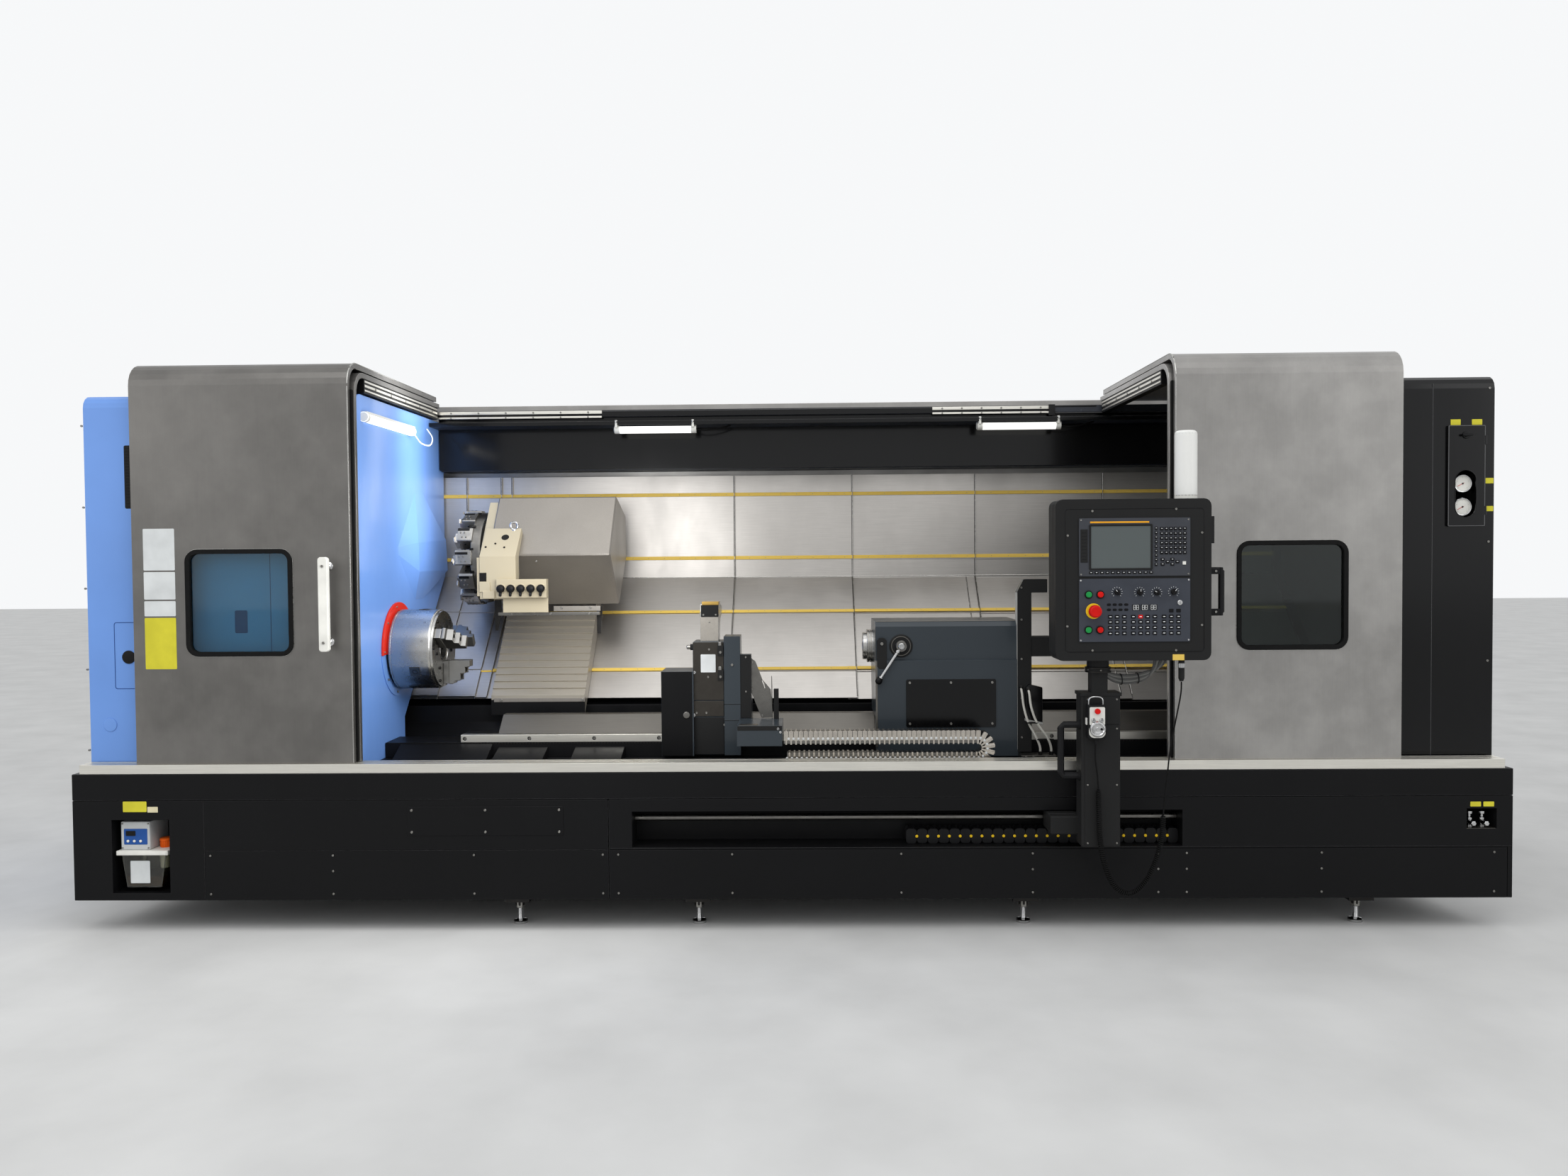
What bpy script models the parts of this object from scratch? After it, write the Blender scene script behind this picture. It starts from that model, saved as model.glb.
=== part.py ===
"""A slant-bed turning lathe with open sliding doors.

X runs along the spindle to the right, Y from the front to the back, Z up, all in metres.
Depths are measured from the front of the base, heights from the floor.
The origin is on the floor, under the middle of the machine.
"""
import math

import bmesh
import bpy
from mathutils import Matrix, Vector

for old in list(bpy.data.objects):
    bpy.data.objects.remove(old, do_unlink=True)

# Driving sizes of the whole machine
machine_length = 5.54
machine_depth = 1.85
machine_height = 2.215
pendant_reach = 0.26
base_underside = 0.125
base_top = 0.619
spindle_depth = 0.53
spindle_over_base = 0.441
spindle_height = base_top + spindle_over_base
wall_x = -1.668
bay_right = 2.37

# Fits that every piece shares
touch_gap = 0.0003
running_gap = 0.004
overrun = 0.02
weld_distance = 0.00001
seam_width = 0.003
seam_depth = 0.004

half_length = machine_length / 2
front_y = -(machine_depth - pendant_reach) / 2

lathe = bpy.data.collections.new("cnc_turning_lathe")
helpers = bpy.data.collections.new("cutters")
bpy.context.scene.collection.children.link(lathe)
bpy.context.scene.collection.children.link(helpers)


def finish(name, colour, roughness, metallic=0.0):
    """A plain surface finish."""
    material = bpy.data.materials.new(name)
    material.use_nodes = True
    shader = material.node_tree.nodes["Principled BSDF"]
    shader.inputs["Base Color"].default_value = (*colour, 1.0)
    shader.inputs["Roughness"].default_value = roughness
    shader.inputs["Metallic"].default_value = metallic
    return material


stainless = finish("stainless_sheet", (0.52, 0.52, 0.50), 0.35, 0.9)
black_paint = finish("black_paint", (0.03, 0.03, 0.035), 0.45)
grey_casting = finish("dark_casting", (0.10, 0.11, 0.12), 0.5)
blue_paint = finish("blue_paint", (0.12, 0.30, 0.62), 0.35)
red_paint = finish("red_paint", (0.55, 0.05, 0.04), 0.35)
cream_paint = finish("cream_paint", (0.80, 0.78, 0.70), 0.4)
bright_steel = finish("bright_steel", (0.60, 0.60, 0.60), 0.25, 1.0)
tinted_glass = finish("tinted_glass", (0.05, 0.06, 0.06), 0.1)
white_plastic = finish("white_plastic", (0.85, 0.85, 0.83), 0.4)
red_plastic = finish("red_plastic", (0.75, 0.04, 0.03), 0.35)
black_rubber = finish("black_rubber", (0.02, 0.02, 0.02), 0.6)


def place(x, depth, height):
    """The world point of a length, a depth behind the base's front and a height."""
    return Vector((x, front_y + depth, height))


def add(name, mesh, surface, origin, group=lathe):
    """A named object whose mesh is given around its own origin."""
    piece = bpy.data.objects.new(name, mesh)
    piece.location = origin
    group.objects.link(piece)
    if surface:
        mesh.materials.append(surface)
    return piece


def settle(form, name, origin):
    """A mesh from a form that was made in world places, moved to its origin."""
    form.transform(Matrix.Translation(-origin))
    bmesh.ops.recalc_face_normals(form, faces=form.faces)
    mesh = bpy.data.meshes.new(name)
    form.to_mesh(mesh)
    form.free()
    return mesh


def block(name, x, depth, height, surface, edge=0.0, origin=None):
    """A box between two lengths, depths and heights, with its edges broken."""
    low = place(x[0], depth[0], height[0])
    high = place(x[1], depth[1], height[1])
    origin = (low + high) / 2 if origin is None else origin
    form = bmesh.new()
    bmesh.ops.create_cube(form, size=1.0)
    bmesh.ops.scale(form, vec=high - low, verts=form.verts)
    bmesh.ops.translate(form, vec=(low + high) / 2, verts=form.verts)
    piece = add(name, settle(form, name, origin), surface, origin)
    if edge:
        soften(piece, edge)
    return piece


def soften(piece, width, segments=1):
    """Rounded edges on what is sharper than a gentle fold."""
    bevel = piece.modifiers.new("edges", "BEVEL")
    bevel.width = width
    bevel.segments = segments
    bevel.limit_method = "ANGLE"
    return piece


def outline_solid(name, outlines, thickness, turn, middle, surface, origin):
    """A flat outline, with its holes, as a plate of a thickness."""
    curve = bpy.data.curves.new(name, "CURVE")
    curve.dimensions = "2D"
    curve.fill_mode = "BOTH"
    curve.extrude = thickness / 2
    for outline in outlines:
        spline = curve.splines.new("POLY")
        spline.points.add(len(outline) - 1)
        for point, (u, v) in zip(spline.points, outline):
            point.co = (u, v, 0.0, 1.0)
        spline.use_cyclic_u = True
    drawn = bpy.data.objects.new(name + "_outline", curve)
    bpy.context.scene.collection.objects.link(drawn)
    bpy.context.view_layer.update()
    graph = bpy.context.evaluated_depsgraph_get()
    flat = bpy.data.meshes.new_from_object(drawn.evaluated_get(graph))
    form = bmesh.new()
    form.from_mesh(flat)
    bmesh.ops.remove_doubles(form, verts=form.verts, dist=weld_distance)
    flat_fold = math.radians(0.5)
    bmesh.ops.dissolve_limit(form, angle_limit=flat_fold, verts=form.verts, edges=form.edges)
    form.transform(Matrix.Translation(middle) @ turn)
    bpy.data.objects.remove(drawn, do_unlink=True)
    return add(name, settle(form, name, origin), surface, origin)


ALONG_X = Matrix(((0, 0, 1, 0), (1, 0, 0, 0), (0, 1, 0, 0), (0, 0, 0, 1)))
ALONG_Y = Matrix(((1, 0, 0, 0), (0, 0, -1, 0), (0, 1, 0, 0), (0, 0, 0, 1)))


def side_plate(name, outline, x, surface, origin=None, holes=()):
    """An outline of depths and heights, drawn out along the machine."""
    centre = (x[0] + x[1]) / 2
    origin = place(centre, 0, 0) if origin is None else origin
    middle = place(centre, 0, 0)
    return outline_solid(name, [outline, *holes], x[1] - x[0], ALONG_X, middle, surface, origin)


def front_plate(name, outline, depth, surface, origin=None, holes=()):
    """An outline of lengths and heights, drawn out from the front to the back."""
    middle = place(0, (depth[0] + depth[1]) / 2, 0)
    origin = middle if origin is None else origin
    thickness = depth[1] - depth[0]
    return outline_solid(name, [outline, *holes], thickness, ALONG_Y, middle, surface, origin)


def arc(centre, radius, start, end, steps):
    """Points of a round stretch, by its angles in degrees."""
    points = []
    for step in range(steps + 1):
        angle = math.radians(start + (end - start) * step / steps)
        points.append((centre[0] + radius * math.cos(angle), centre[1] + radius * math.sin(angle)))
    return points


def rounded(x, height, radius, steps=4):
    """A rectangle with round corners."""
    corners = (
        (x[1] - radius, height[1] - radius, 0),
        (x[0] + radius, height[1] - radius, 90),
        (x[0] + radius, height[0] + radius, 180),
        (x[1] - radius, height[0] + radius, 270),
    )
    points = []
    for u, v, start in corners:
        points += arc((u, v), radius, start, start + 90, steps)
    return points


AXIS_TURNS = {
    "X": Matrix.Rotation(math.radians(90), 4, "Y"),
    "Y": Matrix.Rotation(math.radians(-90), 4, "X"),
    "Z": Matrix.Identity(4),
}


def turned(name, profile, origin, axis, surface, steps=32, closed=False):
    """A turned piece: radii and places along its axis, from its far end down its outer side."""
    form = bmesh.new()
    ring = [form.verts.new((radius, 0, along)) for radius, along in profile]
    for first, second in zip(ring, ring[1:]):
        form.edges.new((first, second))
    if closed:
        form.edges.new((ring[-1], ring[0]))
    mesh = bpy.data.meshes.new(name)
    form.to_mesh(mesh)
    form.free()
    piece = add(name, mesh, surface, origin)
    piece.rotation_euler = AXIS_TURNS[axis].to_euler()
    screw = piece.modifiers.new("turning", "SCREW")
    screw.steps = steps
    screw.render_steps = steps
    screw.use_merge_vertices = True
    screw.merge_threshold = weld_distance
    screw.use_smooth_shade = True
    return piece


def tube(name, points, radius, surface, roundness=2, welded=False):
    """A bar or cord of round section along its points."""
    curve = bpy.data.curves.new(name, "CURVE")
    curve.dimensions = "3D"
    curve.bevel_depth = radius
    curve.bevel_resolution = roundness
    curve.use_fill_caps = True
    spline = curve.splines.new("POLY")
    spline.points.add(len(points) - 1)
    for point, at in zip(spline.points, points):
        point.co = (*at, 1.0)
    piece = bpy.data.objects.new(name, curve)
    lathe.objects.link(piece)
    curve.materials.append(surface)
    if not welded:
        return piece
    bpy.context.view_layer.update()
    graph = bpy.context.evaluated_depsgraph_get()
    form = bmesh.new()
    form.from_mesh(bpy.data.meshes.new_from_object(piece.evaluated_get(graph)))
    bmesh.ops.remove_doubles(form, verts=form.verts, dist=weld_distance)
    bpy.data.objects.remove(piece, do_unlink=True)
    return add(name, settle(form, name, points[0]), surface, points[0])


def hide_helper(piece):
    """Moves an operand of a cut or join to the helpers."""
    lathe.objects.unlink(piece)
    helpers.objects.link(piece)
    piece.hide_render = True
    piece.display_type = "WIRE"


def combine(target, operation, others):
    """Cuts or joins the others into the target."""
    for other in others:
        step = target.modifiers.new(operation.lower(), "BOOLEAN")
        step.operation = operation
        step.solver = "EXACT"
        step.object = other
        hide_helper(other)
    return target


def cut(target, *others):
    return combine(target, "DIFFERENCE", others)


def fuse(target, *others):
    return combine(target, "UNION", others)


def pivot(name, at):
    """An empty on a joint's axis."""
    empty = bpy.data.objects.new(name, None)
    empty.location = at
    lathe.objects.link(empty)
    return empty


def carry(parent, *pieces):
    """Parents pieces without moving them."""
    for piece in pieces:
        piece.parent = parent
        piece.matrix_parent_inverse = Matrix.Translation(-parent.location)


# Slanted bed and its covers: a wall, a crease and a slope of 45 degrees
crease_depth = 1.25
crease_height = 1.345
cover_top = 1.84
cover_foot_depth = 0.725
cover_sheet = 0.004
strip_proud = 0.004
strip_height = 0.012
layer_gap = 0.001
layer_step = cover_sheet + strip_proud + layer_gap
slope_rise = crease_height - crease_depth
left_layers = 3
right_layers = 4
bed_offset = 0.055
housing_offset = 0.045


def slope_point(depth, outward):
    """A point of the slope's line, moved outward, square to the slope."""
    return (depth, depth + slope_rise + outward * math.sqrt(2))


def slope_depth(height, outward):
    """The depth at which the moved slope reaches a height."""
    return height - slope_rise - outward * math.sqrt(2)


def base():
    """The casting, the skirts round its front, the door rail and the feet."""
    skirt_depth = 0.195
    band_foot = 0.517
    casting_front = skirt_depth + running_gap
    rear_panel = 0.06
    casting_back = machine_depth - rear_panel - running_gap
    bed_shoulder = 1.20
    end_inset = 0.07
    ledge_front = 0.700
    ledge_back = 0.722
    ledge_top = 0.792
    front = -bed_offset
    outline = [
        (casting_front, base_underside),
        (casting_back, base_underside),
        (casting_back, bed_shoulder),
        (slope_depth(bed_shoulder, front), bed_shoulder),
        slope_point(ledge_back, front),
        (ledge_back, ledge_top),
        (ledge_front, ledge_top),
        slope_point(ledge_front, front),
        (slope_depth(base_top, front), base_top),
        (casting_front, base_top),
    ]
    ends = (-half_length + end_inset, half_length - end_inset)
    casting = side_plate("base_casting", outline, ends, grey_casting)
    pocket_width = 0.30
    pocket_length = (0.225, 0.315)
    pocket_floor = 0.03
    pockets = []
    for centre in (-0.90, -0.45, 0.25, 0.70, 1.15, 1.60):
        pockets.append(
            block(
                "tray_pocket",
                (centre - pocket_width / 2, centre + pocket_width / 2),
                pocket_length,
                (base_top - pocket_floor, base_top + overrun),
                None,
            )
        )
    cut(casting, *pockets)

    band_edge = 0.002
    block("front_band", (-half_length, half_length), (0, skirt_depth), (band_foot, base_top), black_paint, band_edge)

    skirt_top = band_foot - seam_width / 2
    skirt_joint = -0.677
    plate_line = 0.319
    plate_left = -2.254
    left = block(
        "left_skirt",
        (-half_length, skirt_joint - seam_width / 2),
        (0, skirt_depth),
        (base_underside, skirt_top),
        black_paint,
        band_edge,
    )
    seams = [
        block(
            "left_plate_seam",
            (plate_left, skirt_joint + overrun),
            (-overrun, seam_depth),
            (plate_line - seam_width / 2, plate_line + seam_width / 2),
            None,
        ),
        block(
            "left_plate_side",
            (plate_left - seam_width / 2, plate_left + seam_width / 2),
            (-overrun, seam_depth),
            (base_underside - overrun, plate_line + seam_width / 2),
            None,
        ),
    ]
    recess_x = (-2.617, -2.390)
    recess_height = (0.154, 0.441)
    recess_depth = 0.16
    recess = block("lubricator_recess", recess_x, (-overrun, recess_depth), recess_height, None)
    cut(left, *seams, recess)

    plate_right = half_length - 0.02
    right = block(
        "right_skirt",
        (skirt_joint + seam_width / 2, half_length),
        (0, skirt_depth),
        (base_underside, skirt_top),
        black_paint,
        band_edge,
    )
    slot_x = (-0.586, 1.523)
    slot_height = (0.326, 0.466)
    slot_depth = 0.14
    valve_x = (2.596, 2.709)
    valve_height = (0.389, 0.467)
    valve_depth = 0.10
    cut(
        right,
        block("pendant_slot", slot_x, (-overrun, slot_depth), slot_height, None),
        block("valve_recess", valve_x, (-overrun, valve_depth), valve_height, None),
        block(
            "right_plate_seam",
            (skirt_joint - overrun, plate_right),
            (-overrun, seam_depth),
            (slot_height[0] - seam_width * 3, slot_height[0] - seam_width * 2),
            None,
        ),
        block(
            "right_plate_side",
            (plate_right - seam_width / 2, plate_right + seam_width / 2),
            (-overrun, seam_depth),
            (base_underside - overrun, slot_height[0] - seam_width * 2),
            None,
        ),
    )

    rod_radius = 0.013
    rod_height = 0.425
    rod_depth = 0.085
    turned(
        "guide_rod",
        [(0, slot_x[1] - touch_gap), (rod_radius, slot_x[1] - touch_gap), (rod_radius, slot_x[0] + touch_gap), (0, slot_x[0] + touch_gap)],
        place(0, rod_depth, rod_height),
        "X",
        bright_steel,
        24,
    )
    cable_chain(slot_x, slot_height)
    lubricator(recess_x, recess_height, recess_depth)
    door_rail()
    feet(casting_front, casting_back)
    return slot_x, slot_height


def cable_chain(slot_x, slot_height):
    """The lower run of the pendant's cable chain, link beside link in its slot."""
    link_pitch = 0.042
    chain_left = 0.47
    chain_depth = (0.050, 0.115)
    chain_height = 0.058
    link_notch = 0.006
    chain_foot = slot_height[0] + touch_gap
    chain_right = slot_x[1] - touch_gap
    links = int((chain_right - chain_left) / link_pitch)
    chain = block(
        "cable_chain",
        (chain_right - links * link_pitch, chain_right),
        chain_depth,
        (chain_foot, chain_foot + chain_height),
        black_rubber,
    )
    gaps = []
    for number in range(1, links):
        joint = chain_right - number * link_pitch
        gaps.append(
            block(
                "link_gap",
                (joint - link_notch / 2, joint + link_notch / 2),
                (chain_depth[0] - overrun, chain_depth[0] + link_notch),
                (chain_foot - overrun, chain_foot + chain_height + overrun),
                None,
            )
        )
    cut(chain, *gaps)


def lubricator(recess_x, recess_height, recess_depth):
    """A small grease and oil pump: box, tray, clear tank, cap and filter cup in one piece."""
    side_gap = 0.012
    box_height = (0.318, 0.410)
    box_depth = (0.020, recess_depth - touch_gap)
    tray_height = (0.300, 0.3181)
    tray_depth = (0.006, recess_depth - running_gap)
    tank_height = (0.172, 0.3001)
    tank_shrink = 0.014
    tank_taper = 0.02
    left = recess_x[0] + side_gap
    right = recess_x[1] - side_gap
    body = block("lubricator", (left, right), tray_depth, tray_height, white_plastic)
    pump_right = left + (right - left) * 0.62
    pump = block("pump_box", (left + side_gap, pump_right), box_depth, box_height, None)
    tank_top = (left + tank_shrink, right - tank_shrink)
    tank_foot = (tank_top[0] + tank_taper, tank_top[1] - tank_taper)
    tank_outline = [
        (tank_top[0], tank_height[1]),
        (tank_foot[0], tank_height[0]),
        (tank_foot[1], tank_height[0]),
        (tank_top[1], tank_height[1]),
    ]
    tank = front_plate("tank", tank_outline, (tray_depth[0] + tank_shrink, tray_depth[1] - tank_shrink), None)
    cap_radius = 0.022
    cap_height = 0.035
    cap_x = pump_right + cap_radius * 1.5
    cap = turned(
        "filler_cap",
        [(0, cap_height), (cap_radius, cap_height), (cap_radius, -overrun / 2), (0, -overrun / 2)],
        place(cap_x, (tray_depth[0] + tray_depth[1]) / 2, tray_height[1]),
        "Z",
        None,
        20,
    )
    fuse(body, pump, tank, cap)


def door_rail():
    """The stainless strip with the two grooves that the door leaves run in."""
    rail_depth = (0.003, 0.085)
    rail_top = base_top + rail_height
    rail_inset = 0.03
    lip = 0.006
    groove = 0.012
    foot = base_top + touch_gap
    first = door_front + door_sheet / 2
    second = door_front + door_sheet + leaf_gap + door_sheet / 2
    outline = [(rail_depth[0], foot), (rail_depth[1], foot), (rail_depth[1], rail_top)]
    for centre in (second, first):
        outline += [
            (centre + lip, rail_top),
            (centre + lip, rail_top - groove),
            (centre - lip, rail_top - groove),
            (centre - lip, rail_top),
        ]
    outline.append((rail_depth[0], rail_top))
    side_plate("door_rail", outline, (-half_length + rail_inset, half_length - rail_inset), stainless)


def feet(casting_front, casting_back):
    """Levelling feet: pad, stud and nut under a bracket that is bolted below the casting."""
    pad_radius = 0.0275
    pad_height = 0.012
    stud_radius = 0.010
    nut_radius = 0.018
    nut_height = 0.016
    bracket_foot = 0.095
    bracket_width = 0.096
    bracket_hold = 0.16
    overhang = 0.135
    stud_inset = 0.055
    front_places = (-1.051, -0.340, 0.937, 2.232)
    rear_places = (-2.30, 2.232)
    rows = [(x, casting_front, 1) for x in front_places] + [(x, casting_back, -1) for x in rear_places]
    for number, (x, edge, way) in enumerate(rows, 1):
        near = edge - way * (overhang if way > 0 else 0)
        far = near + way * (overhang + bracket_hold)
        spans = (min(near, far), max(near, far))
        foot = block(
            f"levelling_foot_{number}",
            (x - bracket_width / 2, x + bracket_width / 2),
            spans,
            (bracket_foot, base_underside - touch_gap),
            grey_casting,
        )
        stud_place = place(x, near + way * stud_inset, 0)
        stud = turned(
            "foot_stud",
            [
                (0, bracket_foot + stud_radius),
                (stud_radius, bracket_foot + stud_radius),
                (stud_radius, bracket_foot - nut_height / 2),
                (nut_radius, bracket_foot - nut_height / 2),
                (nut_radius, bracket_foot - nut_height * 3 / 2),
                (stud_radius, bracket_foot - nut_height * 3 / 2),
                (stud_radius, pad_height),
                (pad_radius, pad_height),
                (pad_radius, 0),
                (0, 0),
            ],
            stud_place,
            "Z",
            None,
            16,
        )
        fuse(foot, stud)


# Sliding doors: an outer and an inner leaf on each side
rail_height = 0.036
door_front = 0.02
door_sheet = 0.020
leaf_gap = 0.012
door_corner = 0.09
roof_back = 1.11
left_door_x = (-2.523, -1.668)
right_door_x = (1.500, 2.358)
leaf_reveal = 0.014
window_height = (1.077, 1.487)
window_corner = 0.045
window_widths = {"left": (-2.3125, -1.899), "right": (1.7365, 2.151)}


def leaf_outline(front, top):
    """A leaf in section: upright front, round shoulder and roof."""
    foot = base_top + rail_height + touch_gap
    outer = arc((front + door_corner, top - door_corner), door_corner, 180, 90, 6)
    inner = arc((front + door_corner, top - door_corner), door_corner - door_sheet, 90, 180, 6)
    outline = [(front, foot)] + outer + [(roof_back, top), (roof_back, top - door_sheet)]
    return outline + inner + [(front + door_sheet, foot)]


def doors():
    gasket_lip = 0.016
    gasket_depth = 0.006
    pane_set = 0.004
    for side, span in (("left", left_door_x), ("right", right_door_x)):
        leaf = side_plate(f"{side}_outer_door", leaf_outline(door_front, machine_height), span, stainless)
        width = window_widths[side]
        hole = front_plate(
            "window_hole",
            rounded(width, window_height, window_corner),
            (door_front - overrun, door_front + door_sheet + overrun / 2),
            None,
        )
        cut(leaf, hole)
        fit_x = (width[0] + touch_gap, width[1] - touch_gap)
        fit_height = (window_height[0] + touch_gap, window_height[1] - touch_gap)
        pane = front_plate(
            f"{side}_window",
            rounded(fit_x, fit_height, window_corner - touch_gap),
            (door_front - gasket_depth / 2, door_front + door_sheet - pane_set),
            tinted_glass,
        )
        lip_x = (width[0] - gasket_lip, width[1] + gasket_lip)
        lip_height = (window_height[0] - gasket_lip, window_height[1] + gasket_lip)
        inner_x = (width[0] + gasket_lip, width[1] - gasket_lip)
        inner_height = (window_height[0] + gasket_lip, window_height[1] - gasket_lip)
        lip = front_plate(
            "gasket",
            rounded(lip_x, lip_height, window_corner + gasket_lip),
            (door_front - gasket_depth, door_front - touch_gap),
            None,
            holes=[rounded(inner_x, inner_height, window_corner - gasket_lip)],
        )
        fuse(pane, lip)
    inner_front = door_front + door_sheet + leaf_gap
    inner_top = machine_height - door_sheet - leaf_gap
    shift = leaf_reveal
    left_inner = (left_door_x[0] + shift, left_door_x[1] + shift)
    right_inner = (right_door_x[0] - shift, right_door_x[1] - shift)
    view_margin = 0.006
    for side, span in (("left", left_inner), ("right", right_inner)):
        leaf = side_plate(f"{side}_inner_door", leaf_outline(inner_front, inner_top), span, stainless)
        view_x = (window_widths[side][0] - view_margin, window_widths[side][1] + view_margin)
        view_height = (window_height[0] - view_margin, window_height[1] + view_margin)
        view = front_plate(
            "inner_view",
            rounded(view_x, view_height, window_corner + view_margin),
            (inner_front - leaf_gap / 2, inner_front + door_sheet + leaf_gap / 2),
            None,
        )
        cut(leaf, view)

    handle_x = (-1.773, -1.732)
    handle_height = (1.094, 1.457)
    bar_depth = (-0.046, -0.020)
    bar_edge = 0.008
    standoff_radius = 0.008
    standoff_inset = 0.035
    bar = block("left_door_handle", handle_x, bar_depth, handle_height, white_plastic, bar_edge)
    standoffs = []
    reach = door_front - touch_gap - bar_depth[1]
    for height in (handle_height[0] + standoff_inset, handle_height[1] - standoff_inset):
        profile = [(0, reach), (standoff_radius, reach), (standoff_radius, -overrun / 2), (0, -overrun / 2)]
        centre = place((handle_x[0] + handle_x[1]) / 2, bar_depth[1], height)
        standoffs.append(turned("standoff", profile, centre, "Y", None, 16))
    fuse(bar, *standoffs)


def housing_outline(front, top, corner, rear):
    """A closed housing in section: its back follows the slanted covers with clearance."""
    foot = base_top + touch_gap
    rear_step = 0.03
    wall_depth = crease_depth - housing_offset
    toe_depth = 0.60
    toe = slope_point(toe_depth, housing_offset)
    upper = (wall_depth, wall_depth + slope_rise + housing_offset * math.sqrt(2))
    shoulder = arc((front + corner, top - corner), corner, 180, 90, 4)
    return (
        [(front, foot)]
        + shoulder
        + [(rear, top), (rear, cover_top + rear_step), (wall_depth, cover_top + rear_step)]
        + [upper, toe, (toe_depth, foot)]
    )


def end_sheet(span, rear):
    """The sheet that closes a housing's outer end down to the base."""
    front = 0.50
    slant_foot = 1.00
    slant_depth = 1.12
    top = cover_top + 0.05
    foot = base_top + touch_gap
    outline = [(front, foot), (front, slant_foot), (slant_depth, top), (rear, top), (rear, foot)]
    return side_plate("end_sheet", outline, span, None)


def headstock(rear):
    """The blue cover of the spindle drive, the moulded wall and the spindle's guard."""
    cover_front = 0.09
    cover_height = machine_height - 0.115
    cover_corner = 0.05
    end_inset = 0.025
    wall_thickness = 0.037
    cover_span = (-half_length + end_inset, wall_x - wall_thickness - touch_gap)
    cover = side_plate(
        "headstock_cover",
        housing_outline(cover_front, cover_height, cover_corner, rear),
        cover_span,
        blue_paint,
    )
    motor_depth = (0.16, 0.62)
    motor_height = (0.66, 0.985)
    motor_chamfer = 0.02
    motor = block(
        "motor_cover",
        (-half_length, cover_span[0] + overrun),
        motor_depth,
        motor_height,
        None,
        motor_chamfer,
    )
    sheet_inset = 0.067
    fuse(cover, motor, end_sheet((cover_span[0], -half_length + sheet_inset), rear))
    hatch_hole = 0.022
    hatch_place = (0.08, 0.80)
    hatch_depth = 0.012
    hole = turned(
        "hatch_hole",
        [(0, hatch_depth), (hatch_hole, hatch_depth), (hatch_hole, -overrun), (0, -overrun)],
        place(cover_span[0] + hatch_place[0], cover_front, hatch_place[1]),
        "Y",
        None,
        20,
    )
    cut(cover, hole)

    wall_front = 0.09
    wall = side_plate(
        "headstock_wall",
        housing_outline(wall_front, cover_height, cover_corner, rear),
        (wall_x - wall_thickness, wall_x),
        blue_paint,
    )
    boss_proud = 0.030
    boss_sunk = 0.010
    boss_foot = [(0.49, 1.49), (0.80, 1.82), (1.17, 1.56), (1.18, 1.40), (0.77, 1.22)]
    boss_top = [(0.73, 1.52), (1.13, 1.535), (1.15, 1.39), (0.74, 1.39)]
    form = bmesh.new()
    for depth, height in boss_foot:
        form.verts.new(place(wall_x - boss_sunk, depth, height))
    for depth, height in boss_top:
        form.verts.new(place(wall_x + boss_proud, depth, height))
    bmesh.ops.convex_hull(form, input=form.verts)
    origin = place(wall_x, boss_top[0][0], boss_top[0][1])
    fuse(wall, add("wall_boss", settle(form, "wall_boss", origin), None, origin), wall_lamp())

    flange_radius = 0.2015
    flange_thickness = 0.022
    neck_radius = 0.158
    guard_length = 0.083
    guard_bore = 0.108
    turned(
        "spindle_guard",
        [
            (neck_radius, guard_length),
            (neck_radius, flange_thickness),
            (flange_radius, flange_thickness),
            (flange_radius, touch_gap),
            (guard_bore, touch_gap),
            (guard_bore, guard_length),
        ],
        place(wall_x, spindle_depth, spindle_height),
        "X",
        red_paint,
        40,
        closed=True,
    )
    return guard_bore, guard_length


def wall_lamp():
    """The tube lamp along the top of the headstock wall."""
    lamp_depth = (0.15, 0.72)
    lamp_height = machine_height - 0.203
    lamp_radius = 0.019
    lamp_set = 0.012
    span = lamp_depth[1] - lamp_depth[0]
    return turned(
        "wall_lamp",
        [(0, span), (lamp_radius, span), (lamp_radius, 0), (0, 0)],
        place(wall_x + lamp_set, lamp_depth[0], lamp_height),
        "Y",
        None,
        16,
    )


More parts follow.
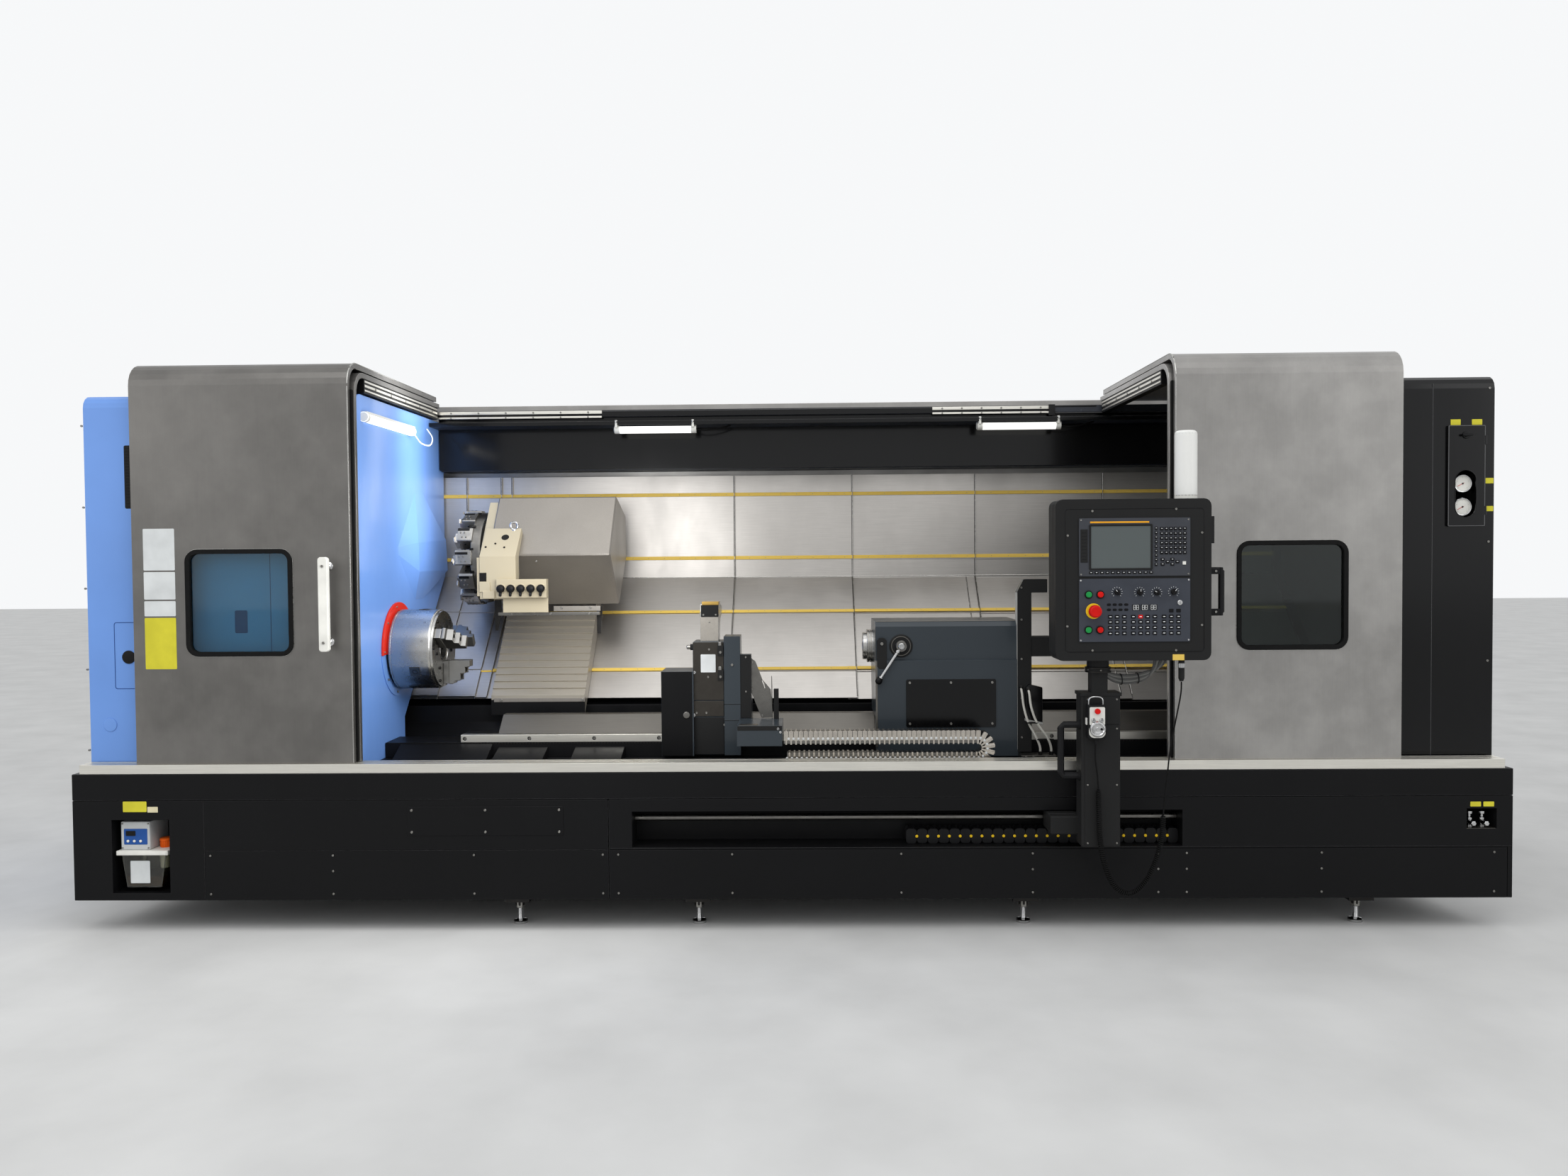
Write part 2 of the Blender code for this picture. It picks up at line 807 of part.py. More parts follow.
def spindle(guard_bore, guard_length):
    """The spindle nose with its three-jaw chuck, and the jaws."""
    chuck_radius = 0.1695
    chuck_length = 0.110
    chuck_gap = 0.006
    chuck_chamfer = 0.006
    bore_radius = 0.040
    bore_depth = 0.085
    bolt_circle = 0.132
    nose_radius = guard_bore - running_gap
    chuck_back = guard_length + chuck_gap
    face = chuck_back + chuck_length
    chuck = turned(
        "chuck",
        [
            (0, face - bore_depth),
            (bore_radius, face - bore_depth),
            (bore_radius, face),
            (chuck_radius - chuck_chamfer, face),
            (chuck_radius, face - chuck_chamfer),
            (chuck_radius, chuck_back),
            (nose_radius, chuck_back),
            (nose_radius, running_gap),
            (0, running_gap),
        ],
        place(wall_x, spindle_depth, spindle_height),
        "X",
        bright_steel,
        48,
    )
    key_half = 0.022
    key_depth = 0.018
    jaw_half = 0.026
    jaw_inner = 0.048
    jaw_outer = 0.150
    jaw_step = 0.092
    jaw_low = 0.072
    jaw_high = 0.115
    jaw_notch = 0.040
    foot = face - key_depth + touch_gap
    top = face + touch_gap
    centre = place(wall_x, spindle_depth, spindle_height)
    slots = []
    for number in range(3):
        angle = math.radians(60 + 120 * number)
        outer = chuck_radius - chuck_chamfer * 2
        slot = block(
            "jaw_slot",
            (wall_x + face - key_depth, wall_x + face + overrun),
            (spindle_depth - key_half - touch_gap, spindle_depth + key_half + touch_gap),
            (spindle_height + bore_radius / 2, spindle_height + chuck_radius + overrun),
            None,
            origin=centre,
        )
        slot.rotation_euler = (angle, 0, 0)
        slots.append(slot)
        key = block(
            f"jaw_{number + 1}",
            (wall_x + foot, wall_x + top + jaw_low / 2),
            (spindle_depth - key_half, spindle_depth + key_half),
            (spindle_height + jaw_inner, spindle_height + outer),
            bright_steel,
            origin=centre,
        )
        key.rotation_euler = (angle, 0, 0)
        low = wall_x + top
        outline = [
            (low, spindle_height + jaw_inner),
            (low, spindle_height + jaw_outer),
            (low + jaw_notch, spindle_height + jaw_outer),
            (low + jaw_low, spindle_height + jaw_step + jaw_half),
            (low + jaw_high, spindle_height + jaw_step + jaw_half / 2),
            (low + jaw_high, spindle_height + jaw_inner + jaw_half),
            (low + jaw_low, spindle_height + jaw_inner + jaw_half),
            (low + jaw_low, spindle_height + jaw_inner),
        ]
        top_jaw = front_plate(
            "top_jaw",
            outline,
            (spindle_depth - jaw_half, spindle_depth + jaw_half),
            None,
            origin=centre,
        )
        top_jaw.rotation_euler = (angle, 0, 0)
        fuse(key, top_jaw)
    bolt_radius = 0.010
    bolts = []
    for number in range(6):
        angle = math.radians(30 + 60 * number)
        at = place(
            wall_x + face,
            spindle_depth + bolt_circle * math.cos(angle),
            spindle_height + bolt_circle * math.sin(angle),
        )
        profile = [(0, overrun), (bolt_radius, overrun), (bolt_radius, -bolt_radius), (0, -bolt_radius)]
        bolts.append(turned("chuck_bolt_hole", profile, at, "X", None, 10))
    cut(chuck, *slots, *bolts)


def cover_section(name, span, level, surface=stainless):
    """One telescopic cover: folded sheet with four raised strips along it."""
    inward = layer_step * level
    wall_depth = crease_depth + inward
    crease = (wall_depth, wall_depth + slope_rise - inward * math.sqrt(2))
    foot_shift = inward / math.sqrt(2)
    foot = (cover_foot_depth + foot_shift, cover_foot_depth + slope_rise - foot_shift)
    wall_span = cover_top - crease[1]
    slope_length = math.dist(crease, foot)
    along = Vector((foot[0] - crease[0], foot[1] - crease[1])) / slope_length
    outward = Vector((along[1], -along[0])) if along[0] < 0 else Vector((-along[1], along[0]))
    wall_strip_shares = (0.814, 0.19)
    slope_strip_shares = (0.31, 0.785)
    points = [(wall_depth, cover_top)]
    for share in wall_strip_shares:
        middle = crease[1] + wall_span * share
        points += [
            (wall_depth, middle + strip_height / 2),
            (wall_depth - strip_proud, middle + strip_height / 2),
            (wall_depth - strip_proud, middle - strip_height / 2),
            (wall_depth, middle - strip_height / 2),
        ]
    points.append(crease)
    for share in slope_strip_shares:
        for step, proud in ((-1, 0), (-1, 1), (1, 1), (1, 0)):
            at = Vector(crease) + along * (slope_length * share + step * strip_height / 2)
            at = at + outward * (strip_proud * proud)
            points.append((at[0], at[1]))
    points.append(foot)
    under = Vector(foot) - outward * cover_sheet
    points.append((under[0], under[1]))
    back_depth = wall_depth + cover_sheet
    points.append((back_depth, back_depth + slope_rise - (inward + cover_sheet) * math.sqrt(2)))
    points.append((back_depth, cover_top))
    return side_plate(name, points, span, surface)


# Carriage at rest, left of the bed
carriage_left = -1.300
carriage_right = -0.887
carriage_plate = (-2.020, -0.256)
housing_x = (-1.305, -0.767)


def carriage():
    """Saddle, its cover sheets and the louvred cover of the cross slide."""
    cover_section("saddle_cover", carriage_plate, 0)
    saddle_depths = (0.78, 1.12)
    under = -bed_offset + touch_gap
    over = -cover_sheet - touch_gap
    saddle_inset = 0.02
    outline = [
        slope_point(saddle_depths[0], under),
        slope_point(saddle_depths[1], under),
        slope_point(saddle_depths[1], over),
        slope_point(saddle_depths[0], over),
    ]
    side_plate("saddle", outline, (carriage_left + saddle_inset, carriage_right - saddle_inset), grey_casting)

    louvre_foot = (0.655, 0.838)
    louvre_top = (0.950, 1.184)
    louvre_lips = 12
    lip = 0.007
    crown = 0.025
    clear = strip_proud + touch_gap
    start = Vector(louvre_foot)
    run = (Vector(louvre_top) - start) / louvre_lips
    outward = Vector((-run[1], run[0])).normalized()
    points = []
    for number in range(louvre_lips):
        near = start + run * number
        points += [tuple(near + outward * lip), tuple(near + run)]
    top_depth = louvre_top[0] + crown
    points += [(top_depth, louvre_top[1]), slope_point(top_depth, clear), slope_point(louvre_foot[0], clear)]
    side_plate("louvre_cover", points, (carriage_left, carriage_right), stainless)


def turret():
    """The housing, the cream casting and the twelve-station disc, all on the cross slide."""
    centre = (0.92, 1.45)
    housing_shape = [(0.65, 1.46), (0.85, 1.724), (1.11, 1.642), (1.11, 1.443), (0.89, 1.23)]
    edge = 0.006
    housing = side_plate("turret_housing", housing_shape, housing_x, stainless)
    soften(housing, edge)
    strut_sheet = 0.010
    strut_shape = [(0.91, 1.262), (0.99, 1.335), (1.06, 1.335), (0.985, 1.175), (0.965, 1.175)]
    struts = []
    for near in (carriage_left - strut_sheet - running_gap, carriage_right + running_gap):
        struts.append(side_plate("strut", strut_shape, (near, near + strut_sheet), None))
    fuse(housing, *struts)

    mount_left = -1.345
    mount_right = housing_x[0] - touch_gap
    boss_left = -1.325
    boss_right = -1.168
    mount_shape = [(0.66, 1.46), (0.85, 1.70), (1.09, 1.63), (1.09, 1.45), (0.89, 1.25)]
    mount = side_plate("turret_mount", mount_shape, (mount_left, mount_right), cream_paint)
    boss_shape = [
        (0.585, 1.27),
        (0.585, 1.456),
        (0.700, 1.578),
        (0.7229, 1.5578),
        (0.6485, 1.461),
        (0.644, 1.455),
        (0.644, 1.27),
    ]
    boss = side_plate("mount_boss", boss_shape, (boss_left, boss_right), None)
    bridge = block(
        "mount_bridge",
        (mount_left + edge, mount_right - edge),
        (boss_shape[1][0] + edge, centre[0]),
        (boss_shape[0][1] + edge * 2, boss_shape[1][1] - edge),
        None,
    )
    manifold_x = (-1.247, -1.030)
    manifold_depth = (0.560, 0.600)
    manifold_height = (1.275, 1.355)
    manifold = block("manifold", manifold_x, manifold_depth, manifold_height, None)
    bracket_sheet = 0.008
    bracket_drop = 0.065
    bracket = block(
        "manifold_bracket",
        (manifold_x[0] + overrun, manifold_x[1]),
        (manifold_depth[1] - bracket_sheet, manifold_depth[1]),
        (manifold_height[0] - bracket_drop, manifold_height[0] + bracket_sheet),
        None,
    )
    nozzle_radius = 0.0145
    nozzle_length = 0.022
    nozzles = []
    count = 5
    pitch = (manifold_x[1] - manifold_x[0]) / count
    for number in range(count):
        x = manifold_x[0] + pitch * (number + 0.5)
        middle = (manifold_height[0] + manifold_height[1]) / 2
        profile = [(0, edge), (nozzle_radius, edge), (nozzle_radius / 2, -nozzle_length), (0, -nozzle_length)]
        nozzles.append(turned("nozzle", profile, place(x, manifold_depth[0], middle), "Y", None, 10))
    eye_ring = 0.016
    eye_bar = 0.005
    eye_x = -1.20
    eye_base = place(eye_x, boss_shape[2][0], boss_shape[2][1] + eye_ring - eye_bar)
    loop = []
    for step in range(13):
        angle = math.tau * step / 12
        loop.append(eye_base + Vector((eye_ring * math.sin(angle), 0, eye_ring * math.cos(angle))))
    eye = tube("lifting_eye", loop[:-1] + [loop[0] + Vector((touch_gap, 0, 0))], eye_bar, None, 1, True)
    fuse(mount, bridge, boss, manifold, bracket, *nozzles, eye)

    stations = 12
    disc_x = (-1.468, -1.351)
    hub_radius = 0.168
    tip_radius = 0.221
    block_half = 0.034
    slot_half = 0.011
    slot_floor = 0.190
    root_radius = math.sqrt(hub_radius**2 - block_half**2)
    points = []
    for number in range(stations):
        angle = math.tau * (number + 0.5) / stations
        radial = Vector((math.cos(angle), math.sin(angle)))
        across = Vector((-radial[1], radial[0]))
        shape = [
            (root_radius, -block_half),
            (tip_radius, -block_half),
            (tip_radius, -slot_half),
            (slot_floor, -slot_half),
            (slot_floor, slot_half),
            (tip_radius, slot_half),
            (tip_radius, block_half),
            (root_radius, block_half),
        ]
        for out, side in shape:
            at = Vector(centre) + radial * out + across * side
            points.append((at[0], at[1]))
    axis = place(disc_x[0], *centre)
    disc = side_plate("turret_disc", points, disc_x, grey_casting, origin=axis)
    cap_radius = 0.075
    cap_proud = 0.018
    cap = turned(
        "turret_cap",
        [(0, overrun), (cap_radius, overrun), (cap_radius, -cap_proud), (0, -cap_proud)],
        axis,
        "X",
        None,
        24,
    )
    relief_radius = 0.150
    relief_depth = 0.012
    relief = turned(
        "turret_relief",
        [
            (relief_radius, relief_depth),
            (relief_radius, -overrun),
            (cap_radius + relief_depth, -overrun),
            (cap_radius + relief_depth, relief_depth),
        ],
        axis,
        "X",
        None,
        36,
        closed=True,
    )
    cut(disc, relief)
    fuse(disc, cap)


def fixed_covers():
    """The covers that stay, and the moving sections between them and the carriage."""
    cover_section("fixed_cover_left", (-2.35, -1.558), -left_layers)
    cover_section("left_section_1", (-2.06, -1.342), -1)
    cover_section("left_section_2", (-2.22, -1.392), -2)
    cover_section("right_section_1", (-0.300, 0.319), 1)
    cover_section("right_section_2", (0.275, 0.917), 2)
    cover_section("right_section_3", (0.870, 1.538), 3)
    cover_section("fixed_cover_right", (1.490, bay_right - running_gap), right_layers)


# The front ways that carry the steady rest and the tailstock
way_front = 0.350
way_back = 0.520
way_top = 0.780


def front_way():
    """The front bed: a low casting, a ground guide rail on its front and a higher crown behind."""
    way_right = bay_right - running_gap
    foot = base_top + touch_gap
    rail_foot = 0.682
    rail_top = 0.712
    rail_left = -1.348
    crown_left = -1.200
    rail_back = 0.385
    crown_depth = 0.470
    low_outline = [(way_front, foot), (way_back, foot), (way_back, rail_foot), (way_front, rail_foot)]
    way = side_plate("front_way", low_outline, (wall_x + running_gap, way_right), stainless)
    buried = (rail_foot + foot) / 2
    rail_outline = [(way_front, buried), (crown_depth, buried), (crown_depth, rail_top), (way_front, rail_top)]
    rail = side_plate("guide_rail", rail_outline, (rail_left, way_right), None)
    crown_outline = [
        (rail_back, buried),
        (way_back, buried),
        (way_back, way_top),
        (crown_depth, way_top),
        (rail_back, rail_top),
    ]
    crown = side_plate("way_crown", crown_outline, (crown_left, way_right), None)
    fuse(way, rail, crown)
    hole_radius = 0.008
    hole_pitch = 0.27
    hole_height = (rail_foot + rail_top) / 2
    holes = []
    first = rail_left + hole_radius * 2
    count = int((way_right - first) / hole_pitch)
    for number in range(count):
        profile = [(0, overrun), (hole_radius, overrun), (hole_radius, -overrun), (0, -overrun)]
        at = place(first + number * hole_pitch, way_front, hole_height)
        holes.append(turned("way_hole", profile, at, "Y", None, 10))
    cut(way, *holes)


def straddle(front, apron_foot, apron_back, top, back, foot_clear):
    """A saddle shape over the front way: an apron in front and a body above it."""
    seat = way_top + foot_clear
    return [(front, apron_foot), (apron_back, apron_foot), (apron_back, seat), (back, seat), (back, top), (front, top)]


def steady_rest():
    seat = touch_gap
    apron_foot = base_top + touch_gap + 0.012
    plate_x = (-0.246, -0.180)
    body_x = (-0.375, -0.2465)
    left_x = (-0.503, -0.3755)
    front = 0.300
    apron_back = way_front - running_gap
    ring = [
        (front, apron_foot),
        (apron_back, apron_foot),
        (apron_back, way_top + seat),
        (0.600, way_top + seat),
        (0.600, 0.840),
        (0.520, 0.900),
        (0.445, 0.960),
        (0.415, 1.060),
        (0.415, 1.120),
        (front, 1.120),
    ]
    body = side_plate("steady_rest", ring, plate_x, grey_casting)
    block_shape = straddle(0.310, apron_foot, apron_back, 1.098, 0.440, seat)
    overlap = 0.004
    middle = side_plate("steady_block", block_shape, (body_x[0], plate_x[0] + overlap), None)
    soften(middle, 0.004)
    low_shape = straddle(0.285, apron_foot, apron_back, 0.978, 0.460, seat)
    low = side_plate("steady_cylinder", low_shape, (left_x[0], body_x[0] + overlap), None)
    bracket_x = (plate_x[1] - overlap, -0.006)
    bracket = block("chain_bracket", bracket_x, (0.105, 0.330), (0.700, 0.780), None)
    rib_x = (plate_x[1] - overlap, -0.135)
    rib = side_plate("steady_rib", [(0.305, 0.76), (0.305, 1.045), (0.34, 1.045), (0.42, 0.90), (0.42, 0.76)], rib_x, None)
    fuse(body, middle, low, rib, bracket)

    arm_x = (-0.345, -0.270)
    channel_depths = (0.335, 0.415)
    channel_foot = 1.030
    arm_clear = 0.0005
    channel = block(
        "arm_channel",
        (arm_x[0] - arm_clear, arm_x[1] + arm_clear),
        (channel_depths[0] - arm_clear, channel_depths[1] + arm_clear),
        (channel_foot - touch_gap, 1.098 + overrun),
        None,
    )
    cut(body, channel)
    arm_top = 1.250
    reach = 0.530
    shape = [
        (channel_depths[0], channel_foot),
        (channel_depths[1], channel_foot),
        (channel_depths[1], 1.130),
        (0.445, 1.185),
        (reach, 1.205),
        (reach, 1.235),
        (0.430, arm_top),
        (channel_depths[0] + 0.02, arm_top),
        (channel_depths[0], 1.22),
    ]
    side_plate("steady_arm", shape, arm_x, bright_steel)


def tailstock():
    body_x = (0.374, 0.961)
    front = 0.300
    shoulder_front = 0.315
    shoulder_height = spindle_height - 0.040
    top = spindle_height + 0.114
    back_foot = spindle_height - 0.110
    back_top = spindle_height + 0.040
    apron_foot = base_top + touch_gap + running_gap
    apron_back = way_front - running_gap
    seat = way_top + touch_gap
    outline = [
        (front, apron_foot),
        (apron_back, apron_foot),
        (apron_back, seat),
        (0.620, seat),
        (0.660, back_foot),
        (0.660, back_top),
        (0.620, top),
        (shoulder_front + 0.02, top),
        (shoulder_front, top - 0.02),
        (shoulder_front, shoulder_height),
        (front, shoulder_height - 0.004),
    ]
    body = side_plate("tailstock", outline, body_x, grey_casting)
    quill_radius = 0.050
    bore_clear = 0.00005
    bore_depth = 0.30
    bore = turned(
        "quill_bore",
        [(0, bore_depth), (quill_radius + bore_clear, bore_depth), (quill_radius + bore_clear, -overrun), (0, -overrun)],
        place(body_x[0], spindle_depth, spindle_height),
        "X",
        None,
        32,
    )
    plate_x = (0.497, 0.861)
    plate_height = (0.744, 0.939)
    plate_proud = 0.004
    plate = front_plate(
        "access_plate",
        rounded(plate_x, plate_height, 0.008, 2),
        (front - plate_proud, front + overrun),
        None,
    )
    hose_depth = (0.298, 0.344)
    column_height = (0.640, 1.344)
    column_chamfer = 0.050
    column_x = (0.950, 1.006)
    arm_end = 1.070
    arm_foot = 1.290
    hose_outline = [
        (column_x[0], column_height[0]),
        (column_x[1], column_height[0]),
        (column_x[1], arm_foot),
        (arm_end, arm_foot),
        (arm_end, column_height[1]),
        (column_x[0] + column_chamfer / 2, column_height[1]),
        (column_x[0], column_height[1] - column_chamfer),
    ]
    column = front_plate("hose_column", hose_outline, hose_depth, None)
    box_x = (1.000, 1.100)
    box_height = (1.030, 1.110)
    hose_box = block("hose_box", box_x, (hose_depth[0] + seam_width, hose_depth[1] + overrun), box_height, None)
    fuse(body, plate, column, hose_box)
    cut(body, bore)

    nose_radius = 0.070
    nose_length = 0.044
    nose_step = 0.058
    shank = 0.20
    hollow = 0.022
    turned(
        "quill",
        [
            (0, shank),
            (quill_radius, shank),
            (quill_radius, -touch_gap * 2),
            (nose_radius, -touch_gap * 2),
            (nose_radius, -nose_length * 0.6),
            (nose_step, -nose_length * 0.6),
            (nose_step, -nose_length),
            (hollow, -nose_length),
            (hollow / 2, shank / 2),
            (0, shank / 2),
        ],
        place(body_x[0], spindle_depth, spindle_height),
        "X",
        bright_steel,
        32,
    )
    pivot_at = (0.478, spindle_height + 0.015)
    hub_radius = 0.024
    hub_length = 0.034
    hub_place = place(pivot_at[0], shoulder_front - touch_gap, pivot_at[1])
    lever = turned(
        "clamp_lever",
        [(0, 0), (hub_radius, 0), (hub_radius, -hub_length), (0, -hub_length)],
        hub_place,
        "Y",
        bright_steel,
        20,
    )
    lever_reach = (-0.093, -0.140)
    lever_radius = 0.0065
    lever_set = 0.024
    knob_radius = 0.014
    start = hub_place + Vector((0, -lever_set, 0))
    end = start + Vector((lever_reach[0], -lever_radius, lever_reach[1]))
    bar = tube("lever_bar", [start, end], lever_radius, None, 2, True)
    form = bmesh.new()
    bmesh.ops.create_uvsphere(form, u_segments=12, v_segments=8, radius=knob_radius)
    form.transform(Matrix.Translation(end))
    knob = add("lever_knob", settle(form, "lever_knob", end), None, end)
    fuse(lever, bar, knob)


def drag_chain():
    """The metal cable conduit: a lower run on the base, a bend and an upper run to the steady rest."""
    run_left = 0.0
    bend_x = 0.760
    depth = (0.108, 0.168)
    low = base_top + touch_gap
    thickness = 0.055
    high = 0.759
    outer = (high - low) / 2
    inner = outer - thickness
    centre = (bend_x, low + outer)
    outline = [(run_left, high)]
    outline += arc(centre, outer, 90, -90, 10)
    outline += [(run_left, low), (run_left, low + thickness)]
    outline += arc(centre, inner, -90, 90, 8)
    outline += [(run_left, high - thickness)]
    front_plate("drag_chain", outline, depth, bright_steel)


def cabinet(rear):
    """The black right cabinet with its gauge hatch."""
    front = 0.10
    top = machine_height - 0.095
    corner = 0.05
    end_inset = 0.025
    span = (bay_right, half_length - end_inset)
    body = side_plate("right_cabinet", housing_outline(front, top, corner, rear), span, black_paint)
    hatch_x = (2.564, 2.707)
    hatch_height = (1.539, 1.928)
    rim = 0.012
    pocket_depth = 0.07
    pocket = block(
        "gauge_pocket",
        (hatch_x[0] + rim, hatch_x[1] - rim),
        (front - overrun, front + pocket_depth),
        (hatch_height[0] + rim, hatch_height[1] - rim),
        None,
    )
    cut(body, pocket)
    gauge_radius = 0.035
    gauge_x = 2.632
    gauge_heights = (1.705, 1.615)
    gauge_front = 0.012
    gauges = []
    for height in gauge_heights:
        reach = pocket_depth - gauge_front + overrun / 4
        profile = [(0, reach), (gauge_radius, reach), (gauge_radius, 0), (0, 0)]
        gauges.append(turned("gauge", profile, place(gauge_x, front + gauge_front, height), "Y", None, 20))
    sheet_inset = 0.067
    fuse(body, *gauges, end_sheet((half_length - sheet_inset, span[1]), rear))

    hatch_sheet = 0.010
    oval_half = (0.040, 0.090)
    oval_centre = (gauge_x, 1.665)
    oval = rounded(
        (oval_centre[0] - oval_half[0], oval_centre[0] + oval_half[0]),
        (oval_centre[1] - oval_half[1], oval_centre[1] + oval_half[1]),
        oval_half[0] - touch_gap,
        5,
    )
    hatch_back = front - touch_gap
    hatch = front_plate(
        "gauge_hatch",
        rounded(hatch_x, hatch_height, 0.006, 2),
        (hatch_back - hatch_sheet, hatch_back),
        black_paint,
        holes=[oval],
    )
    latch_radius = 0.012
    latch_proud = 0.006
    latch_place = (2.632, 1.890)
    latch = turned(
        "hatch_latch",
        [(0, 0), (latch_radius, 0), (latch_radius, -latch_proud), (0, -latch_proud)],
        place(latch_place[0], hatch_back - hatch_sheet + touch_gap, latch_place[1]),
        "Y",
        None,
        16,
    )
    fuse(hatch, latch)
    carry(pivot("gauge_hatch_hinge", place(hatch_x[1], hatch_back - hatch_sheet, hatch_height[0])), hatch)


def rear_and_beam():
    """The rear housing and the top beam with fascia, lamp ledge and the inner leaves' rails."""
    rear_front = crease_depth + layer_step * right_layers + cover_sheet + 0.016
    rear_top = machine_height - 0.020
    panel = 0.06
    casting_top = 1.20 + 0.015
    inset = 0.025
    outline = [
        (rear_front, rear_top),
        (machine_depth, rear_top),
        (machine_depth, base_underside),
        (machine_depth - panel, base_underside),
        (machine_depth - panel, casting_top),
        (rear_front, casting_top),
    ]
    span = (-half_length + inset, half_length - inset)
    rear = side_plate("rear_cover", outline, span, black_paint)
    seams = []
    panels = 6
    width = (span[1] - span[0]) / panels
    for number in range(1, panels):
        x = span[0] + number * width
        seams.append(
            block(
                "rear_seam",
                (x - seam_width / 2, x + seam_width / 2),
                (machine_depth - seam_depth, machine_depth + overrun),
                (base_underside - overrun, rear_top + overrun),
                None,
            )
        )
    cut(rear, *seams)

    beam_back = rear_front - touch_gap
    beam_front = 1.130
    beam_top = machine_height - 0.065
    ledge_front = 0.985
    ledge = (beam_top - 0.088, beam_top - 0.070)
    fascia_foot = beam_top - 0.285
    fascia_depth = 1.165
    rail_proud = 0.026
    rail_height_share = 0.5
    beam = [
        (beam_front, beam_top),
        (beam_back, beam_top),
        (beam_back, fascia_foot),
        (fascia_depth, fascia_foot),
        (fascia_depth, ledge[0]),
        (ledge_front, ledge[0]),
        (ledge_front, ledge[1]),
        (beam_front, ledge[1]),
    ]
    beam_span = (wall_x + running_gap, bay_right - running_gap)
    body = side_plate("top_beam", beam, beam_span, grey_casting)
    track = (ledge[1] + (beam_top - ledge[1]) * rail_height_share, beam_top - overrun / 4)
    rail = block("inner_rail", beam_span, (beam_front - rail_proud, beam_front + overrun), track, None)
    fuse(body, rail)
    lamp_radius = 0.019
    lamp_depth = 1.010
    lamps = []
    for low, high in ((-0.800, -0.417), (0.890, 1.277)):
        span_x = high - low
        profile = [(0, span_x), (lamp_radius, span_x), (lamp_radius, 0), (0, 0)]
        centre = place(low, lamp_depth, ledge[0] - lamp_radius + touch_gap * 4)
        lamps.append(turned("beam_lamp", profile, centre, "X", None, 16))
    fuse(body, *lamps)
    return rear_front


# Control pendant
swivel_x = 1.172
swivel_depth = -0.120
panel_x = (0.9975, 1.5585)
panel_height = (1.057, 1.643)
panel_depth = (-0.214, -0.094)
post_x = (1.105, 1.248)
post_top = panel_height[0] - 0.132


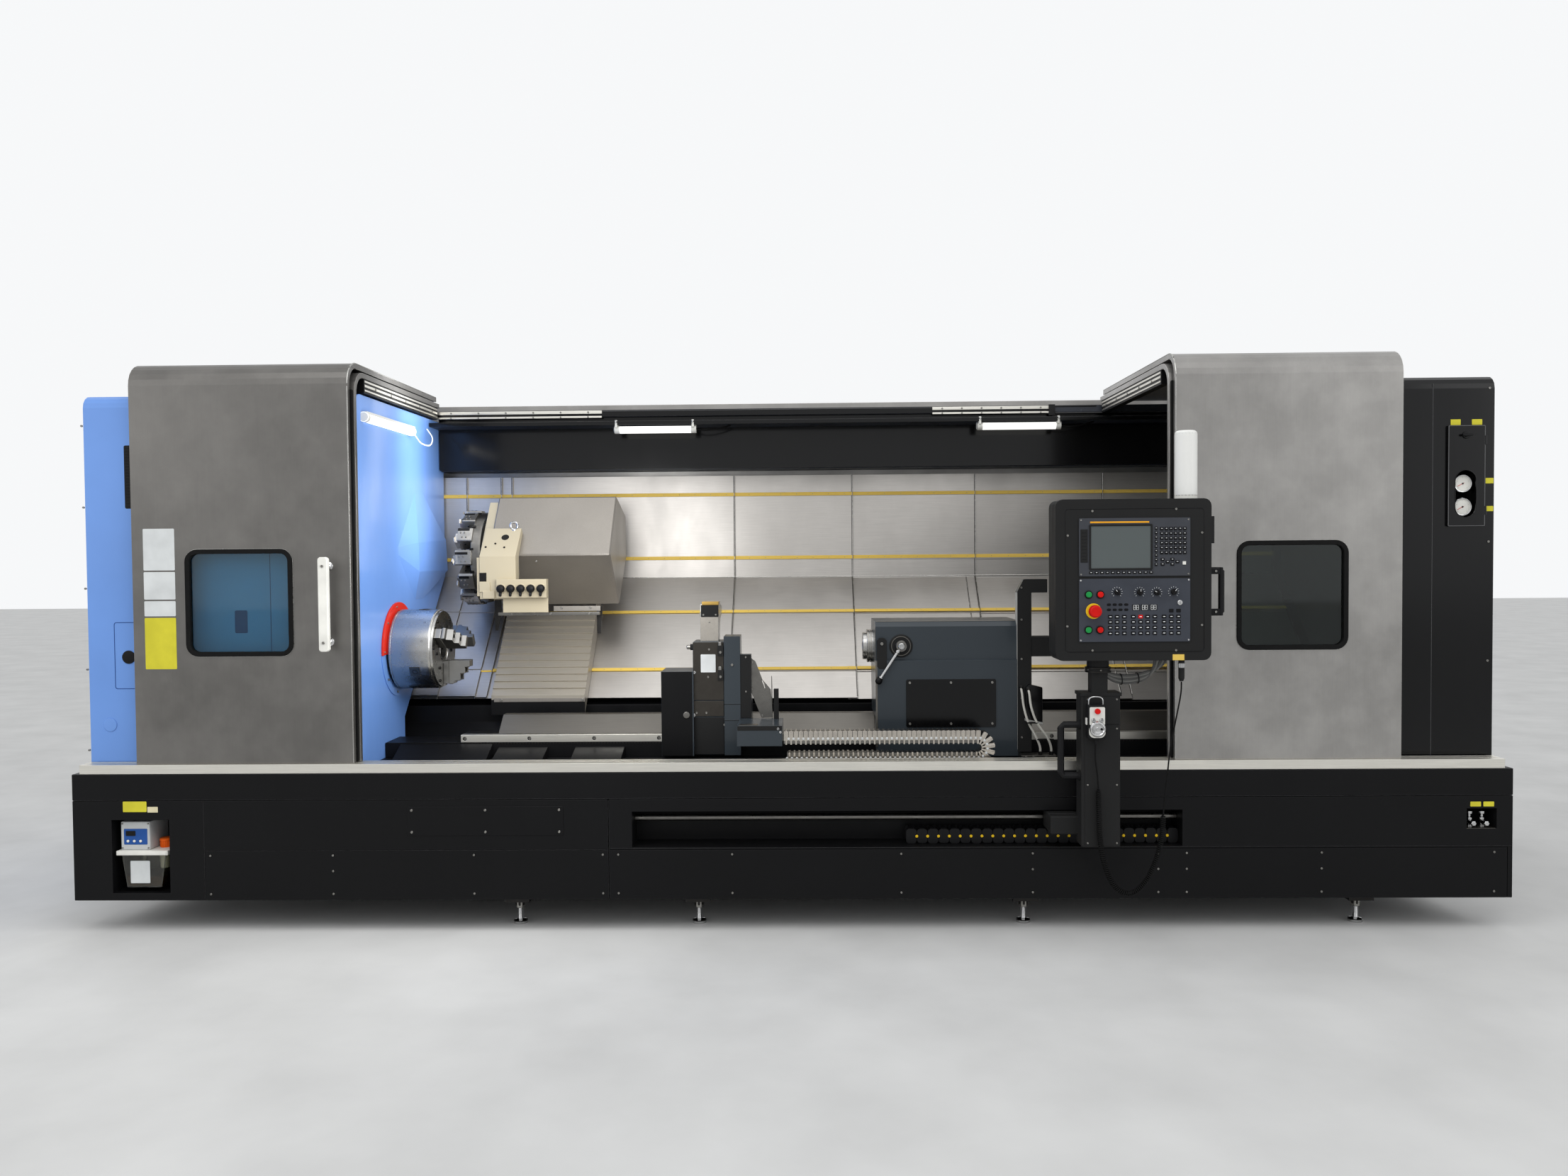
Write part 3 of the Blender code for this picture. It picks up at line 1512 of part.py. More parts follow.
def pendant(slot_height):
    post_foot = 0.360
    post_depth = (-0.150, -0.062)
    block_x = (1.005, 1.110)
    arm_height = (0.392, 0.460)
    arm_back = 0.064
    edge = 0.004
    post = block("pendant_post", post_x, post_depth, (post_foot, post_top), black_paint, edge)
    arm = block("post_arm", (block_x[0], post_x[1] - edge * 2), (post_depth[1] - overrun, arm_back), arm_height, None, edge)
    carrier = block(
        "post_carrier",
        block_x,
        (-0.040, 0.040),
        (arm_height[0] + edge, slot_height[1] - running_gap),
        None,
        edge,
    )
    top_plate = block(
        "post_top",
        (post_x[0] - edge, post_x[1] + edge),
        (post_depth[0] - edge, post_depth[1] + edge),
        (post_top - edge, post_top + edge * 2),
        None,
    )
    neck_half = 0.030
    neck_top = panel_height[0] - 0.030
    neck = block(
        "post_neck",
        (swivel_x - neck_half, swivel_x + neck_half),
        (swivel_depth - neck_half, swivel_depth + neck_half),
        (post_top, neck_top - 0.016),
        None,
        edge,
    )
    base_radius = 0.046
    swivel = turned(
        "swivel_base",
        [(0, neck_top), (base_radius, neck_top), (base_radius, neck_top - 0.020), (0, neck_top - 0.020)],
        place(swivel_x, swivel_depth, 0),
        "Z",
        None,
        24,
    )
    handle_bar = 0.011
    handle_reach = 0.070
    handle_height = (0.622, 0.812)
    handle_depth = -0.120
    path = [
        place(post_x[0] + overrun, handle_depth, handle_height[1]),
        place(post_x[0] - handle_reach + handle_bar, handle_depth, handle_height[1]),
        place(post_x[0] - handle_reach, handle_depth, handle_height[1] - handle_bar),
        place(post_x[0] - handle_reach, handle_depth, handle_height[0] + handle_bar),
        place(post_x[0] - handle_reach + handle_bar, handle_depth, handle_height[0]),
        place(post_x[0] + overrun, handle_depth, handle_height[0]),
    ]
    handle = tube("post_handle", path, handle_bar, None, 2, True)
    fuse(post, arm, carrier, top_plate, neck, swivel, handle)

    corner = 0.027
    panel = front_plate("control_panel", rounded(panel_x, panel_height, corner), panel_depth, black_paint)
    head_radius = 0.040
    head = turned(
        "panel_swivel",
        [
            (0, panel_height[0] + overrun),
            (head_radius, panel_height[0] + overrun),
            (head_radius, neck_top + touch_gap),
            (0, neck_top + touch_gap),
        ],
        place(swivel_x, swivel_depth, 0),
        "Z",
        None,
        24,
    )
    unit_proud = 0.004
    unit_x = (1.081, 1.481)
    stop_radius = 0.023
    stop_place = (1.133, 1.238)
    stop_front = -pendant_reach
    stop_travel = 0.006
    stop_rounding = 0.008
    stem_radius = 0.009
    stem_length = 0.012
    stop_back = panel_depth[0] - unit_proud - touch_gap - stop_travel
    stem_end = stop_back + stem_length
    stem_hole = turned(
        "stem_hole",
        [
            (0, stem_end + stop_travel * 2),
            (stem_radius + touch_gap, stem_end + stop_travel * 2),
            (stem_radius + touch_gap, stop_back),
            (0, stop_back),
        ],
        place(stop_place[0], 0, stop_place[1]),
        "Y",
        None,
        20,
    )
    cut(panel, stem_hole)
    plate_hole = arc(stop_place, stem_radius + touch_gap * 10, 10, 340, 11)
    screen = front_plate(
        "screen_unit",
        rounded(unit_x, (1.364, 1.574), 0.006, 2),
        (panel_depth[0] - unit_proud, panel_depth[0] + overrun),
        None,
    )
    keys = front_plate(
        "operator_plate",
        rounded(unit_x, (1.126, 1.355), 0.006, 2),
        (panel_depth[0] - unit_proud, panel_depth[0] + overrun),
        None,
        holes=[plate_hole],
    )
    tower_radius = 0.040
    tower_x = 1.485
    tower_top = 1.892
    tower = turned(
        "tower_light",
        [
            (0, tower_top),
            (tower_radius * 0.8, tower_top),
            (tower_radius, tower_top - tower_radius * 0.3),
            (tower_radius, panel_height[1] - overrun),
            (0, panel_height[1] - overrun),
        ],
        place(tower_x, (panel_depth[0] + panel_depth[1]) / 2, 0),
        "Z",
        None,
        20,
    )
    grip_bar = 0.009
    grip_reach = 0.050
    grip_height = (1.225, 1.385)
    grip_depth = -0.180
    side = panel_x[1]
    grip_path = [
        place(side - overrun, grip_depth, grip_height[1]),
        place(side + grip_reach - grip_bar, grip_depth, grip_height[1]),
        place(side + grip_reach, grip_depth, grip_height[1] - grip_bar),
        place(side + grip_reach, grip_depth, grip_height[0] + grip_bar),
        place(side + grip_reach - grip_bar, grip_depth, grip_height[0]),
        place(side - overrun, grip_depth, grip_height[0]),
    ]
    grip = tube("panel_grip", grip_path, grip_bar, None, 2, True)
    plug_radius = 0.011
    plug = turned(
        "cord_connector",
        [
            (0, panel_height[0] + overrun),
            (plug_radius, panel_height[0] + overrun),
            (plug_radius, connector_foot + plug_radius),
            (plug_radius * 0.6, connector_foot),
            (0, connector_foot),
        ],
        Vector((cord_top[0].x, cord_top[0].y, 0)),
        "Z",
        None,
        16,
    )
    fuse(panel, head, screen, keys, tower, grip, plug)

    turned(
        "emergency_stop",
        [
            (0, stem_end),
            (stem_radius, stem_end),
            (stem_radius, stop_back),
            (stop_radius * 0.7, stop_back),
            (stop_radius, stop_back - stop_rounding),
            (stop_radius, stop_front + stop_rounding),
            (stop_radius * 0.8, stop_front),
            (0, stop_front),
        ],
        place(stop_place[0], 0, stop_place[1]),
        "Y",
        red_plastic,
        24,
    )
    swivel_pivot = pivot("panel_swivel_axis", place(swivel_x, swivel_depth, neck_top))
    carry(swivel_pivot, panel)
    hand_unit(post_depth[0])


def hand_unit(post_front):
    """The hand pendant on the post: housing, loop handle and hand wheel."""
    unit_x = (1.118, 1.186)
    unit_gap = 0.004
    unit_thickness = 0.040
    unit_height = (post_top - 0.157, post_top - 0.031)
    unit_back = post_front - touch_gap - unit_gap
    unit_depth = (unit_back - unit_thickness, unit_back)
    unit = front_plate("hand_unit", rounded(unit_x, unit_height, 0.012, 3), unit_depth, black_rubber)
    loop_bar = 0.006
    middle = (unit_x[0] + unit_x[1]) / 2
    depth = (unit_depth[0] + unit_depth[1]) / 2
    half = 0.027
    top = unit_height[1] + 0.023
    path = [
        place(middle - half, depth, unit_height[1] - overrun / 2),
        place(middle - half, depth, top - half / 3),
        place(middle - half / 2, depth, top),
        place(middle + half / 2, depth, top),
        place(middle + half, depth, top - half / 3),
        place(middle + half, depth, unit_height[1] - overrun / 2),
    ]
    fuse(unit, tube("hand_loop", path, loop_bar, None, 2, True))
    wheel_radius = 0.029
    wheel_height = unit_height[0] + 0.038
    wheel_deep = 0.014
    wheel_edge = 0.003
    turned(
        "hand_wheel",
        [
            (0, -touch_gap),
            (wheel_radius, -touch_gap),
            (wheel_radius, -wheel_deep + wheel_edge),
            (wheel_radius - wheel_edge, -wheel_deep),
            (0, -wheel_deep),
        ],
        place(middle, unit_depth[0], wheel_height),
        "Y",
        bright_steel,
        24,
    )
    return unit_height[0]


# The hand unit's cord: a thin lead, a curly stretch and a thin lead, as route points
connector_foot = 0.977
cord_plane = -0.172
cord_radius = 0.004
coil_radius = 0.0105
cord_top = [
    place(1.464, cord_plane, 0.9767),
    place(1.462, cord_plane, 0.93),
    place(1.447, cord_plane, 0.85),
    place(1.424, cord_plane, 0.73),
    place(1.412, cord_plane, 0.62),
    place(1.402, cord_plane, 0.54),
    place(1.399, cord_plane, 0.4903),
]
cord_coil = [
    place(1.399, cord_plane, 0.49),
    place(1.394, cord_plane, 0.41),
    place(1.373, cord_plane, 0.32),
    place(1.335, cord_plane, 0.24),
    place(1.282, cord_plane, 0.195),
    place(1.226, cord_plane, 0.215),
    place(1.187, cord_plane, 0.29),
    place(1.168, cord_plane, 0.39),
    place(1.163, cord_plane, 0.50),
    place(1.161, cord_plane, 0.585),
]
cord_bottom = [
    place(1.161, cord_plane, 0.5853),
    place(1.158, cord_plane, 0.63),
    place(1.150, cord_plane, 0.70),
    place(1.152, cord_plane, 0.7677),
]


def smooth_route(points, spacing):
    """Evenly spaced points of one smooth curve through the route's own points."""
    ends = [points[0] * 2 - points[1]] + list(points) + [points[-1] * 2 - points[-2]]
    fine = []
    parts = 24
    for number in range(1, len(ends) - 2):
        a, b, c, d = ends[number - 1 : number + 3]
        for step in range(parts):
            t = step / parts
            fine.append(
                0.5
                * (
                    b * 2
                    + (c - a) * t
                    + (a * 2 - b * 5 + c * 4 - d) * t**2
                    + (b * 3 - a - c * 3 + d) * t**3
                )
            )
    fine.append(points[-1])
    total = sum((q - p).length for p, q in zip(fine, fine[1:]))
    count = max(4, round(total / spacing))
    route = [fine[0]]
    target = total / count
    walked = 0.0
    for p, q in zip(fine, fine[1:]):
        length = (q - p).length
        while walked + length >= target * len(route) and len(route) < count:
            route.append(p.lerp(q, (target * len(route) - walked) / length))
        walked += length
    route.append(fine[-1])
    return route


def cords():
    """The plain tubes of the hand unit's cord."""
    tube("cord_lead_top", smooth_route(cord_top, cord_radius * 5), cord_radius, black_rubber, 2)
    tube("cord_curl", smooth_route(cord_coil, coil_radius * 4), coil_radius, black_rubber, 3)
    tube("cord_lead_bottom", smooth_route(cord_bottom, cord_radius * 5), cord_radius, black_rubber, 2)


slot_span, slot_span_height = base()
doors()
rear_line = rear_and_beam()
bore, guard = headstock(rear_line - touch_gap)
spindle(bore, guard)
fixed_covers()
carriage()
turret()
front_way()
steady_rest()
tailstock()
drag_chain()
cabinet(rear_line - touch_gap)
pendant(slot_span_height)
cords()
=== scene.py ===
# %% [markdown]
# A turning lathe with a slanted bed, dressed for its picture.
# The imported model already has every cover, slide and door in its place. This script gives each of them its
# finish, adds the fine pieces that a solid model leaves out, and sets up the light and the camera.

# %% Load the lathe
import math
import bmesh
import bpy
from mathutils import Matrix, Vector
from mathutils.geometry import tessellate_polygon


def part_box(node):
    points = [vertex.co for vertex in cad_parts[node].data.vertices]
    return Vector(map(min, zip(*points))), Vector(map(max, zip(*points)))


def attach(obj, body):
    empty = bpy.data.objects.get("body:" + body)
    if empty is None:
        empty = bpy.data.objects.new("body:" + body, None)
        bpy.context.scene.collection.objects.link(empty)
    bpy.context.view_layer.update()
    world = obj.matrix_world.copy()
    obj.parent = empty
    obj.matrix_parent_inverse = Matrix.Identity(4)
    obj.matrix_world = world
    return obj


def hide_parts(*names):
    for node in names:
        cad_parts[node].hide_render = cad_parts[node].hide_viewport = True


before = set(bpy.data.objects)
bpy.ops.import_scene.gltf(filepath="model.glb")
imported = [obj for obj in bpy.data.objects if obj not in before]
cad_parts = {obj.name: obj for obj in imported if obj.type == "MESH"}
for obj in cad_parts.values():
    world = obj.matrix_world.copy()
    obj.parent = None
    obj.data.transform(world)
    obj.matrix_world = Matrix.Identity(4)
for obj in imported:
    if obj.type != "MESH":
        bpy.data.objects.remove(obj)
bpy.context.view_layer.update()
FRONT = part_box("front_band")[0].y
print("nodes:", len(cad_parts), "front face at y", round(FRONT, 3))

# %% [markdown]
# On the shop floor, places on a machine are called out as sideways, depth behind the front face, and height.
# The same three numbers are used here, so each piece is drawn that way and moved to the front face once, when
# it is made.

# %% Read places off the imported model
def room(node):
    """Lowest and highest corner of a node, as sideways, depth behind the front face, and height."""
    low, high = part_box(node)
    front = Vector((0, FRONT, 0))
    return low - front, high - front


print("left door:", *(tuple(round(v, 3) for v in corner) for corner in room("left_outer_door")))

# %% [markdown]
# Most of a machine tool is bent sheet, turned steel, bars and screws. One short maker for each of those kinds
# is enough, and all of them give a small closed mesh. They could be made with Blender's own add commands, but
# mesh code keeps every size in plain sight.

# %% Makers for sheet, turned pieces and bars
SIDEWAYS = Vector((1, 0, 0))
FORWARD = Vector((0, -1, 0))
UP = Vector((0, 0, 1))


def mm(*lengths):
    """Pairs of lengths that are written in millimetres, as a drawing does, in metres."""
    metres = [length / 1000 for length in lengths]
    return list(zip(metres[::2], metres[1::2]))


def sheet_metal(outline, start, end, across="y", holes=()):
    """A flat piece: an outline, and holes in it, carried across one axis from start to end."""
    part = bmesh.new()
    order = {"x": (2, 0, 1), "y": (0, 2, 1), "z": (0, 1, 2)}[across]
    loops = [list(outline)] + [list(hole) for hole in holes]
    sides = []
    for along in (start, end):
        side = []
        for loop in loops:
            side.append([part.verts.new([(a, b, along)[i] for i in order]) for a, b in loop])
        sides.append(side)
    for near, far in zip(*sides):
        for i, corner in enumerate(near):
            j = (i + 1) % len(near)
            part.faces.new((corner, near[j], far[j], far[i]))
    drawn = [[Vector((a, b, 0)) for a, b in loop] for loop in loops]
    for side in sides:
        corners = [corner for loop in side for corner in loop]
        if holes:
            for triangle in tessellate_polygon(drawn):
                part.faces.new([corners[i] for i in triangle])
        else:
            part.faces.new(corners)
    bmesh.ops.recalc_face_normals(part, faces=part.faces)
    return part


def bar_stock(x, depth, height):
    """A rectangular piece between two places on each axis."""
    outline = [(x[0], height[0]), (x[1], height[0]), (x[1], height[1]), (x[0], height[1])]
    return sheet_metal(outline, depth[0], depth[1])


def rounded(x, height, radius, steps=6):
    """The outline of a rectangle with round corners."""
    outline = []
    corners = [(x[1], height[0], -90), (x[1], height[1], 0), (x[0], height[1], 90), (x[0], height[0], 180)]
    for corner_x, corner_z, first in corners:
        centre_x = corner_x + (radius if corner_x == x[0] else -radius)
        centre_z = corner_z + (radius if corner_z == height[0] else -radius)
        for step in range(steps + 1):
            turn = math.radians(first + 90 * step / steps)
            outline.append((centre_x + radius * math.cos(turn), centre_z + radius * math.sin(turn)))
    return outline


def ring(centre, radius, steps=24):
    """The outline of a circle."""
    turns = [2 * math.pi * step / steps for step in range(steps)]
    return [(centre[0] + radius * math.cos(turn), centre[1] + radius * math.sin(turn)) for turn in turns]


def turned(profile, centre, axis, steps=32, hollow=False):
    """A turned piece: pairs of radius and distance along the axis, spun round it."""
    part = bmesh.new()
    rings = []
    for radius, along in profile:
        spots = [(0, 0, along)]
        if radius > 0:
            spots = [(a, b, along) for a, b in ring((0, 0), radius, steps)]
        rings.append([part.verts.new(spot) for spot in spots])
    pairs = list(zip(rings, rings[1:])) + ([(rings[-1], rings[0])] if hollow else [])
    for near, far in pairs:
        for i in range(steps):
            j = (i + 1) % steps
            corners = [near[i % len(near)], near[j % len(near)], far[j % len(far)], far[i % len(far)]]
            corners = list(dict.fromkeys(corners))
            if len(corners) > 2:
                part.faces.new(corners)
    if not hollow:
        for end in (rings[0], rings[-1]):
            if len(end) > 1:
                part.faces.new(end)
    bmesh.ops.recalc_face_normals(part, faces=part.faces)
    turn = UP.rotation_difference(Vector(axis)).to_matrix().to_4x4()
    part.transform(Matrix.Translation(Vector(centre)) @ turn)
    return part


def pipe(points, radius, steps=10):
    """A round bar, hose or wire along a line of places."""
    part = bmesh.new()
    line = [Vector(point) for point in points]
    side = None
    rings = []
    for i, spot in enumerate(line):
        ahead = (line[min(i + 1, len(line) - 1)] - line[max(i - 1, 0)]).normalized()
        side = ahead.orthogonal() if side is None else side - ahead * side.dot(ahead)
        side.normalize()
        other = ahead.cross(side)
        rings.append([part.verts.new(spot + side * a + other * b) for a, b in ring((0, 0), radius, steps)])
    for near, far in zip(rings, rings[1:]):
        for i in range(steps):
            j = (i + 1) % steps
            part.faces.new((near[i], near[j], far[j], far[i]))
    part.faces.new(rings[0])
    part.faces.new(rings[-1])
    bmesh.ops.recalc_face_normals(part, faces=part.faces)
    return part


def eased(points, steps=8):
    """A smooth line through a few places."""
    line = [Vector(point) for point in points]
    ends = [line[0] * 2 - line[1]] + line + [line[-1] * 2 - line[-2]]
    smooth = []
    for a, b, c, d in zip(ends, ends[1:], ends[2:], ends[3:]):
        for step in range(steps):
            t = step / steps
            flat_part = (c - a) * t + (a * 2 - b * 5 + c * 4 - d) * t * t + (b * 3 - a - c * 3 + d) * t ** 3
            smooth.append(b + flat_part / 2)
    return smooth + [line[-1]]


print("makers: sheet_metal, bar_stock, turned, pipe")

# %% [markdown]
# A piece is gathered from such parts. Real edges are never sharp: sheet has a bend, a casting has a radius and
# turned steel has a small chamfer. So each part's hard edges are rounded as it goes in. Normals then follow
# the large faces, which keeps flat faces flat in the light.

# %% Gather parts into one piece
SHARP = math.radians(28)
HEAD_SHARE = 0.75


class Form:
    """The parts of one piece, each with the number of its finish."""

    def __init__(self):
        self.mesh = bmesh.new()

    def add(self, part, finish=0, edge=0.0, segments=2):
        """Takes in a part, with its hard edges rounded by edge."""
        if edge > 0:
            hard = [e for e in part.edges if len(e.link_faces) == 2 and e.calc_face_angle() > SHARP]
            bmesh.ops.bevel(part, geom=hard, offset=edge, segments=segments, profile=0.5, affect="EDGES")
        for face in part.faces:
            face.material_index = finish
            face.smooth = True
        held = bpy.data.meshes.new("part")
        part.to_mesh(held)
        self.mesh.from_mesh(held)
        bpy.data.meshes.remove(held)
        part.free()

    def screws(self, across, depth, heights, radius, finish=0):
        """Screws that face forward, one at each place across and each height."""
        for x in across:
            for height in heights:
                self.screw((x, depth, height), FORWARD, radius, finish)

    def put(self, part, seat, finish=0, edge=0.0):
        """Takes in a part after moving it to its seat."""
        part.transform(seat)
        self.add(part, finish, edge)

    def block(self, x, depth, height, finish=0, edge=0.001):
        self.add(bar_stock(x, depth, height), finish, edge)

    def spin(self, profile, centre, axis, steps=32, finish=0, edge=0.0, hollow=False):
        self.add(turned(profile, centre, axis, steps, hollow), finish, edge)

    def plate(self, x, height, radius, depth, finish=0, edge=0.0):
        """A sheet with round corners, between two depths."""
        self.add(sheet_metal(rounded(x, height, radius), *depth), finish, edge)

    def screw(self, centre, axis, radius, finish=0):
        """A socket screw: a low turned head with a sunk middle."""
        head = radius * HEAD_SHARE
        sunk = radius * 0.55
        rim = radius * 0.88
        profile = [
            (0, head / 3), (sunk, head / 3), (sunk, head), (rim, head), (radius, head * 0.8), (radius, -head)
        ]
        self.add(turned(profile, centre, axis, 12), finish)


def make(form, name, finishes, body, *nodes):
    """Turns a form into an object that rides on a body, and stands for the nodes that are named."""
    mesh = bpy.data.meshes.new(name)
    bmesh.ops.translate(form.mesh, verts=form.mesh.verts, vec=(0, FRONT, 0))
    form.mesh.to_mesh(mesh)
    form.mesh.free()
    piece = bpy.data.objects.new(name, mesh)
    bpy.context.scene.collection.objects.link(piece)
    for finish in finishes:
        mesh.materials.append(finish.material)
    mesh.set_sharp_from_angle(angle=SHARP)
    piece.modifiers.new("Even normals", "WEIGHTED_NORMAL").keep_sharp = True
    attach(piece, body)
    if nodes:
        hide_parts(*nodes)
    print(name, "faces:", len(mesh.polygons))
    return piece


# %% [markdown]
# Shader sums are easier to read as sums than as a web of nodes. The small class below wraps one socket, so
# that 1 - mask or noise * 0.2 adds the Math node it needs. Every other node comes from one method of the finish.

# %% Shader sums and nodes
class Wire:
    """One output of a shader node, for sums."""

    def __init__(self, finish, socket):
        self.finish = finish
        self.socket = socket

    def sums(self, operation, first, second=0.0):
        return self.finish.node("ShaderNodeMath", {"operation": operation}, {0: first, 1: second})

    def __add__(self, other):
        return self.sums("ADD", self, other)

    def __sub__(self, other):
        return self.sums("SUBTRACT", self, other)

    def __rsub__(self, other):
        return self.sums("SUBTRACT", other, self)

    def __mul__(self, other):
        return self.sums("MULTIPLY", self, other)

    def __truediv__(self, other):
        return self.sums("DIVIDE", self, other)

    def __rtruediv__(self, other):
        return self.sums("DIVIDE", other, self)

    def __pow__(self, other):
        return self.sums("POWER", self, other)

    __radd__ = __add__
    __rmul__ = __mul__

    def between(self, low, high):
        """Spreads low to high over 0 to 1."""
        values = {"Value": self, "From Min": low, "From Max": high}
        return self.finish.node("ShaderNodeMapRange", {"clamp": True}, values)


class Finish:
    """A material built on one shader: fixed values on its sockets, and wires to what varies."""

    def __init__(self, name, colour, roughness, **fixed):
        self.material = bpy.data.materials.new(name)
        self.material.use_nodes = True
        self.nodes = self.material.node_tree.nodes
        self.shader = self.nodes["Principled BSDF"]
        self.colour = colour
        values = {"Base Color": (*colour, 1), "Roughness": roughness}
        values.update({socket.replace("_", " "): value for socket, value in fixed.items()})
        for socket, value in values.items():
            self.shader.inputs[socket].default_value = value

    def node(self, kind, settings=None, values=None, out=0):
        """Adds a node: its settings first, then the values or wires of its sockets."""
        node = self.nodes.new(kind)
        for setting, value in (settings or {}).items():
            if setting == "stops":
                ramp = node.color_ramp.elements
                while len(ramp) < len(value):
                    ramp.new(1.0)
                for stop, (place, colour) in zip(ramp, value):
                    stop.position = place
                    stop.color = (*colour, 1)
            else:
                setattr(node, setting, value)
        for name, value in (values or {}).items():
            live = [s for s in node.inputs if s.enabled]
            socket = node.inputs[name] if isinstance(name, int) else next(s for s in live if s.name == name)
            if isinstance(value, Wire):
                self.material.node_tree.links.new(value.socket, socket)
            else:
                socket.default_value = value
        live = [s for s in node.outputs if s.enabled]
        socket = live[out] if isinstance(out, int) else next(s for s in live if s.name == out)
        return Wire(self, socket)

    def feed(self, socket, wire):
        """Leads a wire to the shader."""
        self.material.node_tree.links.new(wire.socket, self.shader.inputs[socket])

    def place(self, stretch=(1, 1, 1)):
        """Where a point is on the piece, in metres, drawn out along an axis if wanted."""
        here = self.node("ShaderNodeTexCoord", out="Object")
        return self.node("ShaderNodeVectorMath", {"operation": "MULTIPLY"}, {0: here, 1: stretch})

    def noise(self, scale, detail=3.0, stretch=(1, 1, 1), roughness=0.5):
        """Cloudy noise between about 0.3 and 0.7."""
        values = {"Vector": self.place(stretch), "Scale": scale, "Detail": detail, "Roughness": roughness}
        return self.node("ShaderNodeTexNoise", {}, values)

    def blend(self, factor, first, second):
        """One colour where the factor is 0 and another where it is 1."""
        first = first if isinstance(first, Wire) else (*first, 1)
        second = second if isinstance(second, Wire) else (*second, 1)
        return self.node("ShaderNodeMix", {"data_type": "RGBA"}, {"Factor": factor, "A": first, "B": second})

    def rim(self, radius):
        """A normal that is rounded along hard edges, and a mask that is 1 on those edges."""
        soft = self.node("ShaderNodeBevel", {"samples": 4}, {"Radius": radius})
        true = self.node("ShaderNodeNewGeometry", out="Normal")
        same = self.node("ShaderNodeVectorMath", {"operation": "DOT_PRODUCT"}, {0: soft, 1: true}, out="Value")
        return soft, (1 - same).between(0.02, 0.16)

    def relief(self, height, strength, distance, normal=None):
        """Feeds fine relief, on top of a rounded normal if there is one."""
        values = {"Height": height, "Strength": strength, "Distance": distance}
        if normal:
            values["Normal"] = normal
        self.feed("Normal", self.node("ShaderNodeBump", {}, values))


def tone(red, green, blue):
    """A colour read off a screen, from 0 to 255, as light."""
    return tuple((level / 255) ** 2.2 for level in (red, green, blue))


def shade(colour, share):
    return tuple(level * share for level in colour)


print("a mid grey of 128 is", round(tone(128, 128, 128)[0], 3), "as light")

# %% [markdown]
# The paint on a machine is baked powder. From close by it has a fine orange skin, and its gloss varies a little
# where hands and coolant have been. Cloudy noise gives both. A rounded normal finds the hard edges, and a painted
# highlight is laid along them: a paler colour, as if the edges caught more light.

# %% Painted finishes
PAINT_GLOSS = 0.13


def painted(name, colour, roughness, coat=0.0, skin=700.0, skin_height=0.00006, soft=0.002, dust=0.12, bright=1.35):
    """Baked paint with an orange skin, faint smears, and a painted highlight that makes its hard edges paler."""
    finish = Finish(name, colour, roughness, Coat_Weight=coat, Coat_Roughness=0.12, Specular_IOR_Level=PAINT_GLOSS)
    cloud = finish.noise(2.2, 4.0)
    smear = finish.noise(9.0, 5.0, (1, 1, 0.25), 0.65).between(0.35, 0.75)
    body = finish.blend(cloud.between(0.3, 0.7), shade(colour, 1 - dust / 2), shade(colour, 1 + dust / 2))
    normal, edges = finish.rim(soft)
    # Painted highlight: along every hard edge the colour is blended towards a copy made paler by the share bright.
    finish.feed("Base Color", finish.blend(edges * 0.7, body, shade(colour, bright)))
    finish.feed("Roughness", roughness * 0.82 + smear * (roughness * 0.4))
    finish.relief(finish.noise(skin, 2.0), 0.35, skin_height, normal)
    return finish


def moulded(name, colour, roughness, grain=1500.0, soft=0.001):
    """Moulded plastic or rubber with a fine even grain."""
    finish = Finish(name, colour, roughness, Specular_IOR_Level=PAINT_GLOSS)
    cloud = finish.noise(14.0, 3.0).between(0.3, 0.7)
    finish.feed("Base Color", finish.blend(cloud, shade(colour, 0.92), shade(colour, 1.08)))
    finish.feed("Roughness", roughness * 0.9 + finish.noise(60.0).between(0.3, 0.7) * (roughness * 0.25))
    normal = finish.rim(soft)[0]
    finish.relief(finish.noise(grain, 2.0), 0.4, 0.00005, normal)
    return finish


# bright sets how much paler the painted edge highlight is than the paint itself.
black_paint = painted("black base paint", tone(23, 23, 24), 0.42, soft=0.003, bright=2.6)
gloss_black = painted("gloss black paint", tone(18, 18, 19), 0.22, coat=0.3, skin=500.0, bright=2.6)
matte_black = painted("matte black paint", tone(38, 38, 38), 0.55, skin=1100.0, skin_height=0.00012, bright=2.0)
blue_paint = painted("bright blue paint", tone(112, 153, 222), 0.36, coat=0.15)
red_paint = painted("red guard paint", tone(214, 52, 40), 0.38)
casting_paint = painted(
    "blue black casting paint", tone(56, 62, 67), 0.34, coat=0.3, skin=260.0, skin_height=0.0003
)
cream_paint = painted("cream casting paint", tone(183, 172, 147), 0.45, skin=240.0, skin_height=0.0003)
yellow_paint = painted("amber strip paint", tone(222, 188, 92), 0.45, bright=1.15)
white_paint = painted("white paint", tone(214, 214, 210), 0.4, bright=1.1)
pale_grey_paint = painted("pale grey paint", tone(172, 172, 168), 0.45, bright=1.15)
orange_plastic = moulded("orange plastic", tone(232, 98, 30), 0.4)
black_plastic = moulded("black plastic", tone(30, 30, 31), 0.42)
black_rubber = moulded("black rubber", tone(20, 20, 20), 0.62, 900.0)
white_plastic = moulded("white plastic", tone(222, 221, 214), 0.4)
red_plastic = moulded("red plastic", tone(205, 30, 26), 0.3)
green_plastic = moulded("green plastic", tone(38, 140, 72), 0.3)
yellow_plastic = moulded("yellow plastic", tone(232, 190, 40), 0.4)
blue_plastic = moulded("blue plastic", tone(46, 84, 150), 0.35)
print("painted and moulded finishes:", len(bpy.data.materials))

# %% [markdown]
# The sliding covers and the rails are brushed stainless steel. Brushing leaves hair lines along one direction,
# which stretch each reflection across that direction. Noise that is drawn out along the brushing gives the
# hair lines, and slower noise gives the greasy smears that coolant leaves behind.

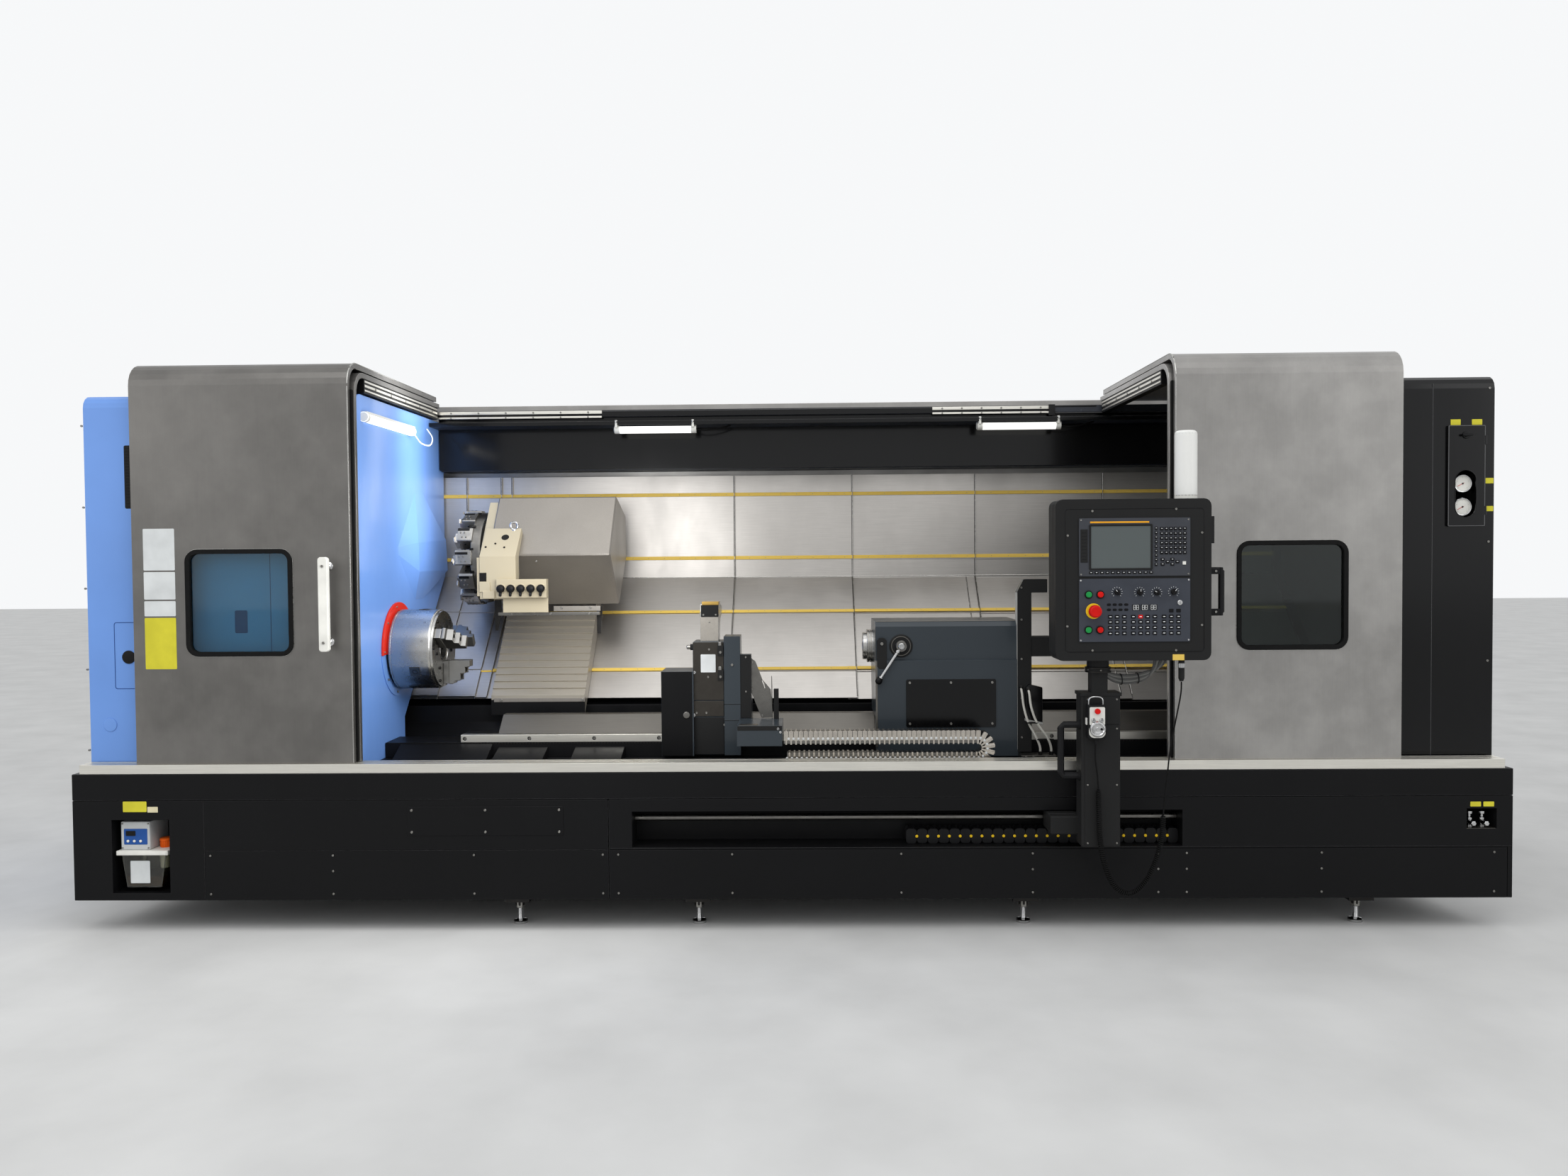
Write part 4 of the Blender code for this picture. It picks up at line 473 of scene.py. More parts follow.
# %% Steel finishes
def brushed(name, colour, roughness, along="x", metallic=1.0):
    """Brushed steel with hair lines along one axis and faint smears."""
    finish = Finish(name, colour, roughness, Metallic=metallic)
    stretch = {"x": (0.02, 1, 1), "z": (1, 1, 0.02)}[along]
    hairs = finish.noise(420.0, 2.0, stretch, 0.6)
    smear = finish.noise(3.5, 5.0, (1, 1, 0.6), 0.62).between(0.38, 0.7)
    dull = shade(colour, 0.8)
    body = finish.blend(hairs.between(0.3, 0.7), shade(colour, 0.92), shade(colour, 1.05))
    finish.feed("Base Color", finish.blend(smear * 0.5, body, dull))
    finish.feed("Roughness", roughness * 0.85 + hairs * (roughness * 0.2) + smear * 0.1)
    finish.relief(hairs, 0.2, 0.00003, finish.rim(0.0015)[0])
    return finish


def machined(name, colour, roughness, soft=0.0008, film_depth=0.22):
    """Ground or turned steel with a thin oily film."""
    finish = Finish(name, colour, roughness, Metallic=1.0)
    film = finish.noise(24.0, 5.0, roughness=0.6).between(0.35, 0.7)
    finish.feed("Base Color", finish.blend(film, colour, shade(colour, 1 - film_depth)))
    finish.feed("Roughness", roughness * 0.85 + film * (roughness * film_depth * 2.5))
    normal = finish.rim(soft)[0]
    finish.relief(finish.noise(900.0, 2.0), 0.15, 0.00002, normal)
    return finish


cover_steel = brushed("brushed cover steel", tone(192, 188, 183), 0.4)
louvre_steel = brushed("brushed louvre steel", tone(176, 169, 156), 0.34, metallic=0.5)
housing_steel = brushed("brushed housing steel", tone(146, 141, 134), 0.36, "z", 0.7)
rail_steel = brushed("brushed rail steel", tone(226, 223, 214), 0.34)
way_steel = brushed("ground way steel", tone(112, 109, 104), 0.32)
bright_steel = machined("bright turned steel", tone(176, 175, 171), 0.24)
dark_steel = machined("dark turned steel", tone(120, 118, 114), 0.3)
chrome = machined("chrome", tone(200, 200, 200), 0.1, film_depth=0.08)
chuck_steel = machined("turned chuck steel", tone(178, 177, 174), 0.3, 0.0001, 0.05)
jaw_steel = machined("ground jaw steel", tone(140, 139, 136), 0.34, film_depth=0.08)
brass = machined("brass", tone(200, 164, 92), 0.28)
screw_steel = machined("screw steel", tone(150, 148, 143), 0.3)
black_steel = machined("blackened steel", tone(54, 53, 52), 0.38)


def bare_sheet(name, colour, roughness):
    """Door sheet with a dull metal look: cloudy upright smears, faint hair lines, and a painted highlight on folded
    edges.
    """
    finish = Finish(name, colour, roughness, Metallic=0.75)
    cloud = finish.noise(1.5, 6.0, (1, 1, 0.8), 0.66).between(0.36, 0.64)
    streak = finish.noise(7.0, 5.0, (1, 1, 0.9), 0.6).between(0.4, 0.66)
    hairs = finish.noise(380.0, 2.0, (1, 1, 0.02)).between(0.3, 0.7)
    mix = cloud * 0.6 + streak * 0.32 + hairs * 0.08
    body = finish.blend(mix, shade(colour, 0.8), shade(colour, 1.22))
    normal, edges = finish.rim(0.003)
    # Painted highlight: the hard edges are blended towards a much paler copy of the colour.
    finish.feed("Base Color", finish.blend(edges * 0.8, body, shade(colour, 2.4)))
    finish.feed("Roughness", roughness + streak * 0.12 - cloud * 0.08)
    finish.relief(hairs, 0.12, 0.00003, normal)
    return finish


def speckled(name, colour, roughness):
    """Dull paint with small pale specks of dried coolant."""
    finish = Finish(name, colour, roughness)
    specks = finish.noise(95.0, 2.0, roughness=0.6).between(0.66, 0.74)
    cloud = finish.noise(3.0, 5.0).between(0.35, 0.65)
    body = finish.blend(cloud, shade(colour, 0.8), shade(colour, 1.3))
    normal = finish.rim(0.002)[0]
    finish.feed("Base Color", finish.blend(specks * 0.35, body, shade(colour, 6.0)))
    finish.feed("Roughness", roughness * 0.8 + cloud * 0.2)
    finish.relief(finish.noise(500.0, 2.0), 0.2, 0.00005, normal)
    return finish


door_metal = bare_sheet("bare door sheet", tone(152, 150, 147), 0.36)
# Painted shade: the left doors are the same sheet as the right ones, in a darker copy that stands for the shade on
# that side.
door_metal_painted_shade = bare_sheet("shaded door sheet", tone(111, 109, 106), 0.38)
fascia_paint = speckled("slate fascia paint", tone(40, 44, 52), 0.42)
print("finishes with steel and sheet:", len(bpy.data.materials))

# %% [markdown]
# The windows are laminated safety glass with a green blue tint, in black rubber. Clear things are left to the
# shader: light goes through it, and a little colour is enough because it passes both faces of the pane.

# %% Glass, lamps and screens
def clear(name, colour, roughness=0.03):
    """Glass or clear plastic with faint wipe marks."""
    finish = Finish(name, colour, roughness, Transmission_Weight=1.0, IOR=1.45)
    wipe = finish.noise(7.0, 4.0, (1, 1, 0.3)).between(0.45, 0.75)
    finish.feed("Roughness", wipe * 0.08 + roughness)
    return finish


def lit(name, colour, strength):
    """A diffuser with a lamp behind it."""
    finish = Finish(name, colour, 0.5, Emission_Strength=strength)
    cloud = finish.noise(5.0).between(0.2, 0.8)
    finish.feed("Emission Color", finish.blend(cloud, shade(colour, 0.94), colour))
    return finish


window_glass = clear("tinted window glass", tone(176, 214, 208))
# Painted shade: the right pane is the same glass in a darker copy, so that the view through it reads darker.
glass_painted_shade = clear("shaded window glass", tone(112, 134, 130))
lamp_white = lit("lamp diffuser", tone(250, 250, 245), 1.2)
screen_grey = painted("screen face", tone(88, 94, 94), 0.14, skin_height=0.0, dust=0.05, bright=1.0)
print("finishes with glass and lamps:", len(bpy.data.materials))

# %% [markdown]
# The camera stands in the aisle, about four and a half metres in front of the base and a little right of its
# middle. Its lens, tilt and small roll were worked out from the straight edges of the machine in the picture.

# %% Camera
SENSOR_WIDTH = 36.0
IMAGE_WIDTH = 2212
FOCAL_PIXELS = 1661
CAMERA_AISLE = 4.5
CAMERA_SIDE = 0.1
CAMERA_HEIGHT = 1.45
CAMERA_TURN = math.radians(1.17)
CAMERA_TILT = math.radians(90 - 1.6)
CAMERA_ROLL = math.radians(-0.47)

lens = bpy.data.cameras.new("camera")
lens.sensor_width = SENSOR_WIDTH
lens.lens = FOCAL_PIXELS / IMAGE_WIDTH * SENSOR_WIDTH
camera = bpy.data.objects.new("camera", lens)
bpy.context.scene.collection.objects.link(camera)
turn = Matrix.Rotation(CAMERA_TURN, 4, "Z")
tilt = Matrix.Rotation(CAMERA_TILT, 4, "X")
roll = Matrix.Rotation(CAMERA_ROLL, 4, "Z")
camera.matrix_world = Matrix.Translation((CAMERA_SIDE, FRONT - CAMERA_AISLE, CAMERA_HEIGHT)) @ turn @ tilt @ roll
bpy.context.scene.camera = camera
print("lens:", round(lens.lens, 2), "mm")

# %% [markdown]
# The light is that of a workshop with a high white ceiling: one broad soft lamp above the aisle, a weaker one
# from each side, and one more that reaches down into the open bay. The world is white to the camera, so that
# the background is pale without more light falling on the machine.

# %% World, lamps and floor
def soft_lamp(name, place, aim, size, power):
    """A broad lamp that looks at a place."""
    light = bpy.data.lights.new(name, "AREA")
    light.shape = "RECTANGLE"
    light.size, light.size_y = size
    light.energy = power
    lamp = bpy.data.objects.new(name, light)
    lamp.location = place
    lamp.rotation_euler = (Vector(aim) - Vector(place)).to_track_quat("-Z", "Y").to_euler()
    bpy.context.scene.collection.objects.link(lamp)


soft_lamp("ceiling lamp", (-0.6, -3.6, 5.2), (0, 0, 0.8), (6.0, 3.0), 95)
soft_lamp("left lamp", (-5.4, -4.0, 2.8), (0, 0, 1.0), (2.5, 3.0), 26)
soft_lamp("right lamp", (5.6, -3.4, 3.0), (1.0, 0, 1.0), (2.5, 3.0), 30)
soft_lamp("bay lamp", (0.2, -0.55, 3.6), (0.2, 0.1, 1.0), (3.4, 0.8), 8)
soft_lamp("wall fill light", (-0.75, FRONT - 0.3, 1.55), (-1.66, FRONT + 0.5, 1.0), (0.7, 0.7), 10)
soft_lamp("wall tube light", (-1.5, FRONT + 0.74, 1.84), (-1.668, FRONT + 0.76, 1.82), (0.3, 0.9), 2.4)

world = bpy.data.worlds.new("workshop")
bpy.context.scene.world = world
world.use_nodes = True
sky = world.node_tree
seen = sky.nodes.new("ShaderNodeLightPath")
most = None
for ray in ("Is Camera Ray", "Is Glossy Ray", "Is Transmission Ray"):
    either = sky.nodes.new("ShaderNodeMath")
    either.operation = "MAXIMUM"
    sky.links.new(seen.outputs[ray], either.inputs[0])
    if most:
        sky.links.new(most.outputs[0], either.inputs[1])
    most = either
background = sky.nodes["Background"]
background.inputs["Strength"].default_value = 1.0
hall = sky.nodes.new("ShaderNodeMix")
hall.data_type = "RGBA"
sky.links.new(most.outputs[0], hall.inputs[0])
sky.links.new(hall.outputs[2], background.inputs["Color"])
hall.inputs[6].default_value = (0.7, 0.71, 0.73, 1)
hall.inputs[7].default_value = (0.93, 0.94, 0.95, 1)

floor_finish = painted("pale floor", (0.62, 0.62, 0.61), 0.7, skin=60.0, soft=0.0001, bright=1.0)
floor_mesh = bpy.data.meshes.new("floor")
FLOOR_REACH = 30
corners = [
    (-FLOOR_REACH, -FLOOR_REACH, 0), (FLOOR_REACH, -FLOOR_REACH, 0),
    (FLOOR_REACH, FLOOR_REACH, 0), (-FLOOR_REACH, FLOOR_REACH, 0),
]
floor_mesh.from_pydata(corners, [], [(0, 1, 2, 3)])
floor_mesh.materials.append(floor_finish.material)
floor = bpy.data.objects.new("floor", floor_mesh)
bpy.context.scene.collection.objects.link(floor)
bpy.context.scene.view_settings.view_transform = "Standard"

# %% [markdown]
# Loose cables and hoses are curves with a round section, drawn along a line of places with a given thickness.
# Each one prints its length.

# %% Hoses and loose cables
def cord_line(name, line, width, finish, body, nodes=(), sides=4):
    """A cord as a round curve along a line; its length is printed."""
    curve = bpy.data.curves.new(name, "CURVE")
    curve.dimensions = "3D"
    curve.bevel_depth = width / 2
    curve.bevel_resolution = sides
    curve.use_fill_caps = True
    spline = curve.splines.new("POLY")
    spline.points.add(len(line) - 1)
    for point, spot in zip(spline.points, line):
        point.co = (spot.x, spot.y + FRONT, spot.z, 1)
    curve.materials.append(finish.material)
    cord = bpy.data.objects.new(name, curve)
    bpy.context.scene.collection.objects.link(cord)
    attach(cord, body)
    if nodes:
        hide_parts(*nodes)
    length = sum((b - a).length for a, b in zip(line, line[1:]))
    print(name, "length:", round(length, 3))


def loose_line(name, route, width, finish, body):
    """A hose or cable along a few places."""
    cord_line(name, eased(route, max(3, 24 // (len(route) - 1))), width, finish, body, ())


print("cord helper ready")

# %% [markdown]
# One cord hangs free: the curly lead of the hand unit. It leaves the right end of the panel through a plug,
# drops in a long loop and comes up to the hand unit on the post. A straight lead is left at both ends, and
# the middle is wound as a spring. The line is the route of the solid model, and the turns go round it.

# %% The curly cord of the hand unit
CORD_DEPTH = -0.172
CORD_WIDTH = 0.0055
COIL_RADIUS = 0.0076
COIL_PITCH = 0.0072
POINTS_A_TURN = 12
CORD_TOP = mm(1464, 976.7, 1462, 930, 1447, 850, 1424, 730, 1412, 620, 1402, 540, 1399, 490.3)
CORD_COIL = mm(
    1399, 490, 1394, 410, 1373, 320, 1335, 240, 1282, 195, 1226, 215, 1187, 290, 1168, 390, 1163, 500, 1161, 585
)
CORD_BOTTOM = mm(1161, 585.3, 1158, 630, 1150, 700, 1152, 767.7)


def along(line, step):
    """Places on a line a step apart, each with the direction there."""
    spots = []
    walked = 0.0
    due = 0.0
    for a, b in zip(line, line[1:]):
        reach = (b - a).length
        while due <= walked + reach and reach > 0:
            spots.append((a + (b - a) * ((due - walked) / reach), (b - a) / reach))
            due += step
        walked += reach
    return spots


def in_depth(route):
    return [Vector((x, CORD_DEPTH, z)) for x, z in route]


line = in_depth(CORD_TOP)[:-1]
coil_spots = along(eased(in_depth(CORD_COIL), 12), COIL_PITCH / POINTS_A_TURN)
coil_line = []
for i, (spot, ahead) in enumerate(coil_spots):
    swell = min(1.0, i / POINTS_A_TURN / 2, (len(coil_spots) - 1 - i) / POINTS_A_TURN / 2)
    turned_by = 2 * math.pi * i / POINTS_A_TURN
    outward = ahead.cross(FORWARD).normalized() * math.cos(turned_by) + FORWARD * math.sin(turned_by)
    coil_line.append(spot + outward * (COIL_RADIUS * swell))
route = eased(line, 3)[:-1] + coil_line + eased(in_depth(CORD_BOTTOM)[1:], 4)
cord_nodes = ("cord_lead_top", "cord_curl", "cord_lead_bottom")
cord_line("curly_cord", route, CORD_WIDTH, black_rubber, "pendant", cord_nodes, 1)
print("turns in the coil:", len(coil_spots) // POINTS_A_TURN)

# %% [markdown]
# Pieces whose shape is already right only need their finish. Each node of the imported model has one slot, so a
# table of node and finish does it.

# %% Finishes for the pieces that keep their shape
WORN = {
    black_paint: ["base_casting", "front_band", "left_skirt", "right_skirt", "saddle", "front_way"],
    door_metal: ["right_outer_door", "right_inner_door", "rear_cover"],
    # The left doors take the darker copy of the door sheet: painted shade.
    door_metal_painted_shade: ["left_outer_door", "left_inner_door"],
    blue_paint: ["headstock_cover", "headstock_wall"], gloss_black: ["right_cabinet", "gauge_hatch"],
    matte_black: ["pendant_post", "control_panel", "hand_unit"], fascia_paint: ["top_beam"],
    cover_steel: ["fixed_cover_left", "fixed_cover_right", "left_section_1", "left_section_2", "saddle_cover"],
    rail_steel: ["door_rail"], housing_steel: ["turret_housing"], louvre_steel: ["louvre_cover"],
    cream_paint: ["turret_mount"], casting_paint: ["steady_rest", "tailstock"],
    bright_steel: ["chuck", "jaw_1", "jaw_2", "jaw_3", "steady_arm", "turret_disc"],
    red_paint: ["spindle_guard"], red_plastic: ["emergency_stop"], chrome: ["hand_wheel"],
    black_steel: [f"levelling_foot_{number}" for number in range(1, 7)],
}
WORN[cover_steel] += [f"right_section_{number}" for number in range(1, 4)]
for finish, nodes in WORN.items():
    for node in nodes:
        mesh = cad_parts[node].data
        if not mesh.materials:
            mesh.materials.append(finish.material)
        for i in range(len(mesh.materials)):
            mesh.materials[i] = finish.material
print("nodes with a finish:", sum(len(nodes) for nodes in WORN.values()))

# %% [markdown]
# The control panel is the part that an operator looks at all day. On the real one, a screen unit and a
# separate operator plate are screwed to a black sheet box. Keys and knobs stand on their own small beds, so
# each is its own little part here, placed by its distance from the upper left corner of the unit or plate.

# %% Screen unit
PLATE_FRONT = -0.218
UNIT_LEFT = 1.081
UNIT_TOP = 1.574
KEY_SIZE = 0.0128
KEY_RISE = 0.0032


def key(form, left, top, finish, across, down, size=(KEY_SIZE, KEY_SIZE), rise=KEY_RISE, edge=0.0009, mark=None):
    """A key cap whose middle is that far right of and below a corner."""
    x = (left + across - size[0] / 2, left + across + size[0] / 2)
    height = (top - down - size[1] / 2, top - down + size[1] / 2)
    form.block(x, (PLATE_FRONT - rise, PLATE_FRONT + 0.001), height, finish, edge)
    if mark is not None:
        middle = (x[0] + x[1]) / 2, (height[0] + height[1]) / 2 + size[1] * 0.1
        across_mark = (middle[0] - size[0] * 0.2, middle[0] + size[0] * 0.2)
        form.block(
            across_mark, (PLATE_FRONT - rise - 0.0003, PLATE_FRONT - rise + 0.0002),
            (middle[1] - 0.0009, middle[1] + 0.0009), mark, 0,
        )


def screen_unit():
    form = Form()
    unit = rounded((UNIT_LEFT, UNIT_LEFT + 0.4), (UNIT_TOP - 0.21, UNIT_TOP), 0.004)
    form.add(sheet_metal(unit, PLATE_FRONT - 0.0007, PLATE_FRONT + 0.001, "y"), 7, 0.0004)
    bezel = (0.036, 0.022, 0.228, 0.166)
    x = (UNIT_LEFT + bezel[0], UNIT_LEFT + bezel[0] + bezel[2])
    height = (UNIT_TOP - bezel[1] - bezel[3], UNIT_TOP - bezel[1])
    outer = rounded(x, height, 0.005)
    border = 0.007
    glass_x = (x[0] + border, x[1] - border)
    glass_height = (height[0] + border, height[1] - border)
    form.add(
        sheet_metal(outer, PLATE_FRONT - 0.004, PLATE_FRONT, "y", [rounded(glass_x, glass_height, 0.002)]),
        0, 0.0008,
    )
    form.block(glass_x, (PLATE_FRONT - 0.0016, PLATE_FRONT), glass_height, 1, 0)
    form.block(
        (x[0] + 0.004, x[1] - 0.012), (PLATE_FRONT - 0.0012, PLATE_FRONT),
        (UNIT_TOP - 0.018, UNIT_TOP - 0.012), 2, 0,
    )
    form.block(
        (UNIT_LEFT + 0.005, UNIT_LEFT + 0.031),
        (PLATE_FRONT - 0.0025, PLATE_FRONT), (UNIT_TOP - 0.16, UNIT_TOP - 0.04), 0,
    )
    for slot in range(9):
        height_of_slot = UNIT_TOP - 0.052 - slot * 0.012
        form.block(
            (UNIT_LEFT + 0.009, UNIT_LEFT + 0.027), (PLATE_FRONT - 0.0032, PLATE_FRONT - 0.002),
            (height_of_slot - 0.001, height_of_slot + 0.001), 3, 0,
        )
    for number in range(12):
        key(form, UNIT_LEFT, UNIT_TOP, 3, 0.043 + number * 0.0196, 0.197, (0.0135, 0.009), mark=8)
    for number in range(9):
        key(form, UNIT_LEFT, UNIT_TOP, 3, 0.277, 0.038 + number * 0.0163, (0.009, 0.0115), mark=8)
    for row in range(6):
        for column in range(6):
            key(
                form, UNIT_LEFT, UNIT_TOP, 4 if column < 4 else 3,
                0.297 + column * 0.0165, 0.04 + row * 0.0172, (0.0122, 0.0122), mark=8,
            )
    for across, down in (
        (0.3, 0.151), (0.3, 0.168), (0.318, 0.1595), (0.335, 0.151), (0.335, 0.168), (0.353, 0.1595)
    ):
        key(form, UNIT_LEFT, UNIT_TOP, 4, across, down, (0.0135, 0.011), mark=8)
    key(form, UNIT_LEFT, UNIT_TOP, 5, 0.378, 0.164, (0.012, 0.012))
    for across in (0.007, 0.393):
        for down in (0.007, 0.203):
            form.screw((UNIT_LEFT + across, PLATE_FRONT, UNIT_TOP - down), FORWARD, 0.0032, 6)
    finishes = [
        matte_black, screen_grey, amber_film, black_plastic,
        key_grey, white_plastic, screw_steel, unit_grey, mark_white,
    ]
    make(form, "screen_unit", finishes, "panel")


amber_film = moulded("amber film", tone(226, 158, 44), 0.3)
key_grey = moulded("dark key caps", tone(24, 24, 26), 0.5)
unit_grey = moulded("screen unit grey", tone(66, 68, 73), 0.45)
mark_white = moulded("printed marks", tone(226, 228, 228), 0.5)
screen_unit()

# %% [markdown]
# Below it, the operator plate has lit push buttons in turned bezels, pointed knobs over bare dial marks, small
# number windows and four rows of keys. The emergency stop is a red mushroom on a yellow ring; it moves in the
# model, so it is a piece of its own.

# %% Operator plate
PLATE_LEFT = 1.081
PLATE_TOP = 1.355


def on_plate(across, down, proud=0.0):
    return Vector((PLATE_LEFT + across, PLATE_FRONT - proud, PLATE_TOP - down))


def push_button(form, across, down, finish, radius=0.0115, bezel=0):
    """A flat lens in a turned bezel."""
    rim = [(radius * 1.3, -0.001), (radius * 1.3, 0.004), (radius * 1.16, 0.006), (radius, 0.006), (radius, 0.003)]
    form.spin(rim + [(0, 0.003)], on_plate(across, down), FORWARD, 28, bezel)
    lens = [(radius * 0.94, 0.002), (radius * 0.94, 0.009), (radius * 0.8, 0.0105), (0, 0.011)]
    form.spin(lens, on_plate(across, down), FORWARD, 28, finish)


def dial_knob(form, across, down, pointer):
    """A knob with a pointer fin over a ring of bare dial marks."""
    radius = 0.0105
    place = Matrix.Translation(on_plate(across, down))
    form.spin(
        [(radius, -0.001), (radius, 0.009), (radius * 0.8, 0.012), (0, 0.012)],
        on_plate(across, down), FORWARD, 24, 0,
    )
    turn = math.radians(pointer)
    form.put(
        bar_stock((-0.0022, 0.0022), (-0.017, -0.004), (-0.0125, 0.0125)),
        place @ Matrix.Rotation(turn, 4, "Y"), 0, 0.001,
    )
    form.put(
        bar_stock((-0.001, 0.001), (-0.0174, -0.0165), (0.004, 0.0115)), place @ Matrix.Rotation(turn, 4, "Y"), 1
    )
    for mark in range(11):
        turn = math.radians(mark * 27 - 135)
        form.put(
            bar_stock((-0.0006, 0.0006), (-0.0012, 0.0003), (0.016, 0.02)), place @ Matrix.Rotation(turn, 4, "Y"), 1
        )


def number_window(form, left, finish):
    """Two unlit digits of seven bars each."""
    for digit in range(2):
        x = left + 0.0042 + digit * 0.0105
        foot, middle, top = PLATE_TOP - 0.1125, PLATE_TOP - 0.1045, PLATE_TOP - 0.0965
        proud = (PLATE_FRONT - 0.0029, PLATE_FRONT - 0.002)
        for height in (foot, middle, top):
            form.block((x, x + 0.008), proud, (height - 0.0006, height + 0.0006), finish, 0)
        for side in (x, x + 0.008):
            form.block((side - 0.0006, side + 0.0006), proud, (foot, top), finish, 0)


def operator_plate():
    form = Form()
    plate = rounded((PLATE_LEFT, PLATE_LEFT + 0.4), (PLATE_TOP - 0.229, PLATE_TOP), 0.004)
    form.add(sheet_metal(plate, PLATE_FRONT - 0.0007, PLATE_FRONT + 0.001, "y"), 7, 0.0004)
    for across, down, finish in ((0.034, 0.057, 2), (0.076, 0.057, 3), (0.033, 0.185, 2), (0.075, 0.185, 3)):
        push_button(form, across, down, finish)
    for (across, down), pointer in zip(
        ((0.1365, 0.049), (0.218, 0.05), (0.279, 0.051), (0.34, 0.049)), (-40, 0, -60, 30)
    ):
        dial_knob(form, across, down, pointer)
    form.spin(mm(9, -1, 9, 5, 7.5, 6, 0, 6), on_plate(0.362, 0.088), FORWARD, 24, 5)
    form.block(
        (PLATE_LEFT + 0.3613, PLATE_LEFT + 0.3627),
        (PLATE_FRONT - 0.0072, PLATE_FRONT), (PLATE_TOP - 0.093, PLATE_TOP - 0.083), 0,
    )
    for column in range(4):
        for row in range(2):
            x = (PLATE_LEFT + 0.1 + column * 0.0207, PLATE_LEFT + 0.115 + column * 0.0207)
            height = (PLATE_TOP - 0.0985 - row * 0.0185, PLATE_TOP - 0.0895 - row * 0.0185)
            form.plate(x, height, 0.0044, (PLATE_FRONT - 0.002, PLATE_FRONT), 4, 0.0006)
    for number in range(3):
        left = PLATE_LEFT + 0.191 + number * 0.0315
        form.block(
            (left, left + 0.027), (PLATE_FRONT - 0.0025, PLATE_FRONT), (PLATE_TOP - 0.115, PLATE_TOP - 0.094), 0
        )
        number_window(form, left, 6)
    columns = (0.112, 0.1365, 0.1625, 0.195, 0.221, 0.2464, 0.2724, 0.3055, 0.3315, 0.3575)
    for row, down in enumerate((0.138, 0.157, 0.1775, 0.198)):
        for number, across in enumerate(columns):
            key(form, PLATE_LEFT, PLATE_TOP, 3 if row == 0 and number == 4 else 4, across, down, (0.0155, 0.0125))
            spot = on_plate(across, down, KEY_RISE)
            form.block(
                (spot.x - 0.004, spot.x + 0.004), (spot.y - 0.0004, spot.y + 0.0002),
                (spot.z - 0.0012, spot.z + 0.0014), 1, 0,
            )
    for across in (0.3315, 0.3575):
        key(form, PLATE_LEFT, PLATE_TOP, 4, across, 0.117, (0.0155, 0.0125))
    for across in (0.006, 0.394):
        for down in (0.006, 0.223):
            form.screw(on_plate(across, down), FORWARD, 0.0032, 5)
    finishes = [black_plastic, mark_white, green_plastic, red_plastic, key_grey, chrome, mark_white, plate_grey]
    make(form, "operator_controls", finishes, "panel")


def emergency_stop():
    low, high = room("emergency_stop")
    middle = (low + high) / 2
    radius = (high.x - low.x) / 2
    reach = middle.x, PLATE_FRONT, middle.z
    rise = PLATE_FRONT - low.y
    form = Form()
    cap = [
        (radius * 0.42, 0.002), (radius * 0.42, rise * 0.3), (radius * 0.86, rise * 0.36), (radius, rise * 0.5),
        (radius, rise * 0.72), (radius * 0.93, rise * 0.9), (radius * 0.72, rise * 0.99), (0, rise),
    ]
    form.spin(cap, reach, FORWARD, 40, 0, 0.0006)
    make(form, "stop_mushroom", [red_plastic], "stop_button", "emergency_stop")
    collar = Form()
    outside = radius * 1.22
    profile = [
        (radius * 0.5, 0.0), (outside, 0.0), (outside, 0.0022), (outside * 0.94, 0.003), (radius * 0.5, 0.003)
    ]
    collar.spin(profile, reach, FORWARD, 40, 0, hollow=True)
    make(collar, "stop_ring", [yellow_plastic], "panel")


plate_grey = moulded("operator plate grey", tone(64, 67, 74), 0.45)
operator_plate()
emergency_stop()

# %% [markdown]
# The box behind them is folded sheet with a screwed front frame. It carries a plain white signal lamp on its
# upper right corner, a grip, two hinge brackets and the cable plug.

# %% Panel box, signal lamp and grips
FRAME_SCREWS = mm(1041, 1512, 1524, 1519, 1130, 1600, 1431, 1605, 1039, 1183, 1524, 1185, 1130, 1095, 1431, 1094)


def panel_box():
    face = -0.214
    x = (0.9975, 1.5585)
    height = (1.057, 1.643)
    form = Form()
    inset = 0.034
    groove = 0.0022
    outer = rounded((x[0] + inset, x[1] - 0.025), (height[0] + 0.031, height[1] - inset), 0.014)
    inner = rounded(
        (x[0] + inset + groove, x[1] - 0.025 - groove),
        (height[0] + 0.031 + groove, height[1] - inset - groove), 0.012,
    )
    form.add(sheet_metal(outer, face - 0.0012, face + 0.001, "y", [inner]), 0, 0.0004)
    for across, up in FRAME_SCREWS:
        form.screw((across, face, up), FORWARD, 0.0042, 1)
    form.block((x[1] - 0.001, x[1] + 0.019), (-0.19, -0.15), (1.48, 1.579), 0, 0.002)
    make(form, "panel_trim", [gloss_black, screw_steel], "panel")

    lamp = Form()
    foot = Vector((1.485, -0.154, height[1] - 0.002))
    radius = 0.0402
    top = room("control_panel")[1].z - foot.z
    sleeve = [
        (radius * 0.94, 0.012), (radius, 0.016), (radius, top - 0.014),
        (radius * 0.97, top - 0.006), (radius * 0.8, top), (0, top),
    ]
    lamp.spin(sleeve, foot, UP, 40, 0, 0.0005)
    lamp.spin([(radius, 0.0), (radius, 0.014), (radius * 0.9, 0.017), (0, 0.017)], foot, UP, 40, 2)
    make(lamp, "signal_lamp", [signal_white, signal_white, white_plastic], "panel")

    grip = Form()
    bar_x = 1.6085
    ends = (1.225, 1.385)
    grip.plate(
        (bar_x - 0.0115, bar_x + 0.0005), (ends[0] - 0.008, ends[1] + 0.008), 0.003, (-0.192, -0.168), 0, 0.003
    )
    for up in (ends[0] + 0.006, ends[1] - 0.006):
        grip.block((x[1] - 0.001, bar_x - 0.008), (-0.19, -0.17), (up - 0.011, up + 0.011), 0, 0.002)
        grip.screw((bar_x - 0.026, -0.19, up), FORWARD, 0.0045, 1)
    make(grip, "panel_grip", [black_plastic, screw_steel], "panel")


